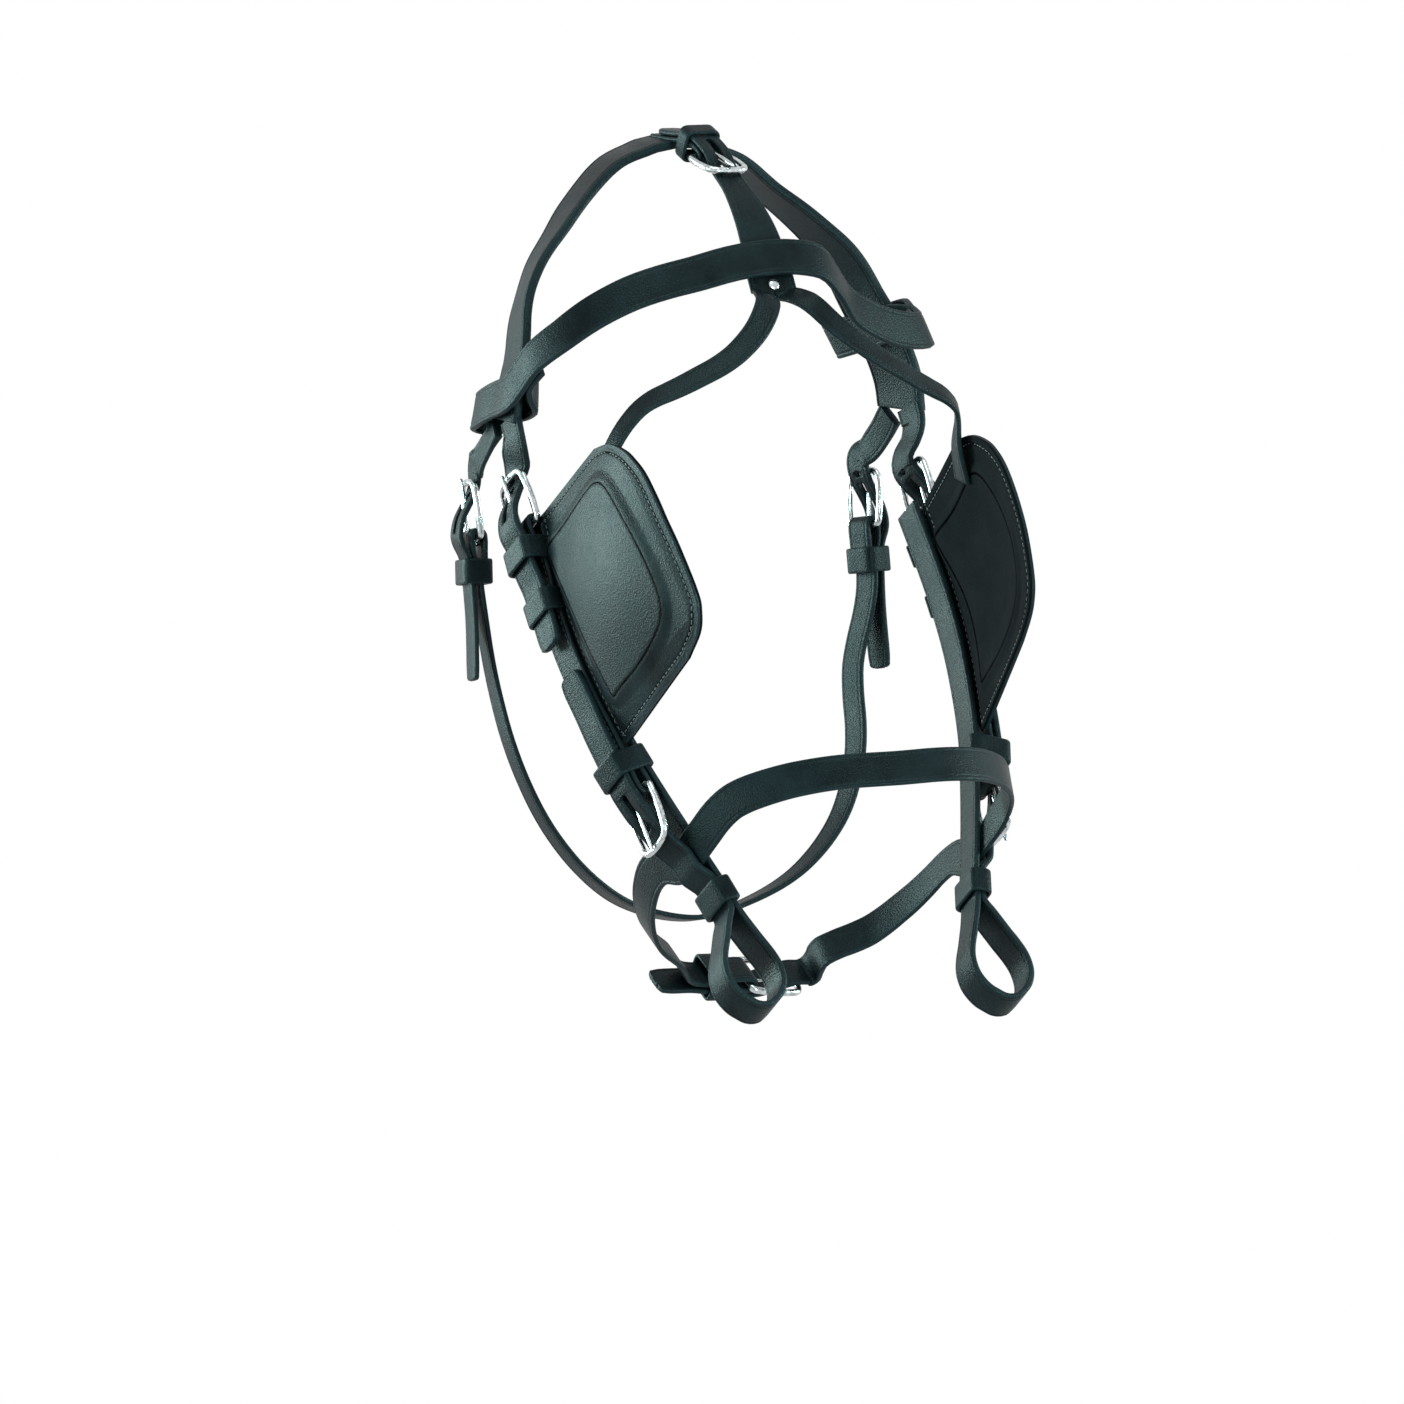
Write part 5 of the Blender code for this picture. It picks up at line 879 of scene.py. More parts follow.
def winker_seat_points(side):
    """Two centres of a stay arm where it is sewn inside the top front corner of a winker."""
    points = []
    for step in (0, 1):
        along = WINKER_TOP + ARM_SEAT_ALONG + ARM_SEAT_LAP * step
        across = ARM_SEAT_ACROSS - ARM_SEAT_LAP * step
        inside = winker_out(side, along, across) - WINKER_LINING - WINKER_PLATE / 2 - FIT_GAP
        points.append(cheek_point(side, along, inside - STAY_UNDER_GAP - STAY_LEATHER / 2, across))
    return points


def winker_normal(side):
    """Outward direction square to a winker at its top front corner."""
    corner, below, behind = (cheek_point(side, along, winker_out(side, along, across), across)
                             for along, across in ((0, ARM_SEAT_ACROSS), (ARM_SEAT_LAP, ARM_SEAT_ACROSS),
                                                   (0, ARM_SEAT_ACROSS - ARM_SEAT_LAP)))
    normal = unit(np.cross(below - corner, behind - corner))
    return normal if normal[1] * side > 0 else -normal


def stem_widths(stem):
    """The stem widens from its billet to the two arms side by side."""
    full = STEM_BAR_FORWARD + STAY_BUCKLE_LENGTH + NOSE_CORNER
    widths = np.interp(stem[:, 0], (full, BAND_FORWARD), (STAY_BILLET_WIDTH, STAY_ARM_WIDTH * 2))
    widths[0] = TIP_WIDTH
    widths[1] = mix(TIP_WIDTH, STAY_BILLET_WIDTH, STEM_TIP_SHARE)
    return widths


def stay_arm_line(side):
    """Centres and across directions of one arm of the stay, from the fork to its winker."""
    stem, down = stem_line()
    shares = ARM_RIGHT_SHARES if side < 0 else ARM_LEFT_SHARES
    start = stem[-1] + (0, side * STAY_ARM_WIDTH / 2, 0)
    free = [(ARM_FORWARD * forward, side * CROWN_HALF_WIDTH * half, -ARM_DROP * drop)
            for forward, half, drop in shares]
    centres = smooth_curve([start] + free + winker_seat_points(side))
    turn = np.linspace(0, 1, len(centres))[:, None] ** (1 if side < 0 else ARM_LEFT_TURN_POWER)
    normal = brow_normal() + (winker_normal(side) - brow_normal()) * turn
    return centres, unit(np.cross(np.gradient(centres, axis=0), normal))


def hanger_line():
    """Centres of the short strap on the crown, from its fold round the stay buckle's bar."""
    seat = stay_seat()
    fold = fold_line(seat, STAY_BAR, STAY_LEATHER, STAY_LEATHER / 2)
    rest = crown_top_rest()
    edge = CROWN_WIDTH / 2
    run = smooth_curve(np.vstack((seat.line(((0, STAY_OVER_BAR), (-FOLD_LENGTH / 2, STAY_OVER_BAR + FIT_GAP))),
                                  ((edge + FIT_GAP * 4, 0, rest + FIT_GAP), (edge / 2, 0, rest),
                                   (-HANGER_BACK, 0, rest)))), 2)
    return np.vstack((fold[:-1], run))


def throatlatch_line():
    """Centres and across directions of the throat strap, from its left fold to its right fold."""
    halves = []
    for side in (1, -1):
        seat = throat_seat(side)
        fold = fold_line(seat, THROAT_BAR, THROAT_LEATHER, THROAT_LEATHER / 2)
        run = [seat.at(*pair) for pair in folded_run(THROAT_LEATHER, THROAT_OVER_BAR)]
        low = [(THROAT_REACH * forward, side * THROAT_HALF_WIDTH * half, -THROAT_LOW * drop)
               for forward, half, drop in THROAT_SHARES]
        halves.append((fold[:-1], run + low))
    bottom = [(THROAT_REACH, 0, -THROAT_LOW)]
    run = smooth_curve(np.vstack((halves[0][1], bottom, halves[1][1][::-1])))
    centres = np.vstack((halves[0][0], run, halves[1][0][::-1]))
    left = throat_seat(1).across
    forward = left if left[0] > 0 else -left
    share = np.clip(centres[:, 1:2] / THROAT_BAR_HALF_WIDTH, -1, 1)
    across = np.column_stack((np.full(len(centres), forward[0]), forward[1] * share[:, 0],
                              np.full(len(centres), forward[2])))
    return centres, across


def noseband_crossing(side):
    """Centre of the noseband where it passes between the layers of a cheek."""
    return cheek_point(side, NOSEBAND_PLACE, NOSEBAND_OUT)


def noseband_seat():
    """Seat of the noseband buckle under the jaw, its nose end pointing to the left."""
    crossing = noseband_crossing(1)
    rear = np.array((-NOSE_REAR_REACH, 0, -NOSE_REAR_DROP))
    origin = crossing * (1, 0, 1) + rear + (0, NOSE_BAR_OFFSET, 0)
    return Seat(origin, (0, 1, 0), (-math.cos(JAW_LEAN), 0, -math.sin(JAW_LEAN)))


def noseband_points(side, shares):
    """Points of the noseband from given shares of its reach, half width and rise."""
    crossing = noseband_crossing(side)
    return [(crossing[0] + NOSE_REACH * forward, crossing[1] * half, crossing[2] + NOSE_RISE * rise)
            for forward, half, rise in shares]


def noseband_rear(side):
    """Points of the noseband from its crossing back under the jaw."""
    crossing = noseband_crossing(side)
    return [(crossing[0] - NOSE_REAR_REACH * back, crossing[1] * half, crossing[2] - NOSE_REAR_DROP * drop)
            for back, half, drop in NOSE_REAR_SHARES]


def noseband_climb():
    """The noseband billet's rise through its buckle."""
    return climb_line(THROAT_BAR, THROAT_LEATHER, THROAT_LEATHER, BUCKLE_LENGTH, THROAT_NOSE_RISE)


def noseband_line():
    """Centres and across directions of the noseband, from its fold to its tip."""
    seat = noseband_seat()
    leather = THROAT_LEATHER
    level = np.array((math.sin(NOSE_LEAN), 0, -math.cos(NOSE_LEAN)))
    jaw = np.array((math.sin(JAW_LEAN), 0, -math.cos(JAW_LEAN)))
    crossing = {side: cheek_seat(side, NOSEBAND_PLACE).along for label, side in SIDES}
    fold = fold_line(seat, THROAT_BAR, leather, leather / 2)[:-1]
    start = [seat.at(*pair) for pair in folded_run(leather, THROAT_OVER_BAR)]
    climb = noseband_climb()
    end = [seat.at(climb[0][0] + NOSE_LEAD, climb[0][1])] + [seat.at(*pair) for pair in climb]
    end += [seat.at(*pair) for pair in billet_rest(leather, NOSE_KEEPER_BACK, NOSE_TIP_BACK)]
    points, across = list(start), [jaw] * len(start)
    for side, front_shares in ((-1, NOSE_RIGHT_SHARES), (1, NOSE_LEFT_SHARES)):
        rear = noseband_rear(side)[::-1]
        front = noseband_points(side, front_shares)
        level_run = np.array(CHEEK_ACROSS) * STRAP_WIDTH / 2
        middle = noseband_crossing(side)
        stretch = rear + [middle - level_run, middle + level_run] + front
        hints = [mix(jaw, crossing[side], share) for share in np.linspace(JAW_TWIST_SHARE, 1, len(rear))]
        hints += [crossing[side]] * 2
        hints += [mix(crossing[side], level, share) for share in np.linspace(NOSE_TWIST_SHARE, 1, len(front))]
        if side < 0:
            points += stretch + noseband_points(side, ((1, 0, 1),))
            across += hints + [level]
        else:
            points += stretch[::-1]
            across += hints[::-1]
    points += end
    across += [jaw] * len(end)
    run = with_tip(smooth_curve(points))
    hints = spread(across)
    hints = np.vstack((hints, np.repeat(hints[-1:], len(run) - len(hints), axis=0)))
    centres = np.vstack((fold, run))
    return centres, np.vstack((np.repeat(hints[:1], len(fold), axis=0), hints))

# ---- sizes of the surface detail -----------------------------------------------------------------
SAME_PLACE = 1e-7
END_ROUND = 0.0008
END_PLACE_SHARES = (0.0, 0.3, 0.6, 0.85, 1.0)
END_FALL_SHARES = (0.0, 0.3, 0.6, 0.85, 0.985)
LEAST_HALF_WIDTH = 0.0002
TIP_LAST_ANGLE = 0.12
TIP_ROWS = 5
WIRE_ROUND_SIDES = 16
TONGUE_ROUND_SIDES = 12
RIVET_ROUND_SIDES = 32
PUNCH_SIDES = 24
FORK_THINNING_SHARES = (0.0, 0.45, 0.85, 1.0)
PUNCH_REACH = 0.004
TONGUE_HOLE = 0.018
TONGUE_HOLE_LEAD = 0.0045
HOLE_RADIUS = 0.0017
CHEEK_EXTRA_HOLE = -0.030
THROAT_EXTRA_HOLE = -0.028
WINKER_STEPS = 15
PANEL_POINTS = (
    (0.0185, 0.0680), (0.0190, 0.0785), (0.0250, 0.0865), (0.0400, 0.0930), (0.0620, 0.0990), (0.0820, 0.1005),
    (0.0965, 0.0975), (0.1035, 0.0900), (0.1070, 0.0760), (0.1088, 0.0560), (0.1077, 0.0350), (0.1077, 0.0265),
    (0.1077, 0.0230), (0.1030, 0.0230), (0.0900, 0.0235), (0.0600, 0.0230), (0.0400, 0.0185), (0.0250, 0.0145),
    (0.0190, 0.0130), (0.0180, 0.0170), (0.0202, 0.0400),
)
PANEL_CUTS = 3
PANEL_RISE = 0.0018
PANEL_SHOULDER = 0.0070
GROOVE_DEPTH = 0.00025
GROOVE_HALF = 0.0008
WINKER_STITCH_INSET = 0.0040
EDGE_WEAR_HIGHLIGHT_REACH = 0.0015
PLATE_SLOPE = 0.006
KEEPER_CORNER = 0.0026
KEEPER_SPACING = 0.0006
STITCH_PITCH = 0.0036
STITCH_LENGTH = 0.0030
THREAD_RADIUS = 0.00033
# Rows of a stitch: (place along it, swell, sink), as shares of its length and of the thread's radius.
BEAD_SHARES = ((-0.5, 0.25, -0.9), (-0.36, 0.85, -0.1), (0.0, 1.0, 0.15), (0.36, 0.85, -0.1),
               (0.5, 0.25, -0.9))
BEAD_SIDES = 6
STITCH_LIFT_SHARE = 0.86
SEWN_POINTS = 400
BLOCK_POINTS = 4000
STRAP_STITCH_INSET = 0.00235
LAP_STITCHES = 0.034
BAND_TACK_ROWS = ((0.013, 0.026), (0.019, 0.037))

# ---- sizes of the patterns in the finishes, in millimetres ----------------------------------------
CLOUD_MM = 22.0
CREASE_MM = 2.2
HAZE_MM = 3.0
TWIST_MM = 0.5

# ---- finishes that the panel doesn't set ---------------------------------------------------------
SPECULAR_TINT = "#d8f2f2"
LINING_ROUGHNESS = 0.7
LINING_GLOSS_SHARE = 0.3

# ---- stage ---------------------------------------------------------------------------------------
FLOOR_HEIGHT = -0.62
FLOOR_REACH = 6.0
LAMP_COLOUR = "#d2f4f2"
LAMP_TARGET = (0.10, 0.0, -0.22)
LAMPS = (
    ("rear_left_lamp", (-1.20, -1.00, -0.20), (0.6, 1.1), 54.0),
    ("left_lamp", (0.00, -1.70, 0.10), (0.4, 0.8), 34.0),
    ("front_lamp", (1.70, -0.15, 0.00), (0.3, 0.8), 32.0),
    ("right_lamp", (0.70, 1.50, 0.10), (0.35, 0.8), 34.0),
    ("top_lamp", (0.30, 0.00, 1.50), (0.7, 0.7), 20.0),
)
VIEW_PIVOT = (0.106, 0.0, -0.250)
VIEW_TURN = (30.0, 5.5, 1.4)
VIEW_SHIFT = (0.032, 0.014)
VIEW_WIDTH = 0.693576
VIEW_DISTANCE = 3.0

# ---- fine surfaces ---------------------------------------------------------------------------

def refine(centres, columns, steps):
    """Denser centres and columns, on cubic spans through every row."""
    chords = np.linalg.norm(np.diff(centres, axis=0), axis=1)
    keep = np.concatenate(([True], chords > SAME_PLACE))
    centres, columns = centres[keep], columns[keep]
    chords = np.linalg.norm(np.diff(centres, axis=0), axis=1)[:, None]
    dense = spans_through(np.hstack((centres, columns)), chords, steps)
    return dense[:, :3], dense[:, 3:]


def row_directions(centres, closed=False):
    """Unit direction of a line of centres at each of them, from the centre before to the one after."""
    if closed:
        return unit(np.roll(centres, -1, axis=0) - np.roll(centres, 1, axis=0))
    ahead = np.vstack((centres[1:], centres[-1:]))
    behind = np.vstack((centres[:1], centres[:-1]))
    return unit(ahead - behind)


def strap_profile(creased):
    """One quarter of a strap's cross-section: (inset from the edge, share of the half thickness, edge wear with a
    painted highlight).
    """
    rows = [(0.0, 0.0, 1.0), (0.00008, 0.36, 1.0), (0.00026, 0.66, 1.0), (0.00055, 0.87, 0.85),
            (0.00095, 0.975, 0.4), (0.0014, 1.0, 0.1)]
    if creased:
        rows += [(0.0018, 0.985, 0.1), (0.0021, 0.90, 0.2), (0.00235, 0.84, 0.25), (0.0026, 0.90, 0.2),
                 (0.0029, 0.985, 0.05)]
    rows += [(0.0034, 1.0, 0.0)]
    return np.array(rows)


def strap_section(creased, back_creased=False):
    """The closed cross-section as columns: side of the strap, inset, height share, edge wear with a painted
    highlight.
    """
    face = strap_profile(creased)
    back = strap_profile(back_creased)
    flat = np.array(((0.0, -1.0, 0.0),))
    front_up = np.column_stack((np.ones(len(face)), face))
    middle_up = np.array(((0.0, 0.0, 1.02, 0.0),))
    rear_up = front_up[::-1] * (-1, 1, 1, 1)
    rear_down = np.column_stack((-np.ones(len(back)), back))[1:] * (1, 1, -1, 1)
    middle_down = np.array(((0.0, 0.0, -1.0, 0.0),))
    front_down = np.column_stack((np.ones(len(back)), back))[1:][::-1] * (1, 1, -1, 1)
    return np.vstack((front_up, middle_up, rear_up, rear_down, middle_down, front_down))


def make_piece(name, places, faces, finish, wear_and_painted_light=None, sharp=None):
    """A mesh object from arrays of places and faces, shaded smooth, with its wear and painted light as an attribute.
    """
    mesh = bpy.data.meshes.new(name)
    mesh.from_pydata(places, [], faces)
    mesh.shade_smooth()
    if sharp:
        mesh.set_sharp_from_angle(angle=math.radians(sharp))
    if wear_and_painted_light is not None:
        # The attribute holds edge wear with a painted highlight above zero and painted shade in sewn grooves below
        # zero.
        layer = mesh.attributes.new("edge_wear_highlight_shade", "FLOAT", "POINT")
        layer.data.foreach_set("value", np.asarray(wear_and_painted_light, dtype=np.float32))
    mesh.materials.append(finish)
    item = bpy.data.objects.new(name, mesh)
    bpy.context.scene.collection.objects.link(item)
    tidy_normals(item)
    return item


def grid_faces(rows, columns, wrap_rows=False, wrap_columns=True, first=0):
    """Quads of a grid of rows x columns points, joined round its columns, and round its rows if asked."""
    row = np.arange(rows if wrap_rows else rows - 1)[:, None]
    column = np.arange(columns if wrap_columns else columns - 1)[None, :]
    next_row, next_column = (row + 1) % rows, (column + 1) % columns
    quads = np.stack((row * columns + column, row * columns + next_column,
                      next_row * columns + next_column, next_row * columns + column), axis=-1)
    return quads.reshape(-1, 4) + first


def refine_line(centres, columns, steps, closed):
    """Denser centres and columns of an open line, or of a closed one, which first runs on past its ends."""
    if not closed:
        return refine(centres, columns, steps)
    count = len(centres) * steps
    centres, columns = refine(np.vstack((centres,) * 3), np.vstack((columns,) * 3), steps)
    return centres[count:2 * count], columns[count:2 * count]


def running_length(line):
    """How far along a line each of its points lies."""
    return np.concatenate(([0], np.cumsum(np.linalg.norm(np.diff(line, axis=0), axis=1))))


def sampled(places, run, line):
    """The points of a line at places along it, from how far along each of its own points lies."""
    return np.stack([np.interp(places, run, column) for column in line.T], axis=-1)


def square_to(vectors, along):
    """The vectors without what they have along a direction, at length one."""
    return unit(vectors - along * np.sum(vectors * along, axis=1, keepdims=True))


def tube_faces(rows, columns, closed=False):
    """Faces round a tube of rows of points, with a face on each end unless the tube is a ring."""
    faces = [tuple(face) for face in grid_faces(rows, columns, wrap_rows=closed)]
    if not closed:
        faces.append(tuple(range(columns - 1, -1, -1)))
        faces.append(tuple(range((rows - 1) * columns, rows * columns)))
    return faces


def strap_shell(centres, across, widths, thickness, section, closed=False, steps=3):
    """A strap as a surface: the cross-section carried along its centres, rounded off at each end.

    A point is centre + across * side * (half width - inset) + outward * height share * half thickness.
    """
    centres = np.asarray(centres, dtype=float)
    widths = np.broadcast_to(np.asarray(widths, dtype=float), len(centres))
    thickness = np.broadcast_to(np.asarray(thickness, dtype=float), len(centres))
    columns = np.column_stack((np.broadcast_to(across, centres.shape), widths, thickness))
    centres, columns = refine_line(centres, columns, steps, closed)
    along = row_directions(centres, closed)
    across = square_to(columns[:, :3], along)
    outward = np.cross(along, across)
    half_width, half_thick = columns[:, 3] / 2, columns[:, 4] / 2
    if not closed:
        ends = END_ROUND * np.array(END_PLACE_SHARES)
        fall = np.sqrt(1 - np.array(END_FALL_SHARES) ** 2)
        for where, direction in ((0, -1), (-1, 1)):
            shift = direction * along[where] * (ends[:, None] - END_ROUND)
            cap = [np.repeat(values[where][None], len(ends), axis=0) for values in (across, outward, along)]
            parts = [(centres[where] + shift, centres), (cap[0], across), (cap[1], outward), (cap[2], along),
                     (half_width[where] - END_ROUND * (1 - fall), half_width),
                     (half_thick[where] * fall, half_thick)]
            order = slice(None, None, direction)
            cut = slice(1, None) if where == 0 else slice(None, -1)
            centres, across, outward, along, half_width, half_thick = [
                np.concatenate((new[order], old[cut]) if where == 0 else (old[cut], new[order]))
                for new, old in parts]
    side, inset, height, wear_and_painted_light = section.T
    spread_out = side[None, :] * np.maximum(half_width[:, None] - inset[None, :], LEAST_HALF_WIDTH)
    spread_out = np.where(side[None, :] == 0, 0, spread_out)
    lift = height[None, :] * half_thick[:, None]
    places = centres[:, None] + across[:, None] * spread_out[..., None] + outward[:, None] * lift[..., None]
    rows, count = places.shape[:2]
    return places.reshape(-1, 3), tube_faces(rows, count, closed), np.tile(wear_and_painted_light, rows)


def joined_shells(shells):
    """Several closed shells as one list of places, faces and wear with painted light."""
    places, faces, wears_and_painted_light, first = [], [], [], 0
    for place, face, wear_and_painted_light in shells:
        places.append(place)
        faces += [tuple(index + first for index in corner) for corner in face]
        wears_and_painted_light.append(wear_and_painted_light)
        first += len(place)
    return np.vstack(places), faces, np.concatenate(wears_and_painted_light)


def wire_shell(centres, flat, radius, closed=True, sides=WIRE_ROUND_SIDES, steps=3):
    """A round wire: a circle square to each centre's direction, carried along the line."""
    radius = np.broadcast_to(np.asarray(radius, dtype=float), len(centres))
    flats = np.broadcast_to(np.asarray(flat, dtype=float), (len(centres), 3))
    centres, columns = refine_line(centres, np.column_stack((flats, radius)), steps, closed)
    along = row_directions(centres, closed)
    flat = square_to(columns[:, :3], along)
    sideways = np.cross(along, flat)
    turn = 2 * math.pi * np.arange(sides) / sides
    ring = np.cos(turn)[None, :, None] * flat[:, None] + np.sin(turn)[None, :, None] * sideways[:, None]
    radius = columns[:, 3]
    if not closed:
        angles = np.linspace(math.pi / 2, TIP_LAST_ANGLE, TIP_ROWS)
        tip, grow = np.sin(angles), np.cos(angles) * radius[-1]
        centres = np.vstack((centres, centres[-1] + along[-1] * grow[1:, None]))
        ring = np.concatenate((ring, np.repeat(ring[-1:], TIP_ROWS - 1, axis=0)))
        radius = np.concatenate((radius, radius[-1] * tip[1:]))
    places = centres[:, None] + ring * radius[:, None, None]
    rows = len(places)
    return places.reshape(-1, 3), tube_faces(rows, sides, closed), np.zeros(rows * sides)


def stitch_row(line, normals):
    """Stitches along a line: short beads at even steps, each a round section that swells to its middle."""
    line = np.asarray(line, dtype=float)
    run = running_length(line)
    places = np.arange(STITCH_PITCH / 2, run[-1] - STITCH_PITCH / 4, STITCH_PITCH)
    middle = sampled(places, run, line)
    normal = unit(sampled(places, run, normals))
    along = unit(sampled(places + STITCH_PITCH / 4, run, line) - middle)
    normal = square_to(normal, along)
    sideways = np.cross(normal, along)
    stations, swell, sink = np.array(BEAD_SHARES).T * ((STITCH_LENGTH,), (THREAD_RADIUS,), (THREAD_RADIUS,))
    turn = 2 * math.pi * np.arange(BEAD_SIDES) / BEAD_SIDES
    bead_along = np.repeat(stations, BEAD_SIDES)
    bead_side = (swell[:, None] * np.cos(turn)).ravel()
    bead_up = (swell[:, None] * np.sin(turn) + sink[:, None]).ravel()
    points = (middle[:, None] + along[:, None] * bead_along[None, :, None]
              + sideways[:, None] * bead_side[None, :, None] + normal[:, None] * bead_up[None, :, None])
    size = len(bead_along)
    bead = [tuple(face[::-1]) for face in tube_faces(len(stations), BEAD_SIDES)]
    faces = [tuple(index + size * number for index in face) for number in range(len(points)) for face in bead]
    return points.reshape(-1, 3), faces, np.zeros(len(points) * size)


def punch(item, centre, axis, along, half_length, half_width):
    """Punch an oblong hole through a piece with a straight-sided cutter of rounded outline."""
    axis, along = unit(np.array(axis, dtype=float)), unit(np.array(along, dtype=float))
    side = np.cross(axis, along)
    turn = 2 * math.pi * (np.arange(PUNCH_SIDES) + 0.5) / PUNCH_SIDES
    straight = (half_length - half_width) * np.sign(np.cos(turn))
    outline = np.outer(half_width * np.cos(turn) + straight, along) + np.outer(half_width * np.sin(turn), side)
    places = np.vstack((centre + outline - axis * PUNCH_REACH, centre + outline + axis * PUNCH_REACH))
    mesh = bpy.data.meshes.new("punch")
    mesh.from_pydata(places, [], tube_faces(2, PUNCH_SIDES))
    cutter = bpy.data.objects.new("punch", mesh)
    bpy.context.scene.collection.objects.link(cutter)
    tidy_normals(cutter)
    modifier = item.modifiers.new("punch", "BOOLEAN")
    modifier.operation = "DIFFERENCE"
    modifier.solver = "EXACT"
    modifier.object = cutter
    settle(item)
    bpy.data.objects.remove(cutter, do_unlink=True)


def settle(item):
    """Apply a piece's modifiers to its mesh."""
    evaluated = item.evaluated_get(bpy.context.evaluated_depsgraph_get())
    mesh = bpy.data.meshes.new_from_object(evaluated)
    item.modifiers.clear()
    item.data = mesh


# ---- materials -------------------------------------------------------------------------------

def linear(code):
    """An sRGB hex colour as a linear RGBA value."""
    parts = [int(code[place:place + 2], 16) / 255 for place in (1, 3, 5)]
    return tuple(part / 12.92 if part <= 0.04045 else ((part + 0.055) / 1.055) ** 2.4
                 for part in parts) + (1.0,)


def add_node(tree, kind, settings=None, **links):
    """Add a node with its settings; a link is a socket, and anything else is set on the input.

    Stops are (place, sRGB hex) pairs of a colour ramp. An input is named, or numbered as in i0.
    """
    node = tree.nodes.new(kind)
    for name, value in (settings or {}).items():
        if name == "stops":
            for element, (place, code) in zip(node.color_ramp.elements, value):
                element.position, element.color = place, linear(code)
        else:
            setattr(node, name, value)
    for name, value in links.items():
        numbered = name[0] == "i" and name[1:].isdigit()
        socket = node.inputs[int(name[1:]) if numbered else name.replace("_", " ")]
        if isinstance(value, bpy.types.NodeSocket):
            tree.links.new(value, socket)
        else:
            socket.default_value = value
    return node


def new_material(name, **values):
    """An empty material with one Principled shader and its output; returns it, its tree and the shader."""
    material = bpy.data.materials.new(name)
    material.use_nodes = True
    tree = material.node_tree
    tree.nodes.clear()
    shader = add_node(tree, "ShaderNodeBsdfPrincipled")
    for key, value in values.items():
        shader.inputs[key.replace("_", " ")].default_value = value
    add_node(tree, "ShaderNodeOutputMaterial", Surface=shader.outputs["BSDF"])
    return material, tree, shader


def leather_material(name, deep, lit, worn_and_highlit, rough, grain, gloss):
    """Dyed and waxed bridle leather: vegetable-tanned hide, dyed through and burnished at its edges.

    The eye sees a near-black with a slight green-blue cast, cloudy lighter patches about 22 mm wide, a fine
    pored grain, edges a little paler as wear and as a painted highlight, and painted shade in sewn grooves.
    """
    material, tree, shader = new_material(name, IOR=1.5, Specular_Tint=linear(SPECULAR_TINT))
    place = add_node(tree, "ShaderNodeTexCoord").outputs["Object"]
    cloud = add_node(tree, "ShaderNodeTexNoise", Vector=place, Scale=1000 / CLOUD_MM, Detail=3.0,
                     Roughness=0.55)
    pores = add_node(tree, "ShaderNodeTexVoronoi", Vector=place, Scale=1000 / grain)
    fine = add_node(tree, "ShaderNodeTexNoise", Vector=place, Scale=1000 / (grain * 0.45), Detail=2.0)
    creases = add_node(tree, "ShaderNodeTexNoise", Vector=place, Scale=1000 / CREASE_MM, Detail=4.0,
                       Roughness=0.7, Distortion=1.2)
    body = add_node(tree, "ShaderNodeValToRGB", {"stops": ((0.30, deep), (0.72, lit))},
                    Fac=cloud.outputs["Fac"]).outputs["Color"]
    speckle = add_node(tree, "ShaderNodeMapRange", Value=fine.outputs["Fac"], From_Min=0.3, From_Max=0.75,
                       To_Min=0.72, To_Max=1.3)
    body = add_node(tree, "ShaderNodeMix", {"data_type": "RGBA", "blend_type": "MULTIPLY"},
                    i0=1.0, i6=body, i7=speckle.outputs["Result"]).outputs[2]
    # The attribute is edge wear with a painted highlight above zero, and painted shade in sewn grooves below zero.
    wear_and_painted_light = add_node(tree, "ShaderNodeAttribute", {"attribute_name": "edge_wear_highlight_shade"}).outputs["Fac"]
    # Edges and creases mix toward the paler colour: partly wear, partly a painted highlight.
    rubbed_and_highlit = add_node(tree, "ShaderNodeMath", {"operation": "MULTIPLY"}, i0=wear_and_painted_light, i1=creases.outputs["Fac"])
    colour = add_node(tree, "ShaderNodeMix", {"data_type": "RGBA"}, i0=rubbed_and_highlit.outputs[0], i6=body,
                      i7=linear(worn_and_highlit))
    # Wear below zero marks a sewn groove, where painted shade darkens the colour and takes away the shine.
    unshaded_share = add_node(tree, "ShaderNodeMapRange", Value=wear_and_painted_light, From_Min=-1.0, From_Max=0.0)
    groove_shade_painted = add_node(tree, "ShaderNodeMix", {"data_type": "RGBA", "blend_type": "MULTIPLY"}, i0=1.0,
                    i6=colour.outputs[2], i7=unshaded_share.outputs["Result"])
    tree.links.new(groove_shade_painted.outputs[2], shader.inputs["Base Color"])
    shine = add_node(tree, "ShaderNodeMath", {"operation": "MULTIPLY"}, i0=unshaded_share.outputs["Result"],
                     i1=gloss)
    tree.links.new(shine.outputs[0], shader.inputs["Specular IOR Level"])
    sheen = add_node(tree, "ShaderNodeMapRange", Value=cloud.outputs["Fac"], From_Min=0.3, From_Max=0.7,
                     To_Min=rough - 0.05, To_Max=rough + 0.07)
    tree.links.new(sheen.outputs["Result"], shader.inputs["Roughness"])
    relief = add_node(tree, "ShaderNodeMath", {"operation": "MULTIPLY_ADD"}, i0=creases.outputs["Fac"],
                      i1=0.8, i2=pores.outputs["Distance"])
    bump = add_node(tree, "ShaderNodeBump", Height=relief.outputs[0], Strength=0.75, Distance=0.0002)
    tree.links.new(bump.outputs["Normal"], shader.inputs["Normal"])
    return material


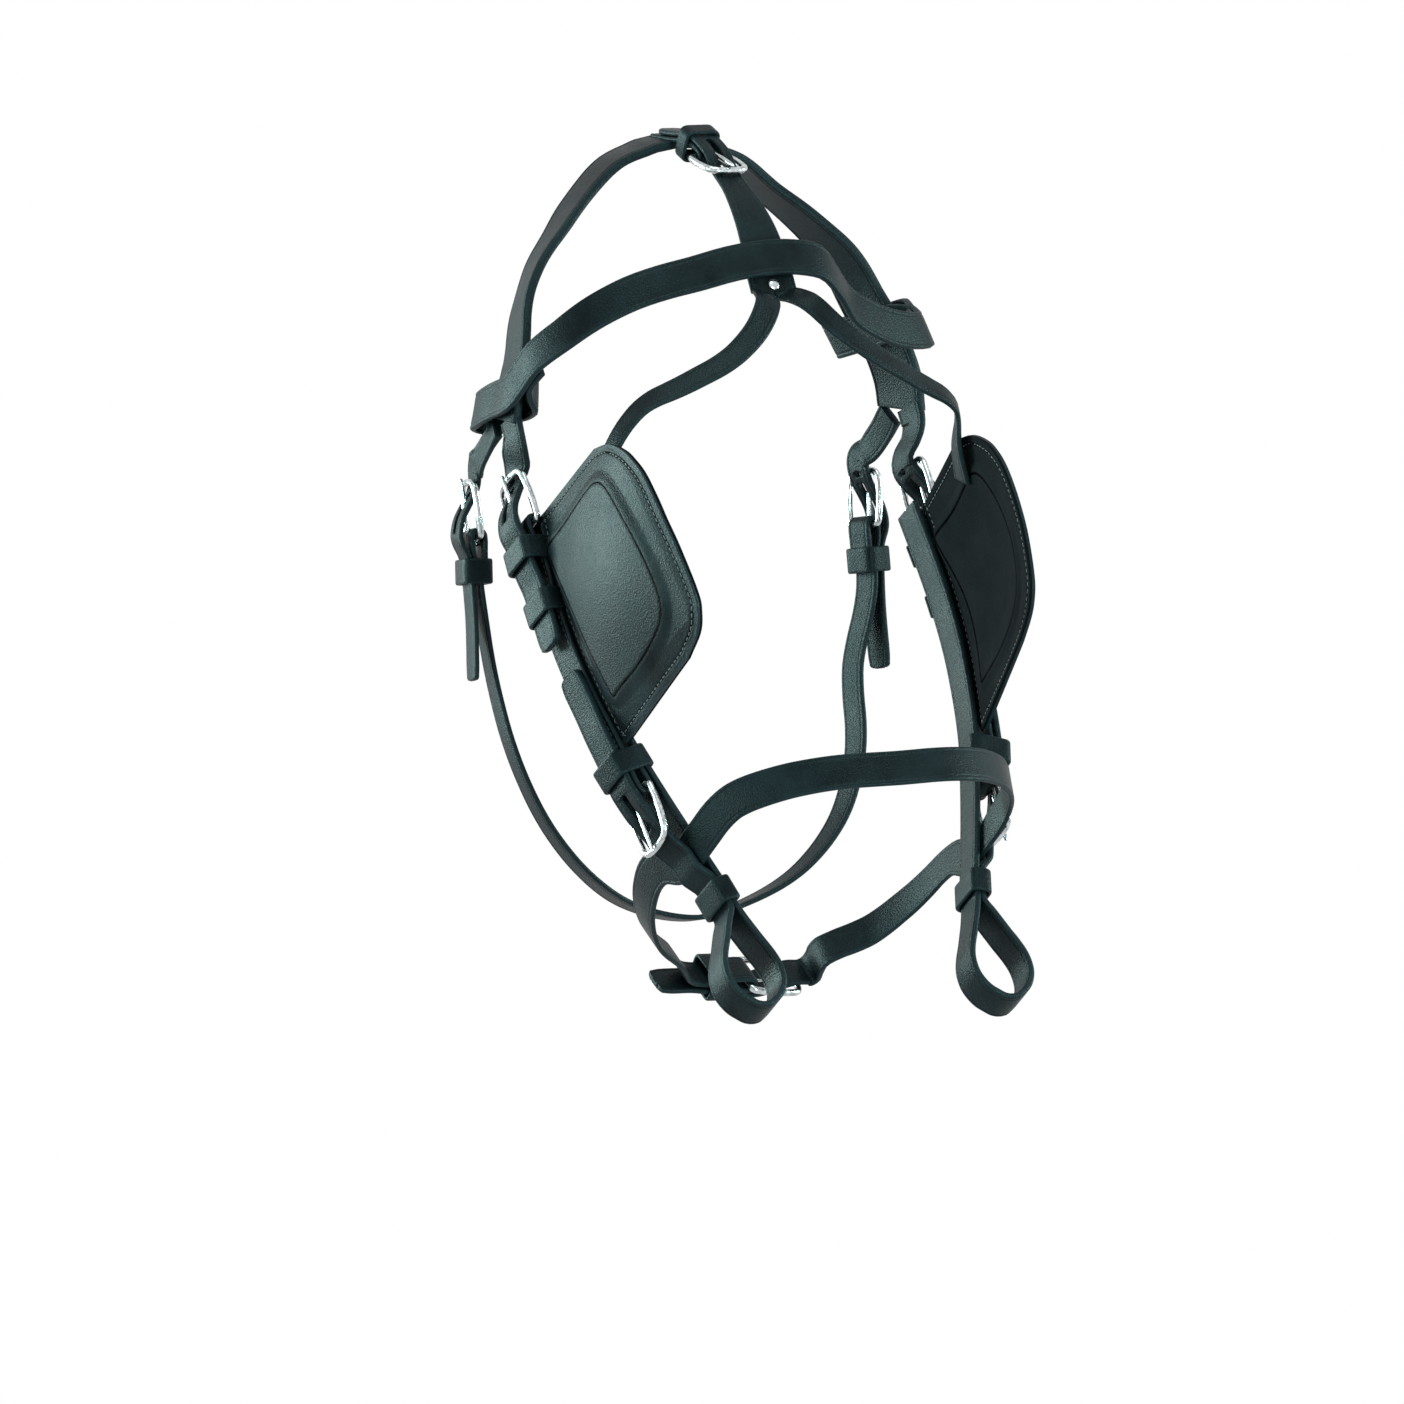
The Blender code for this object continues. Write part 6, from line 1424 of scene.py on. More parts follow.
def nickel_material(name):
    """Nickel-plated malleable iron: cast, tumbled and plated, a slightly cool mirror with soft flow marks.

    The eye sees bright, slightly wavy reflections, with faint hazy patches about 3 mm wide.
    """
    material, tree, shader = new_material(name, Metallic=1.0)
    place = add_node(tree, "ShaderNodeTexCoord").outputs["Object"]
    haze = add_node(tree, "ShaderNodeTexNoise", Vector=place, Scale=1000 / HAZE_MM, Detail=3.0)
    colour = add_node(tree, "ShaderNodeValToRGB", {"stops": ((0.35, "#9fa5a7"), (0.65, "#cdd2d3"))},
                      Fac=haze.outputs["Fac"])
    tree.links.new(colour.outputs["Color"], shader.inputs["Base Color"])
    rough = add_node(tree, "ShaderNodeMapRange", Value=haze.outputs["Fac"], From_Min=0.3, From_Max=0.7,
                     To_Min=0.12, To_Max=0.30)
    tree.links.new(rough.outputs["Result"], shader.inputs["Roughness"])
    flow = add_node(tree, "ShaderNodeTexNoise", Vector=place, Scale=1000 / (HAZE_MM * 0.6), Detail=1.0)
    bump = add_node(tree, "ShaderNodeBump", Height=flow.outputs["Fac"], Strength=0.15, Distance=0.0003)
    tree.links.new(bump.outputs["Normal"], shader.inputs["Normal"])
    return material


def thread_material(name):
    """Waxed linen harness thread: twisted, dyed black and rubbed with wax, a dull sheen on each twist."""
    material, tree, shader = new_material(name, Roughness=0.55, Sheen_Weight=0.15)
    place = add_node(tree, "ShaderNodeTexCoord").outputs["Object"]
    twist = add_node(tree, "ShaderNodeTexNoise", Vector=place, Scale=1000 / TWIST_MM, Detail=2.0)
    colour = add_node(tree, "ShaderNodeValToRGB", {"stops": ((0.35, "#06090a"), (0.7, "#2a3434"))},
                      Fac=twist.outputs["Fac"])
    tree.links.new(colour.outputs["Color"], shader.inputs["Base Color"])
    bump = add_node(tree, "ShaderNodeBump", Height=twist.outputs["Fac"], Strength=0.4, Distance=0.0002)
    tree.links.new(bump.outputs["Normal"], shader.inputs["Normal"])
    return material


def steel_material(name):
    """Cold-rolled sheet steel, cut and left plain: a grey metal with fine rolling lines."""
    material, tree, shader = new_material(name, Metallic=1.0)
    place = add_node(tree, "ShaderNodeTexCoord").outputs["Object"]
    lines = add_node(tree, "ShaderNodeMapping", Vector=place, Scale=(40.0, 40.0, 4000.0))
    rolled = add_node(tree, "ShaderNodeTexNoise", Vector=lines.outputs["Vector"], Scale=1.0, Detail=2.0)
    colour = add_node(tree, "ShaderNodeValToRGB", {"stops": ((0.3, "#777b7d"), (0.7, "#9ba0a2"))},
                      Fac=rolled.outputs["Fac"])
    tree.links.new(colour.outputs["Color"], shader.inputs["Base Color"])
    rough = add_node(tree, "ShaderNodeMapRange", Value=rolled.outputs["Fac"], To_Min=0.28, To_Max=0.5)
    tree.links.new(rough.outputs["Result"], shader.inputs["Roughness"])
    return material


# ---- pieces ----------------------------------------------------------------------------------

def dress(item, node, body="headstall"):
    """Let a finished piece stand for a CAD node, and ride on its body."""
    if node:
        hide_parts(node)
    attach(item, body)
    return item


def finishes():
    """The materials by name, made once."""
    looks = bpy.context.scene.bridle_finish
    if "bridle_leather" not in bpy.data.materials:
        leather_material("bridle_leather", looks.deep, looks.lit, looks.worn_and_highlit, looks.roughness, looks.grain,
                         looks.gloss)
        leather_material("winker_lining_leather", looks.lining, looks.deep, looks.deep, LINING_ROUGHNESS,
                         looks.grain, looks.gloss * LINING_GLOSS_SHARE)
        nickel_material("nickel_plate")
        thread_material("waxed_thread")
        steel_material("rolled_steel")
    return bpy.data.materials


CREASED = strap_section(True, True)
KEEPER_SECTION = strap_section(True, False)


def hole_in(item, seat, climb, bar, length, rise):
    """The hole that a buckle's tongue comes through, where the tongue crosses the billet."""
    slope = tongue_slope(length, rise)
    curl = WIRE_RADIUS + FIT_GAP + TONGUE_RADIUS
    places = np.linspace(0, length, 60)
    tongue = bar + curl / math.cos(slope) + places * math.tan(slope)
    strap = np.interp(places, [pair[0] for pair in reversed(climb)], [pair[1] for pair in reversed(climb)])
    nearest = np.argmin(np.abs(tongue - strap))
    ahead = min(nearest + 3, len(places) - 1)
    behind = max(nearest - 3, 0)
    lean = (strap[ahead] - strap[behind]) / (places[ahead] - places[behind])
    along = unit(seat.along + seat.out * lean)
    axis = unit(seat.out - seat.along * lean)
    middle = seat.at(places[nearest], strap[nearest]) - along * TONGUE_HOLE_LEAD / 2
    half_length = TONGUE_HOLE / 2 + TONGUE_HOLE_LEAD / 2
    punch(item, middle, axis, along, half_length, TONGUE_RADIUS + TONGUE_SLOT_GAP)


def strap_object(name, centres, across, widths, thickness):
    """A strap of bridle leather, creased along its edges on both faces."""
    places, faces, wear_and_painted_light = strap_shell(centres, across, widths, thickness, CREASED)
    return make_piece(name, places, faces, finishes()["bridle_leather"], wear_and_painted_light)


def build_crown():
    """The crownpiece: a trunk over the poll and four billets slit from its ends."""
    trunk = crown_trunk()
    pieces = [strap_object("crown_trunk", trunk, crown_across(trunk), crown_widths(trunk), CROWN_LEATHER)]
    for label, side in SIDES:
        legs = ((cheek_billet_line(), STRAP_WIDTH, LEATHER, CHEEK_EXTRA_HOLE,
                 (cheek_seat(side, 0, -1), upper_climb(), CHEEK_BAR, BUCKLE_LENGTH, UPPER_NOSE_RISE)),
                (throat_billet_line(), THROAT_WIDTH, THROAT_LEATHER, THROAT_EXTRA_HOLE,
                 (throat_seat(side), throat_climb(), THROAT_BAR, THROAT_BUCKLE_LENGTH, THROAT_NOSE_RISE)))
        for (centres, across), width, leather, extra, buckle in legs:
            thick = np.full(len(centres), leather)
            thick[:4] = mix(CROWN_LEATHER, leather, np.array(FORK_THINNING_SHARES))
            centres = mirrored(centres, -side)
            leg = strap_object("crown_leg", centres, mirrored(across, -side),
                               strap_widths(len(centres), width, 4), thick)
            hole_in(leg, *buckle)
            run = refine(centres, np.zeros((len(centres), 1)), 4)[0]
            punch_along(leg, run, extra, *buckle[:2])
            pieces.append(leg)
    return dress(join_pieces("crownpiece_leather", pieces), "crownpiece")


def punch_along(item, run, distance, seat, climb):
    """A round hole in a billet, this far along its line from where it passes over the bar."""
    nearest = np.argmin(np.linalg.norm(run - seat.at(*climb[-1]), axis=1))
    steps = running_length(run)
    place = steps[nearest] + distance
    centre = sampled(place, steps, run)
    along = unit(sampled(place + HOLE_RADIUS, steps, run) - centre)
    punch(item, centre, np.cross(along, seat.across), along, HOLE_RADIUS * 1.01, HOLE_RADIUS)


def join_pieces(name, pieces):
    """One object with the meshes of several, in order."""
    if len(pieces) > 1:
        with bpy.context.temp_override(active_object=pieces[0], selected_editable_objects=pieces,
                                       selected_objects=pieces):
            bpy.ops.object.join()
    item = pieces[0]
    item.name = name
    item.data.name = name
    return item


def shell_piece(name, shell, finish, node, body="headstall"):
    """One piece from a closed shell, standing for a node."""
    places, faces, wear_and_painted_light = shell
    return dress(make_piece(name, places, faces, finishes()[finish], wear_and_painted_light), node, body)


def build_browband():
    """The browband with its two loops."""
    dress(strap_object("browband_leather", *browband_line(), STRAP_WIDTH, LEATHER), "browband",
          "browband")


def build_stay():
    """The forked winker stay, whose arms turn to meet the winkers, and its hanger."""
    stem, down = stem_line()
    main = strap_object("winker_stay_stem", stem, (0, -1, 0), stem_widths(stem), STAY_LEATHER)
    hole_in(main, stay_seat(), stay_climb(), STAY_BAR, STAY_BUCKLE_LENGTH, THROAT_NOSE_RISE)
    dress(main, "winker_stay")
    for label, side in SIDES:
        centres, across = stay_arm_line(side)
        line = np.vstack((centres[:1] - down * STAY_LEATHER, centres))
        arm = strap_object("winker_stay_arm_" + label, line, np.vstack((across[:1], across)),
                           STAY_ARM_WIDTH, STAY_LEATHER)
        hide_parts("winker_stay")
        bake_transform(arm)
    hanger = strap_object("stay_hanger_leather", hanger_line(), (0, 1, 0), STAY_BILLET_WIDTH, STAY_LEATHER)
    dress(hanger, "stay_hanger")


def build_cheek(label, side):
    """Facing and long strap of one cheek."""
    facing = strap_object("cheek_facing_" + label + "_leather", facing_line(side), CHEEK_ACROSS,
                          STRAP_WIDTH, FACING_LEATHER)
    dress(facing, "cheek_facing_" + label)
    centres = cheek_strap_line(side)
    item = strap_object("cheek_strap_" + label + "_leather", centres, CHEEK_ACROSS,
                        strap_widths(len(centres), STRAP_WIDTH, 4), LEATHER)
    hole_in(item, cheek_seat(side, LOWER_BAR), lower_climb(), CHEEK_BAR, BUCKLE_LENGTH, LOWER_NOSE_RISE)
    dress(item, "cheek_strap_" + label)


def build_throat_and_nose():
    """Throatlatch and noseband."""
    throat = strap_object("throatlatch_leather", *throatlatch_line(), THROAT_WIDTH, THROAT_LEATHER)
    dress(throat, "throatlatch")
    centres, across = noseband_line()
    item = strap_object("noseband_leather", centres, across, strap_widths(len(centres), STRAP_WIDTH, 4),
                        THROAT_LEATHER)
    hole_in(item, noseband_seat(), noseband_climb(), THROAT_BAR, BUCKLE_LENGTH, THROAT_NOSE_RISE)
    dress(item, "noseband")


def softened(line, closed):
    """A band's centres evenly spaced, each place the mean of those within a keeper corner of it."""
    if closed:
        line = np.vstack((line, line[:1]))
    run = running_length(line)
    count = int(round(run[-1] / KEEPER_SPACING))
    places = np.arange(count) * run[-1] / (count if closed else count - 1)
    line = sampled(places, run, line)
    reach = int(round(KEEPER_CORNER / KEEPER_SPACING))
    index = np.arange(count)[:, None] + np.arange(-reach, reach + 1)
    if closed:
        return line[index % count].mean(axis=1)
    shifted = line[np.clip(index, 0, count - 1)].mean(axis=1)
    shifted[0], shifted[-1] = line[0], line[-1]
    return shifted


def build_keepers():
    """Keepers and runners: thin bands of leather, creased along both edges."""
    rows = [keeper for label, side in SIDES for keeper in keepers(label, side)] + list(middle_keepers())
    for name, seat, strap_width, low, high, width, ends in rows:
        closed = ends is None
        centres = softened(keeper_line(seat, strap_width, low, high, ends), closed)
        shell = strap_shell(centres, seat.along, width, KEEPER_LEATHER, KEEPER_SECTION, closed, steps=1)
        body = name if name.startswith("bit_runner") else "headstall"
        shell_piece(name + "_leather", shell, "bridle_leather", name, body)


def build_buckles():
    """Frames and tongues in round nickel-plated wire."""
    rows = [buckle for label, side in SIDES for buckle in buckles(label, side)] + list(middle_buckles())
    for name, seat, bar, strap_width, length, rise in rows:
        centres, flat = frame_line(seat, bar, strap_width, length, rise)
        shell_piece(name + "_frame_wire", wire_shell(centres, flat, WIRE_RADIUS), "nickel_plate",
                    name + "_frame")
        centres = tongue_line(seat, bar, length, rise)
        radius = np.full(len(centres), TONGUE_RADIUS)
        radius[-1] = TONGUE_TIP_RADIUS
        tongue = wire_shell(centres, seat.across, radius, closed=False, sides=TONGUE_ROUND_SIDES)
        shell_piece(name + "_tongue_wire", tongue, "nickel_plate", name + "_tongue",
                    name + "_tongue")


def cheek_surface(side, along, out, across):
    """Places on and off the cheek line for whole arrays: down it, out from it square, and across it."""
    slopes = np.gradient(CHEEK_LINE[:, 1], CHEEK_LINE[:, 0])
    slope = np.interp(along, CHEEK_LINE[:, 0], slopes)
    half = np.interp(along, CHEEK_LINE[:, 0], CHEEK_LINE[:, 1])
    length = np.sqrt(1 + slope ** 2)
    down = along - slope * out / length
    wide = half + out / length
    return np.stack((CHEEK_TOP_FORWARD + down * math.sin(CHEEK_LEAN) + across * math.cos(CHEEK_LEAN),
                     side * wide,
                     -CHEEK_TOP_DROP - down * math.cos(CHEEK_LEAN) + across * math.sin(CHEEK_LEAN)), axis=-1)


def finer(table, steps, straight=False):
    """A table of rows and columns with steps times as many, by cubic spans or straight ones."""
    for axis in (0, 1):
        table = np.moveaxis(table, axis, 0)
        count = len(table)
        place = np.arange((count - 1) * steps + 1) / steps
        low = np.minimum(place.astype(int), count - 2)
        share = (place - low).reshape(-1, *([1] * (table.ndim - 1)))
        if straight:
            table = table[low] * (1 - share) + table[low + 1] * share
        else:
            slope = np.gradient(table, axis=0)
            table = cubic_span(table[low], table[low + 1], slope[low], slope[low + 1], share)
        table = np.moveaxis(table, 0, axis)
    return table


def grid_outline(table):
    """The outer points of a table of points, once round."""
    return np.vstack((table[:, 0], table[-1, 1:], table[-2::-1, -1], table[0, -2:0:-1]))


def winker_outline():
    """The winker's edge as closed (along, across) points: down the seam, then up the front."""
    return grid_outline(finer(np.array(winker_grid(0, len(WINKER_ROW_SHARES))), WINKER_STEPS))


def winker_panel():
    """The line sewn round the stiffened middle of a winker: its corners cut off again and again."""
    line = np.array(PANEL_POINTS)
    for ignored in range(PANEL_CUTS):
        ahead = np.roll(line, -1, axis=0)
        line = np.stack((line * 0.75 + ahead * 0.25, line * 0.25 + ahead * 0.75), axis=1).reshape(-1, 2)
    return line


def distance_to(line, points):
    """Shortest distance from each point to a closed line, and whether the point is inside it."""
    start, end = line, np.roll(line, -1, axis=0)
    span = end - start
    shortest = np.full(len(points), 1.0)
    inside = np.zeros(len(points), dtype=bool)
    for first in range(0, len(points), BLOCK_POINTS):
        rows = slice(first, first + BLOCK_POINTS)
        block = points[rows, None]
        share = np.sum((block - start) * span, axis=-1) / np.maximum(np.sum(span * span, axis=-1), 1e-18)
        near = start + np.clip(share, 0, 1)[..., None] * span
        shortest[rows] = np.min(np.linalg.norm(block - near, axis=-1), axis=1)
        crosses = (start[:, 1] > block[..., 1]) != (end[:, 1] > block[..., 1])
        height = np.where(span[:, 1] == 0, 1, span[:, 1])
        reach = start[:, 0] + (block[..., 1] - start[:, 1]) * span[:, 0] / height
        inside[rows] = np.sum(crosses & (block[..., 0] < reach), axis=1) % 2 == 1
    return shortest, inside


def winker_relief(points):
    """Relief of the leather: raised a little inside the panel line, with a groove along each sewn line; and its wear
    and painted light.
    """
    to_edge, ignored = distance_to(winker_outline(), points)
    to_panel, inside = distance_to(winker_panel(), points)
    signed = np.where(inside, to_panel, -to_panel)
    share = np.clip(1 + signed / PANEL_SHOULDER, 0, 1)
    raised = PANEL_RISE * share ** 2 * (3 - 2 * share)
    groove = GROOVE_DEPTH * (np.exp(-(to_panel / GROOVE_HALF) ** 2)
                             + np.exp(-((to_edge - WINKER_STITCH_INSET) / GROOVE_HALF) ** 2))
    sewn = np.minimum(to_panel, np.abs(to_edge - WINKER_STITCH_INSET))
    # Painted shade: the colour darkens along each sewn line, for the shade in its groove.
    shade = np.clip(1.4 - sewn / GROOVE_HALF, 0, 1)
    # The band along the edge is paler, partly as wear and partly as a painted highlight.
    return raised - groove, np.clip(1 - to_edge / EDGE_WEAR_HIGHLIGHT_REACH, 0, 1) - shade


def winker_height(side, points, middle, padding):
    """How far the middle of a layer stands out at (along, across) places on it."""
    return winker_out(side, points[..., 0], points[..., 1]) + middle + padding


def winker_layer(name, side, low, high, face):
    """One leather of a winker: its middle surface on a fine grid, given its thickness and rounded edges."""
    count = len(WINKER_ROW_SHARES)
    table = finer(np.array(winker_grid(0, count)), WINKER_STEPS)
    shift = np.zeros((count, count))
    inner = slice(PLATE_INSET_COUNT, count - PLATE_INSET_COUNT)
    shift[inner, inner] = face * (WINKER_PLATE + FIT_GAP) / 2
    shift = finer(shift, WINKER_STEPS, straight=True)
    # The second result is edge wear with a painted highlight, less painted shade along the sewn lines.
    relief, wear_and_painted_light = winker_relief(table.reshape(-1, 2))
    relief, wear_and_painted_light = relief.reshape(shift.shape), wear_and_painted_light.reshape(-1)
    out = winker_height(side, table, (low + high) / 2, shift + relief * face)
    places = cheek_surface(side, table[..., 0], out, table[..., 1]).reshape(-1, 3)
    rows, columns = shift.shape
    faces = [tuple(quad) for quad in grid_faces(rows, columns, wrap_columns=False)]
    finish = finishes()["bridle_leather" if face > 0 else "winker_lining_leather"]
    item = make_piece(name + "_leather", places, faces, finish, wear_and_painted_light)
    thick = item.modifiers.new("thickness", "SOLIDIFY")
    thick.thickness = high - low
    thick.offset = 0
    rounding = item.modifiers.new("rounding", "BEVEL")
    rounding.width = (high - low) * 0.35
    rounding.segments = 2
    rounding.angle_limit = math.radians(60)
    settle(item)
    tidy_normals(item)
    item.data.shade_smooth()
    return dress(item, name, name.rsplit("_", 1)[0])


def sewn_line(side, line, middle, face, count):
    """A closed (along, across) line lifted onto a winker's face, with the direction off that face."""
    wrapped = np.vstack((line, line[:1]))
    run = running_length(wrapped)
    points = sampled(np.linspace(0, run[-1], count), run, wrapped)
    padding = face * (WINKER_PLATE + FIT_GAP) / 2 * over_plate(points)
    base = winker_height(side, points, middle, padding)
    lower = cheek_surface(side, points[:, 0], base, points[:, 1])
    raised = cheek_surface(side, points[:, 0], base + face * LEATHER, points[:, 1])
    return lower, unit(raised - lower)


def over_plate(points):
    """Share of the plate's padding under each (along, across) place: 1 inside it, falling to 0 beside it."""
    inset = PLATE_INSET_COUNT
    outline = grid_outline(np.array(winker_grid(inset, len(WINKER_ROW_SHARES) - inset)))
    distance, inside = distance_to(outline, points)
    return np.where(inside, 1.0, np.clip(1 - distance / PLATE_SLOPE, 0, 1))


def inset_line(line, distance):
    """A closed line moved inwards by a distance, along the mean of the directions square to its sides."""
    ahead = unit(np.roll(line, -1, axis=0) - line + 1e-9)
    behind = unit(line - np.roll(line, 1, axis=0) + 1e-9)
    along = unit(ahead + behind)
    normal = np.column_stack((-along[:, 1], along[:, 0]))
    moved = line + normal * distance
    ignored, inside = distance_to(line, moved[:1])
    return moved if inside[0] else line - normal * distance


def stitch_piece(name, lines, body="headstall"):
    """One piece of thread: the stitches along each (line, direction off the face) row."""
    places, faces, wear_and_painted_light = joined_shells([stitch_row(line, normal) for line, normal in lines])
    dress(make_piece(name, places, faces, finishes()["waxed_thread"]), None, body)


def build_winkers():
    """Both winkers: outer leather, lining and the two rows of stitches that hold them on the plate."""
    half_gap = FIT_GAP / 2
    for label, side in SIDES:
        name = "winker_" + label
        winker_layer(name + "_outer", side, half_gap, half_gap + WINKER_OUTER, 1)
        winker_layer(name + "_lining", side, -half_gap - WINKER_LINING, -half_gap, -1)
        finishes_plate(name + "_plate")
        lines = [sewn_line(side, line, top - face * GROOVE_DEPTH, face, SEWN_POINTS)
                 for line in (inset_line(winker_outline(), WINKER_STITCH_INSET), winker_panel())
                 for face, top in ((1, half_gap + WINKER_OUTER), (-1, -half_gap - WINKER_LINING))]
        stitch_piece(name + "_stitches", lines, name)


def finishes_plate(node):
    """Give a plate between the leathers its own steel."""
    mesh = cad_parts[node].data
    mesh.materials.clear()
    mesh.materials.append(finishes()["rolled_steel"])


def tidy_normals(item):
    """Turn a piece's faces outwards."""
    builder = bmesh.new()
    builder.from_mesh(item.data)
    bmesh.ops.recalc_face_normals(builder, faces=builder.faces)
    builder.to_mesh(item.data)
    builder.free()


def edge_rows(centres, across, widths, thickness, first, last, inset, face=1):
    """Lines just inside both edges of a strap between two of its rows, with the direction off its face."""
    along = row_directions(centres)
    across = square_to(np.broadcast_to(across, centres.shape), along)
    outward = np.cross(along, across) * face
    widths = np.broadcast_to(widths, len(centres))
    rows = []
    for edge in (1, -1):
        sideways = across * (widths / 2 - inset)[:, None] * edge
        line = centres + sideways + outward * (thickness / 2) * STITCH_LIFT_SHARE
        rows.append((line[first:last], outward[first:last]))
    return rows


def build_cheek_stitching():
    """Stitches down both edges of each cheek's outer layer, between its folds."""
    for label, side in SIDES:
        dense, ignored = refine(facing_line(side), np.zeros((len(facing_line(side)), 1)), 3)
        top = cheek_seat(side, 0).origin
        run = (dense - top) @ unit(cheek_seat(side, LOWER_BAR).origin - top)
        sewn = np.nonzero((run > FOLD_LENGTH) & (run < LOWER_BAR - FOLD_LENGTH))[0]
        lines = edge_rows(dense, CHEEK_ACROSS, STRAP_WIDTH, FACING_LEATHER, sewn[0], sewn[-1],
                          STRAP_STITCH_INSET, face_sign(dense, CHEEK_ACROSS, side))
        stitch_piece("cheek_facing_" + label + "_stitches", lines)


def build_band_stitching():
    """Stitches of the browband: along both edges of each loop's lap, and two short rows over the stay."""
    centres, across = browband_line()
    dense, columns = refine(centres, across, 3)
    run = running_length(dense)
    left_root = 3 * 2 * (len(browband_side(1)[0]) - 2)
    right_root = len(dense) - 1 - 3 * 2 * (len(browband_side(-1)[0]) - 2)
    spans = [(run[left_root], run[left_root] + LAP_STITCHES),
             (run[right_root] - LAP_STITCHES, run[right_root])]
    centre = run[np.argmin(np.abs(dense[:, 1]))]
    spans += [(centre + low, centre + high) for low, high in BAND_TACK_ROWS]
    sewn = []
    for number, (low, high) in enumerate(spans):
        picked = np.nonzero((run >= low) & (run <= high))[0]
        lines = edge_rows(dense, columns, STRAP_WIDTH, LEATHER, picked[0], picked[-1] + 1,
                          STRAP_STITCH_INSET, -1)
        sewn += lines if number < 2 else lines[number - 2:number - 1]
    stitch_piece("browband_stitches", sewn, "browband")


def face_sign(centres, across, side):
    """Which way a strap's outward direction faces: 1 away from the head, -1 towards it."""
    along = row_directions(centres)
    outward = np.cross(along, unit(np.broadcast_to(across, centres.shape)))
    middle = len(centres) // 2
    return 1 if outward[middle, 1] * side > 0 else -1


def build_rivet():
    """The stay's rivet: a turned profile of a low dome on each side, carried round its axis."""
    stem, down = stem_line()
    place = stem[-1] - down * RIVET_RISE
    axis = brow_normal()
    inside = STAY_LEATHER / 2 + FIT_GAP
    arc = np.linspace(0, math.pi / 2, 8)
    dome = np.column_stack((inside + RIVET_HEAD * np.sin(arc), RIVET_HEAD_RADIUS * np.cos(arc)))
    dome[-1, 1] = RIVET_RADIUS * 0.02
    shank = np.array(((-inside, RIVET_RADIUS), (inside, RIVET_RADIUS)))
    profile = np.vstack((dome[::-1] * (-1, 1), shank, dome))
    first = unit(np.cross(axis, (0, 1, 0)))
    second = np.cross(axis, first)
    turn = 2 * math.pi * np.arange(RIVET_ROUND_SIDES) / RIVET_ROUND_SIDES
    circle = np.cos(turn)[:, None] * first + np.sin(turn)[:, None] * second
    places = place + profile[:, None, :1] * axis + circle[None] * profile[:, None, 1:2]
    faces = tube_faces(len(profile), RIVET_ROUND_SIDES)
    item = make_piece("stay_rivet_dome", places.reshape(-1, 3), faces, finishes()["nickel_plate"], sharp=40)
    dress(item, "stay_rivet")


def build_floor():
    """A pale floor that shows white to the eye and in reflections, and is a white surface to all other light."""
    corners = FLOOR_REACH * np.array(((-1, -1), (1, -1), (1, 1), (-1, 1)))
    mesh = bpy.data.meshes.new("floor")
    mesh.from_pydata(np.column_stack((corners, np.full(4, FLOOR_HEIGHT))), [], [(0, 1, 2, 3)])
    floor = bpy.data.objects.new("floor", mesh)
    bpy.context.scene.collection.objects.link(floor)
    material, tree, shader = new_material("pale_floor", Base_Color=linear("#ffffff"), Roughness=0.8)
    output = next(node for node in tree.nodes if node.type == "OUTPUT_MATERIAL")
    glow = add_node(tree, "ShaderNodeEmission", Color=(1, 1, 1, 1),
                    Strength=bpy.context.scene.bridle_stage.floor_glow)
    both = add_node(tree, "ShaderNodeMixShader", i0=shown_ray(tree), i1=shader.outputs["BSDF"],
                    i2=glow.outputs[0])
    tree.links.new(both.outputs[0], output.inputs["Surface"])
    mesh.materials.append(material)


def shown_ray(tree):
    """One where a ray shows the background: seen straight, in a reflection or through glass."""
    path = add_node(tree, "ShaderNodeLightPath")
    seen = add_node(tree, "ShaderNodeMath", {"operation": "MAXIMUM"}, i0=path.outputs["Is Camera Ray"],
                    i1=path.outputs["Is Glossy Ray"])
    return add_node(tree, "ShaderNodeMath", {"operation": "MAXIMUM"}, i0=seen.outputs[0],
                    i1=path.outputs["Is Transmission Ray"]).outputs[0]


def build_surroundings():
    """White all round as it is seen, and soft light from all round on the bridle."""
    world = bpy.data.worlds.new("white_surroundings")
    world.use_nodes = True
    tree = world.node_tree
    tree.nodes.clear()
    strength = add_node(tree, "ShaderNodeMapRange", Value=shown_ray(tree),
                        To_Min=bpy.context.scene.bridle_stage.fill, To_Max=1.0)
    sky = add_node(tree, "ShaderNodeBackground", Color=(1, 1, 1, 1), Strength=strength.outputs["Result"])
    add_node(tree, "ShaderNodeOutputWorld", Surface=sky.outputs[0])
    bpy.context.scene.world = world


def build_lamps():
    """Soft lamps, each turned to the middle of the bridle."""
    scene = bpy.context.scene
    for name, place, size, power in LAMPS:
        lamp = bpy.data.lights.new(name, "AREA")
        lamp.shape = "RECTANGLE"
        lamp.size, lamp.size_y = size
        lamp.energy = power * scene.bridle_stage.lamp_share
        lamp.color = linear(LAMP_COLOUR)[:3]
        item = bpy.data.objects.new(name, lamp)
        item.location = place
        item.rotation_euler = (Vector(LAMP_TARGET) - Vector(place)).to_track_quat("-Z", "Y").to_euler()
        scene.collection.objects.link(item)


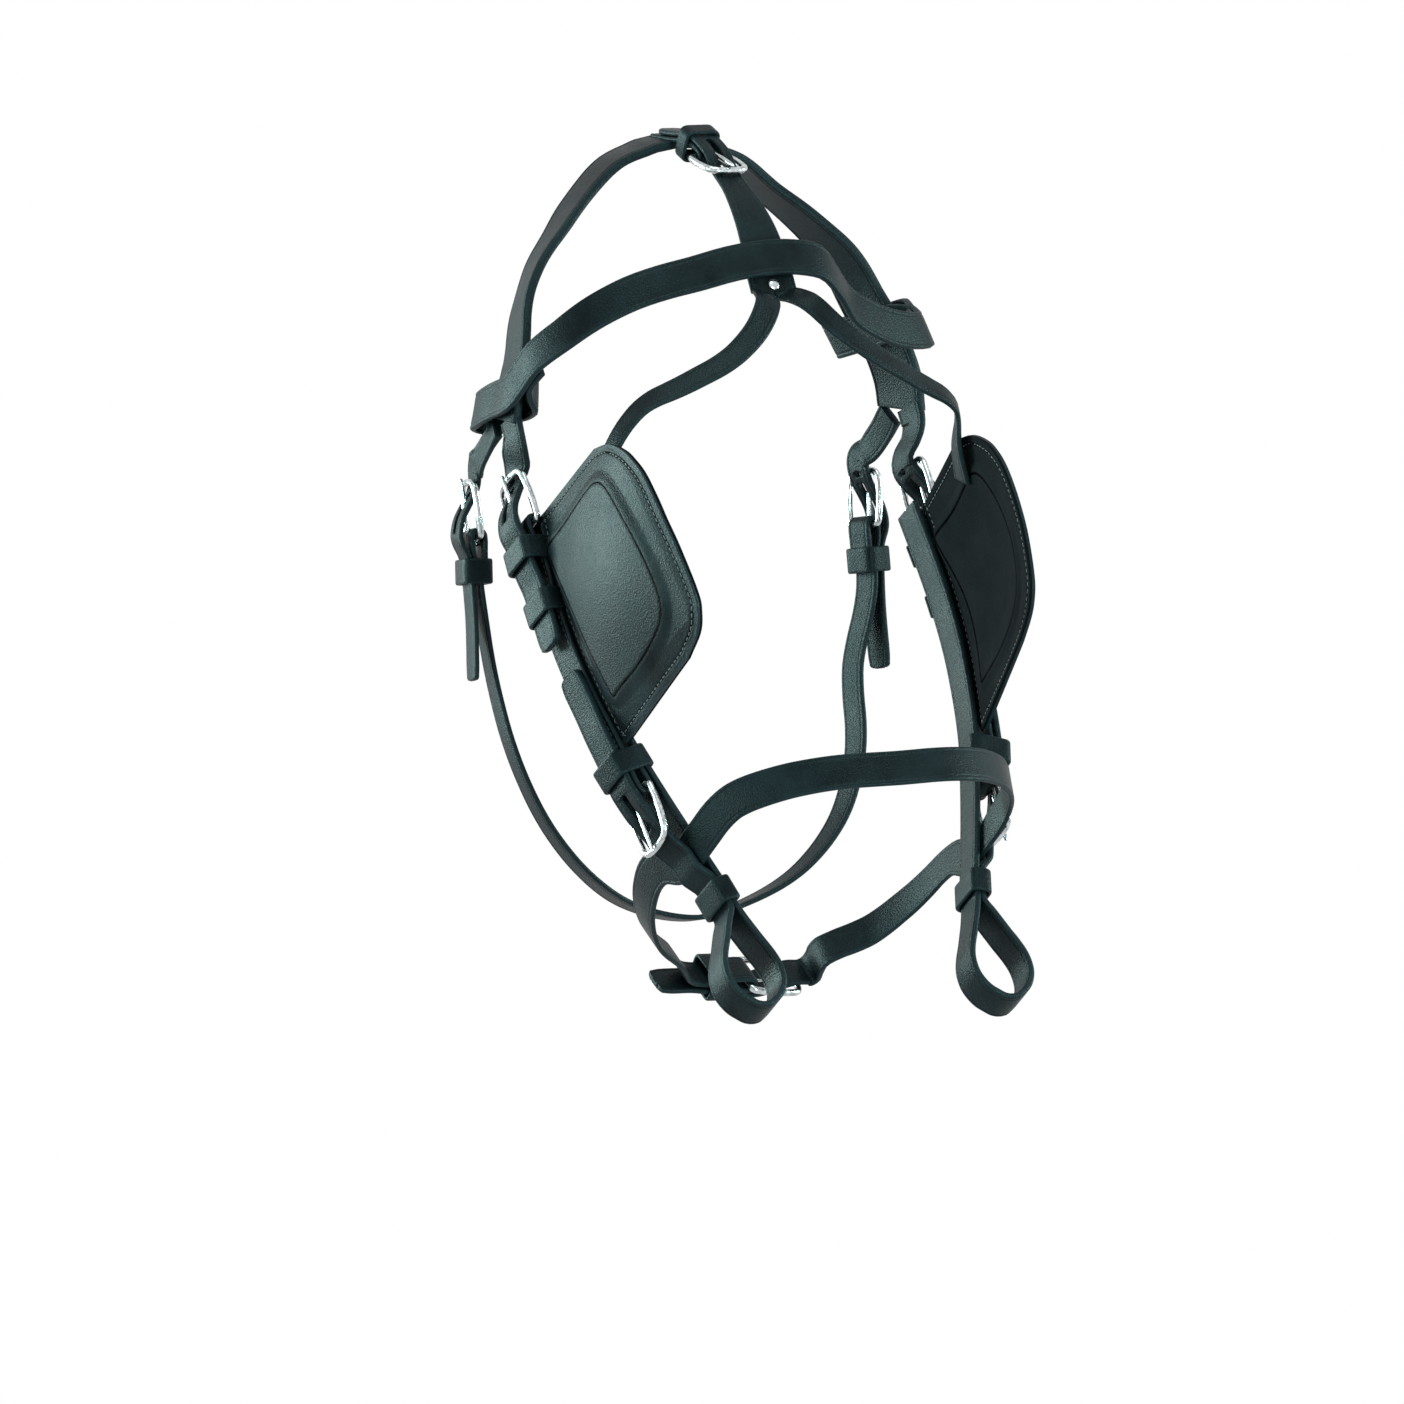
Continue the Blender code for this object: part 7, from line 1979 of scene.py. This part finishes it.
def build_camera():
    """A parallel view of the bridle's right side from the front, turned, raised and rolled a little."""
    scene = bpy.context.scene
    camera = bpy.data.cameras.new("view")
    camera.type = "ORTHO"
    camera.ortho_scale = VIEW_WIDTH
    camera.clip_end = VIEW_DISTANCE * 3
    item = bpy.data.objects.new("view", camera)
    yaw, pitch, roll = (math.radians(value) for value in VIEW_TURN)
    ahead = np.array((-math.cos(yaw) * math.cos(pitch), math.sin(yaw) * math.cos(pitch), -math.sin(pitch)))
    right = np.array((math.sin(yaw), math.cos(yaw), 0.0))
    up = np.cross(right, ahead)
    right, up = right * math.cos(roll) + up * math.sin(roll), up * math.cos(roll) - right * math.sin(roll)
    centre = np.array(VIEW_PIVOT) - right * VIEW_SHIFT[0] - up * VIEW_SHIFT[1]
    turn = np.eye(4)
    turn[:3] = np.column_stack((right, up, -ahead, centre - ahead * VIEW_DISTANCE))
    item.matrix_world = Matrix(turn.tolist())
    scene.collection.objects.link(item)
    scene.camera = item
    scene.view_settings.view_transform = "Standard"


# ---- add-on --------------------------------------------------------------------------------------

class BridleFinish(PropertyGroup):
    """Colours and surface of the leather."""
    deep: StringProperty(name="Deep colour", description="Darkest colour of the leather", default="#05090b")
    lit: StringProperty(name="Lit colour", description="Colour of the cloudy lighter patches",
                        default="#0f171a")
    # Paler colour of the edges and creases: partly wear, partly a painted highlight.
    worn_and_highlit: StringProperty(name="Worn colour", description="Colour of the rubbed edges", default="#172124")
    lining: StringProperty(name="Lining colour", description="Darkest colour of the lining",
                           default="#050709")
    roughness: FloatProperty(name="Roughness", description="Roughness of the waxed face", default=0.40,
                             min=0.1, max=1)
    gloss: FloatProperty(name="Gloss", description="Strength of the wax's reflection", default=0.08,
                         min=0, max=1)
    grain: FloatProperty(name="Grain", description="Width of a pore, in millimetres", default=0.9,
                         min=0.3, max=3)


class BridleStage(PropertyGroup):
    """Light and surroundings."""
    fill: FloatProperty(name="Fill", description="Strength of the light from all round", default=0.35, min=0)
    lamp_share: FloatProperty(name="Lamps", description="Share of the lamps' power", default=1.0, min=0)
    floor_glow: FloatProperty(name="Floor", description="Brightness of the floor as it is seen",
                              default=1.0, min=0)


class BRIDLE_OT_crown(Operator):
    """Build the crownpiece and its four billets"""
    bl_idname = "bridle.crown"
    bl_label = "Crownpiece"

    def execute(self, context):
        build_crown()
        return {"FINISHED"}


class BRIDLE_OT_browband(Operator):
    """Build the browband and its loops"""
    bl_idname = "bridle.browband"
    bl_label = "Browband"

    def execute(self, context):
        build_browband()
        return {"FINISHED"}


class BRIDLE_OT_stay(Operator):
    """Build the forked stay and its hanger"""
    bl_idname = "bridle.stay"
    bl_label = "Winker stay"

    def execute(self, context):
        build_stay()
        return {"FINISHED"}


class BRIDLE_OT_cheeks(Operator):
    """Build the facings and long straps of both cheeks"""
    bl_idname = "bridle.cheeks"
    bl_label = "Cheeks"

    def execute(self, context):
        for label, side in SIDES:
            build_cheek(label, side)
        return {"FINISHED"}


class BRIDLE_OT_throat_nose(Operator):
    """Build the throatlatch and the noseband"""
    bl_idname = "bridle.throat_nose"
    bl_label = "Throatlatch and noseband"

    def execute(self, context):
        build_throat_and_nose()
        return {"FINISHED"}


class BRIDLE_OT_keepers(Operator):
    """Build the keepers and the bit runners"""
    bl_idname = "bridle.keepers"
    bl_label = "Keepers"

    def execute(self, context):
        build_keepers()
        return {"FINISHED"}


class BRIDLE_OT_buckles(Operator):
    """Build the buckle frames and tongues"""
    bl_idname = "bridle.buckles"
    bl_label = "Buckles"

    def execute(self, context):
        build_buckles()
        return {"FINISHED"}


class BRIDLE_OT_winkers(Operator):
    """Build both winkers and their stitches"""
    bl_idname = "bridle.winkers"
    bl_label = "Winkers"

    def execute(self, context):
        build_winkers()
        return {"FINISHED"}


class BRIDLE_OT_stitching(Operator):
    """Build the stitches of the cheeks and the browband"""
    bl_idname = "bridle.stitching"
    bl_label = "Stitching"

    def execute(self, context):
        build_cheek_stitching()
        build_band_stitching()
        return {"FINISHED"}


class BRIDLE_OT_rivet(Operator):
    """Build the stay's rivet"""
    bl_idname = "bridle.rivet"
    bl_label = "Rivet"

    def execute(self, context):
        build_rivet()
        return {"FINISHED"}


class BRIDLE_OT_stage(Operator):
    """Build the floor, the surroundings, the lamps and the camera"""
    bl_idname = "bridle.stage"
    bl_label = "Stage"

    def execute(self, context):
        build_floor()
        build_surroundings()
        build_lamps()
        build_camera()
        return {"FINISHED"}


OPERATORS = (BRIDLE_OT_crown, BRIDLE_OT_browband, BRIDLE_OT_stay, BRIDLE_OT_cheeks,
             BRIDLE_OT_throat_nose, BRIDLE_OT_keepers, BRIDLE_OT_buckles, BRIDLE_OT_winkers,
             BRIDLE_OT_stitching, BRIDLE_OT_rivet, BRIDLE_OT_stage)


class BRIDLE_PT_parts(Panel):
    """Lists the bridle's parts and finishes in the sidebar."""
    bl_idname = "BRIDLE_PT_parts"
    bl_label = "Driving bridle"
    bl_space_type = "VIEW_3D"
    bl_region_type = "UI"
    bl_category = "Bridle"

    def draw(self, context):
        layout = self.layout
        for name in ("deep", "lit", "worn_and_highlit", "lining", "roughness", "gloss", "grain"):
            layout.prop(context.scene.bridle_finish, name)
        for name in ("fill", "lamp_share", "floor_glow"):
            layout.prop(context.scene.bridle_stage, name)
        for operator in OPERATORS:
            layout.operator(operator.bl_idname)


CLASSES = (BridleFinish, BridleStage, *OPERATORS, BRIDLE_PT_parts)


def register():
    """Register the classes and hang the settings on the scene."""
    for item in CLASSES:
        bpy.utils.register_class(item)
    bpy.types.Scene.bridle_finish = PointerProperty(type=BridleFinish)
    bpy.types.Scene.bridle_stage = PointerProperty(type=BridleStage)


def unregister():
    """Take the settings off the scene and unregister the classes."""
    del bpy.types.Scene.bridle_stage
    del bpy.types.Scene.bridle_finish
    for item in reversed(CLASSES):
        bpy.utils.unregister_class(item)


def main():
    """Build everything in order."""
    register()
    bpy.ops.bridle.crown()
    bpy.ops.bridle.browband()
    bpy.ops.bridle.stay()
    bpy.ops.bridle.cheeks()
    bpy.ops.bridle.throat_nose()
    bpy.ops.bridle.keepers()
    bpy.ops.bridle.buckles()
    bpy.ops.bridle.winkers()
    bpy.ops.bridle.stitching()
    bpy.ops.bridle.rivet()
    bpy.ops.bridle.stage()
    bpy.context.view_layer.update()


if __name__ == "__main__":
    main()
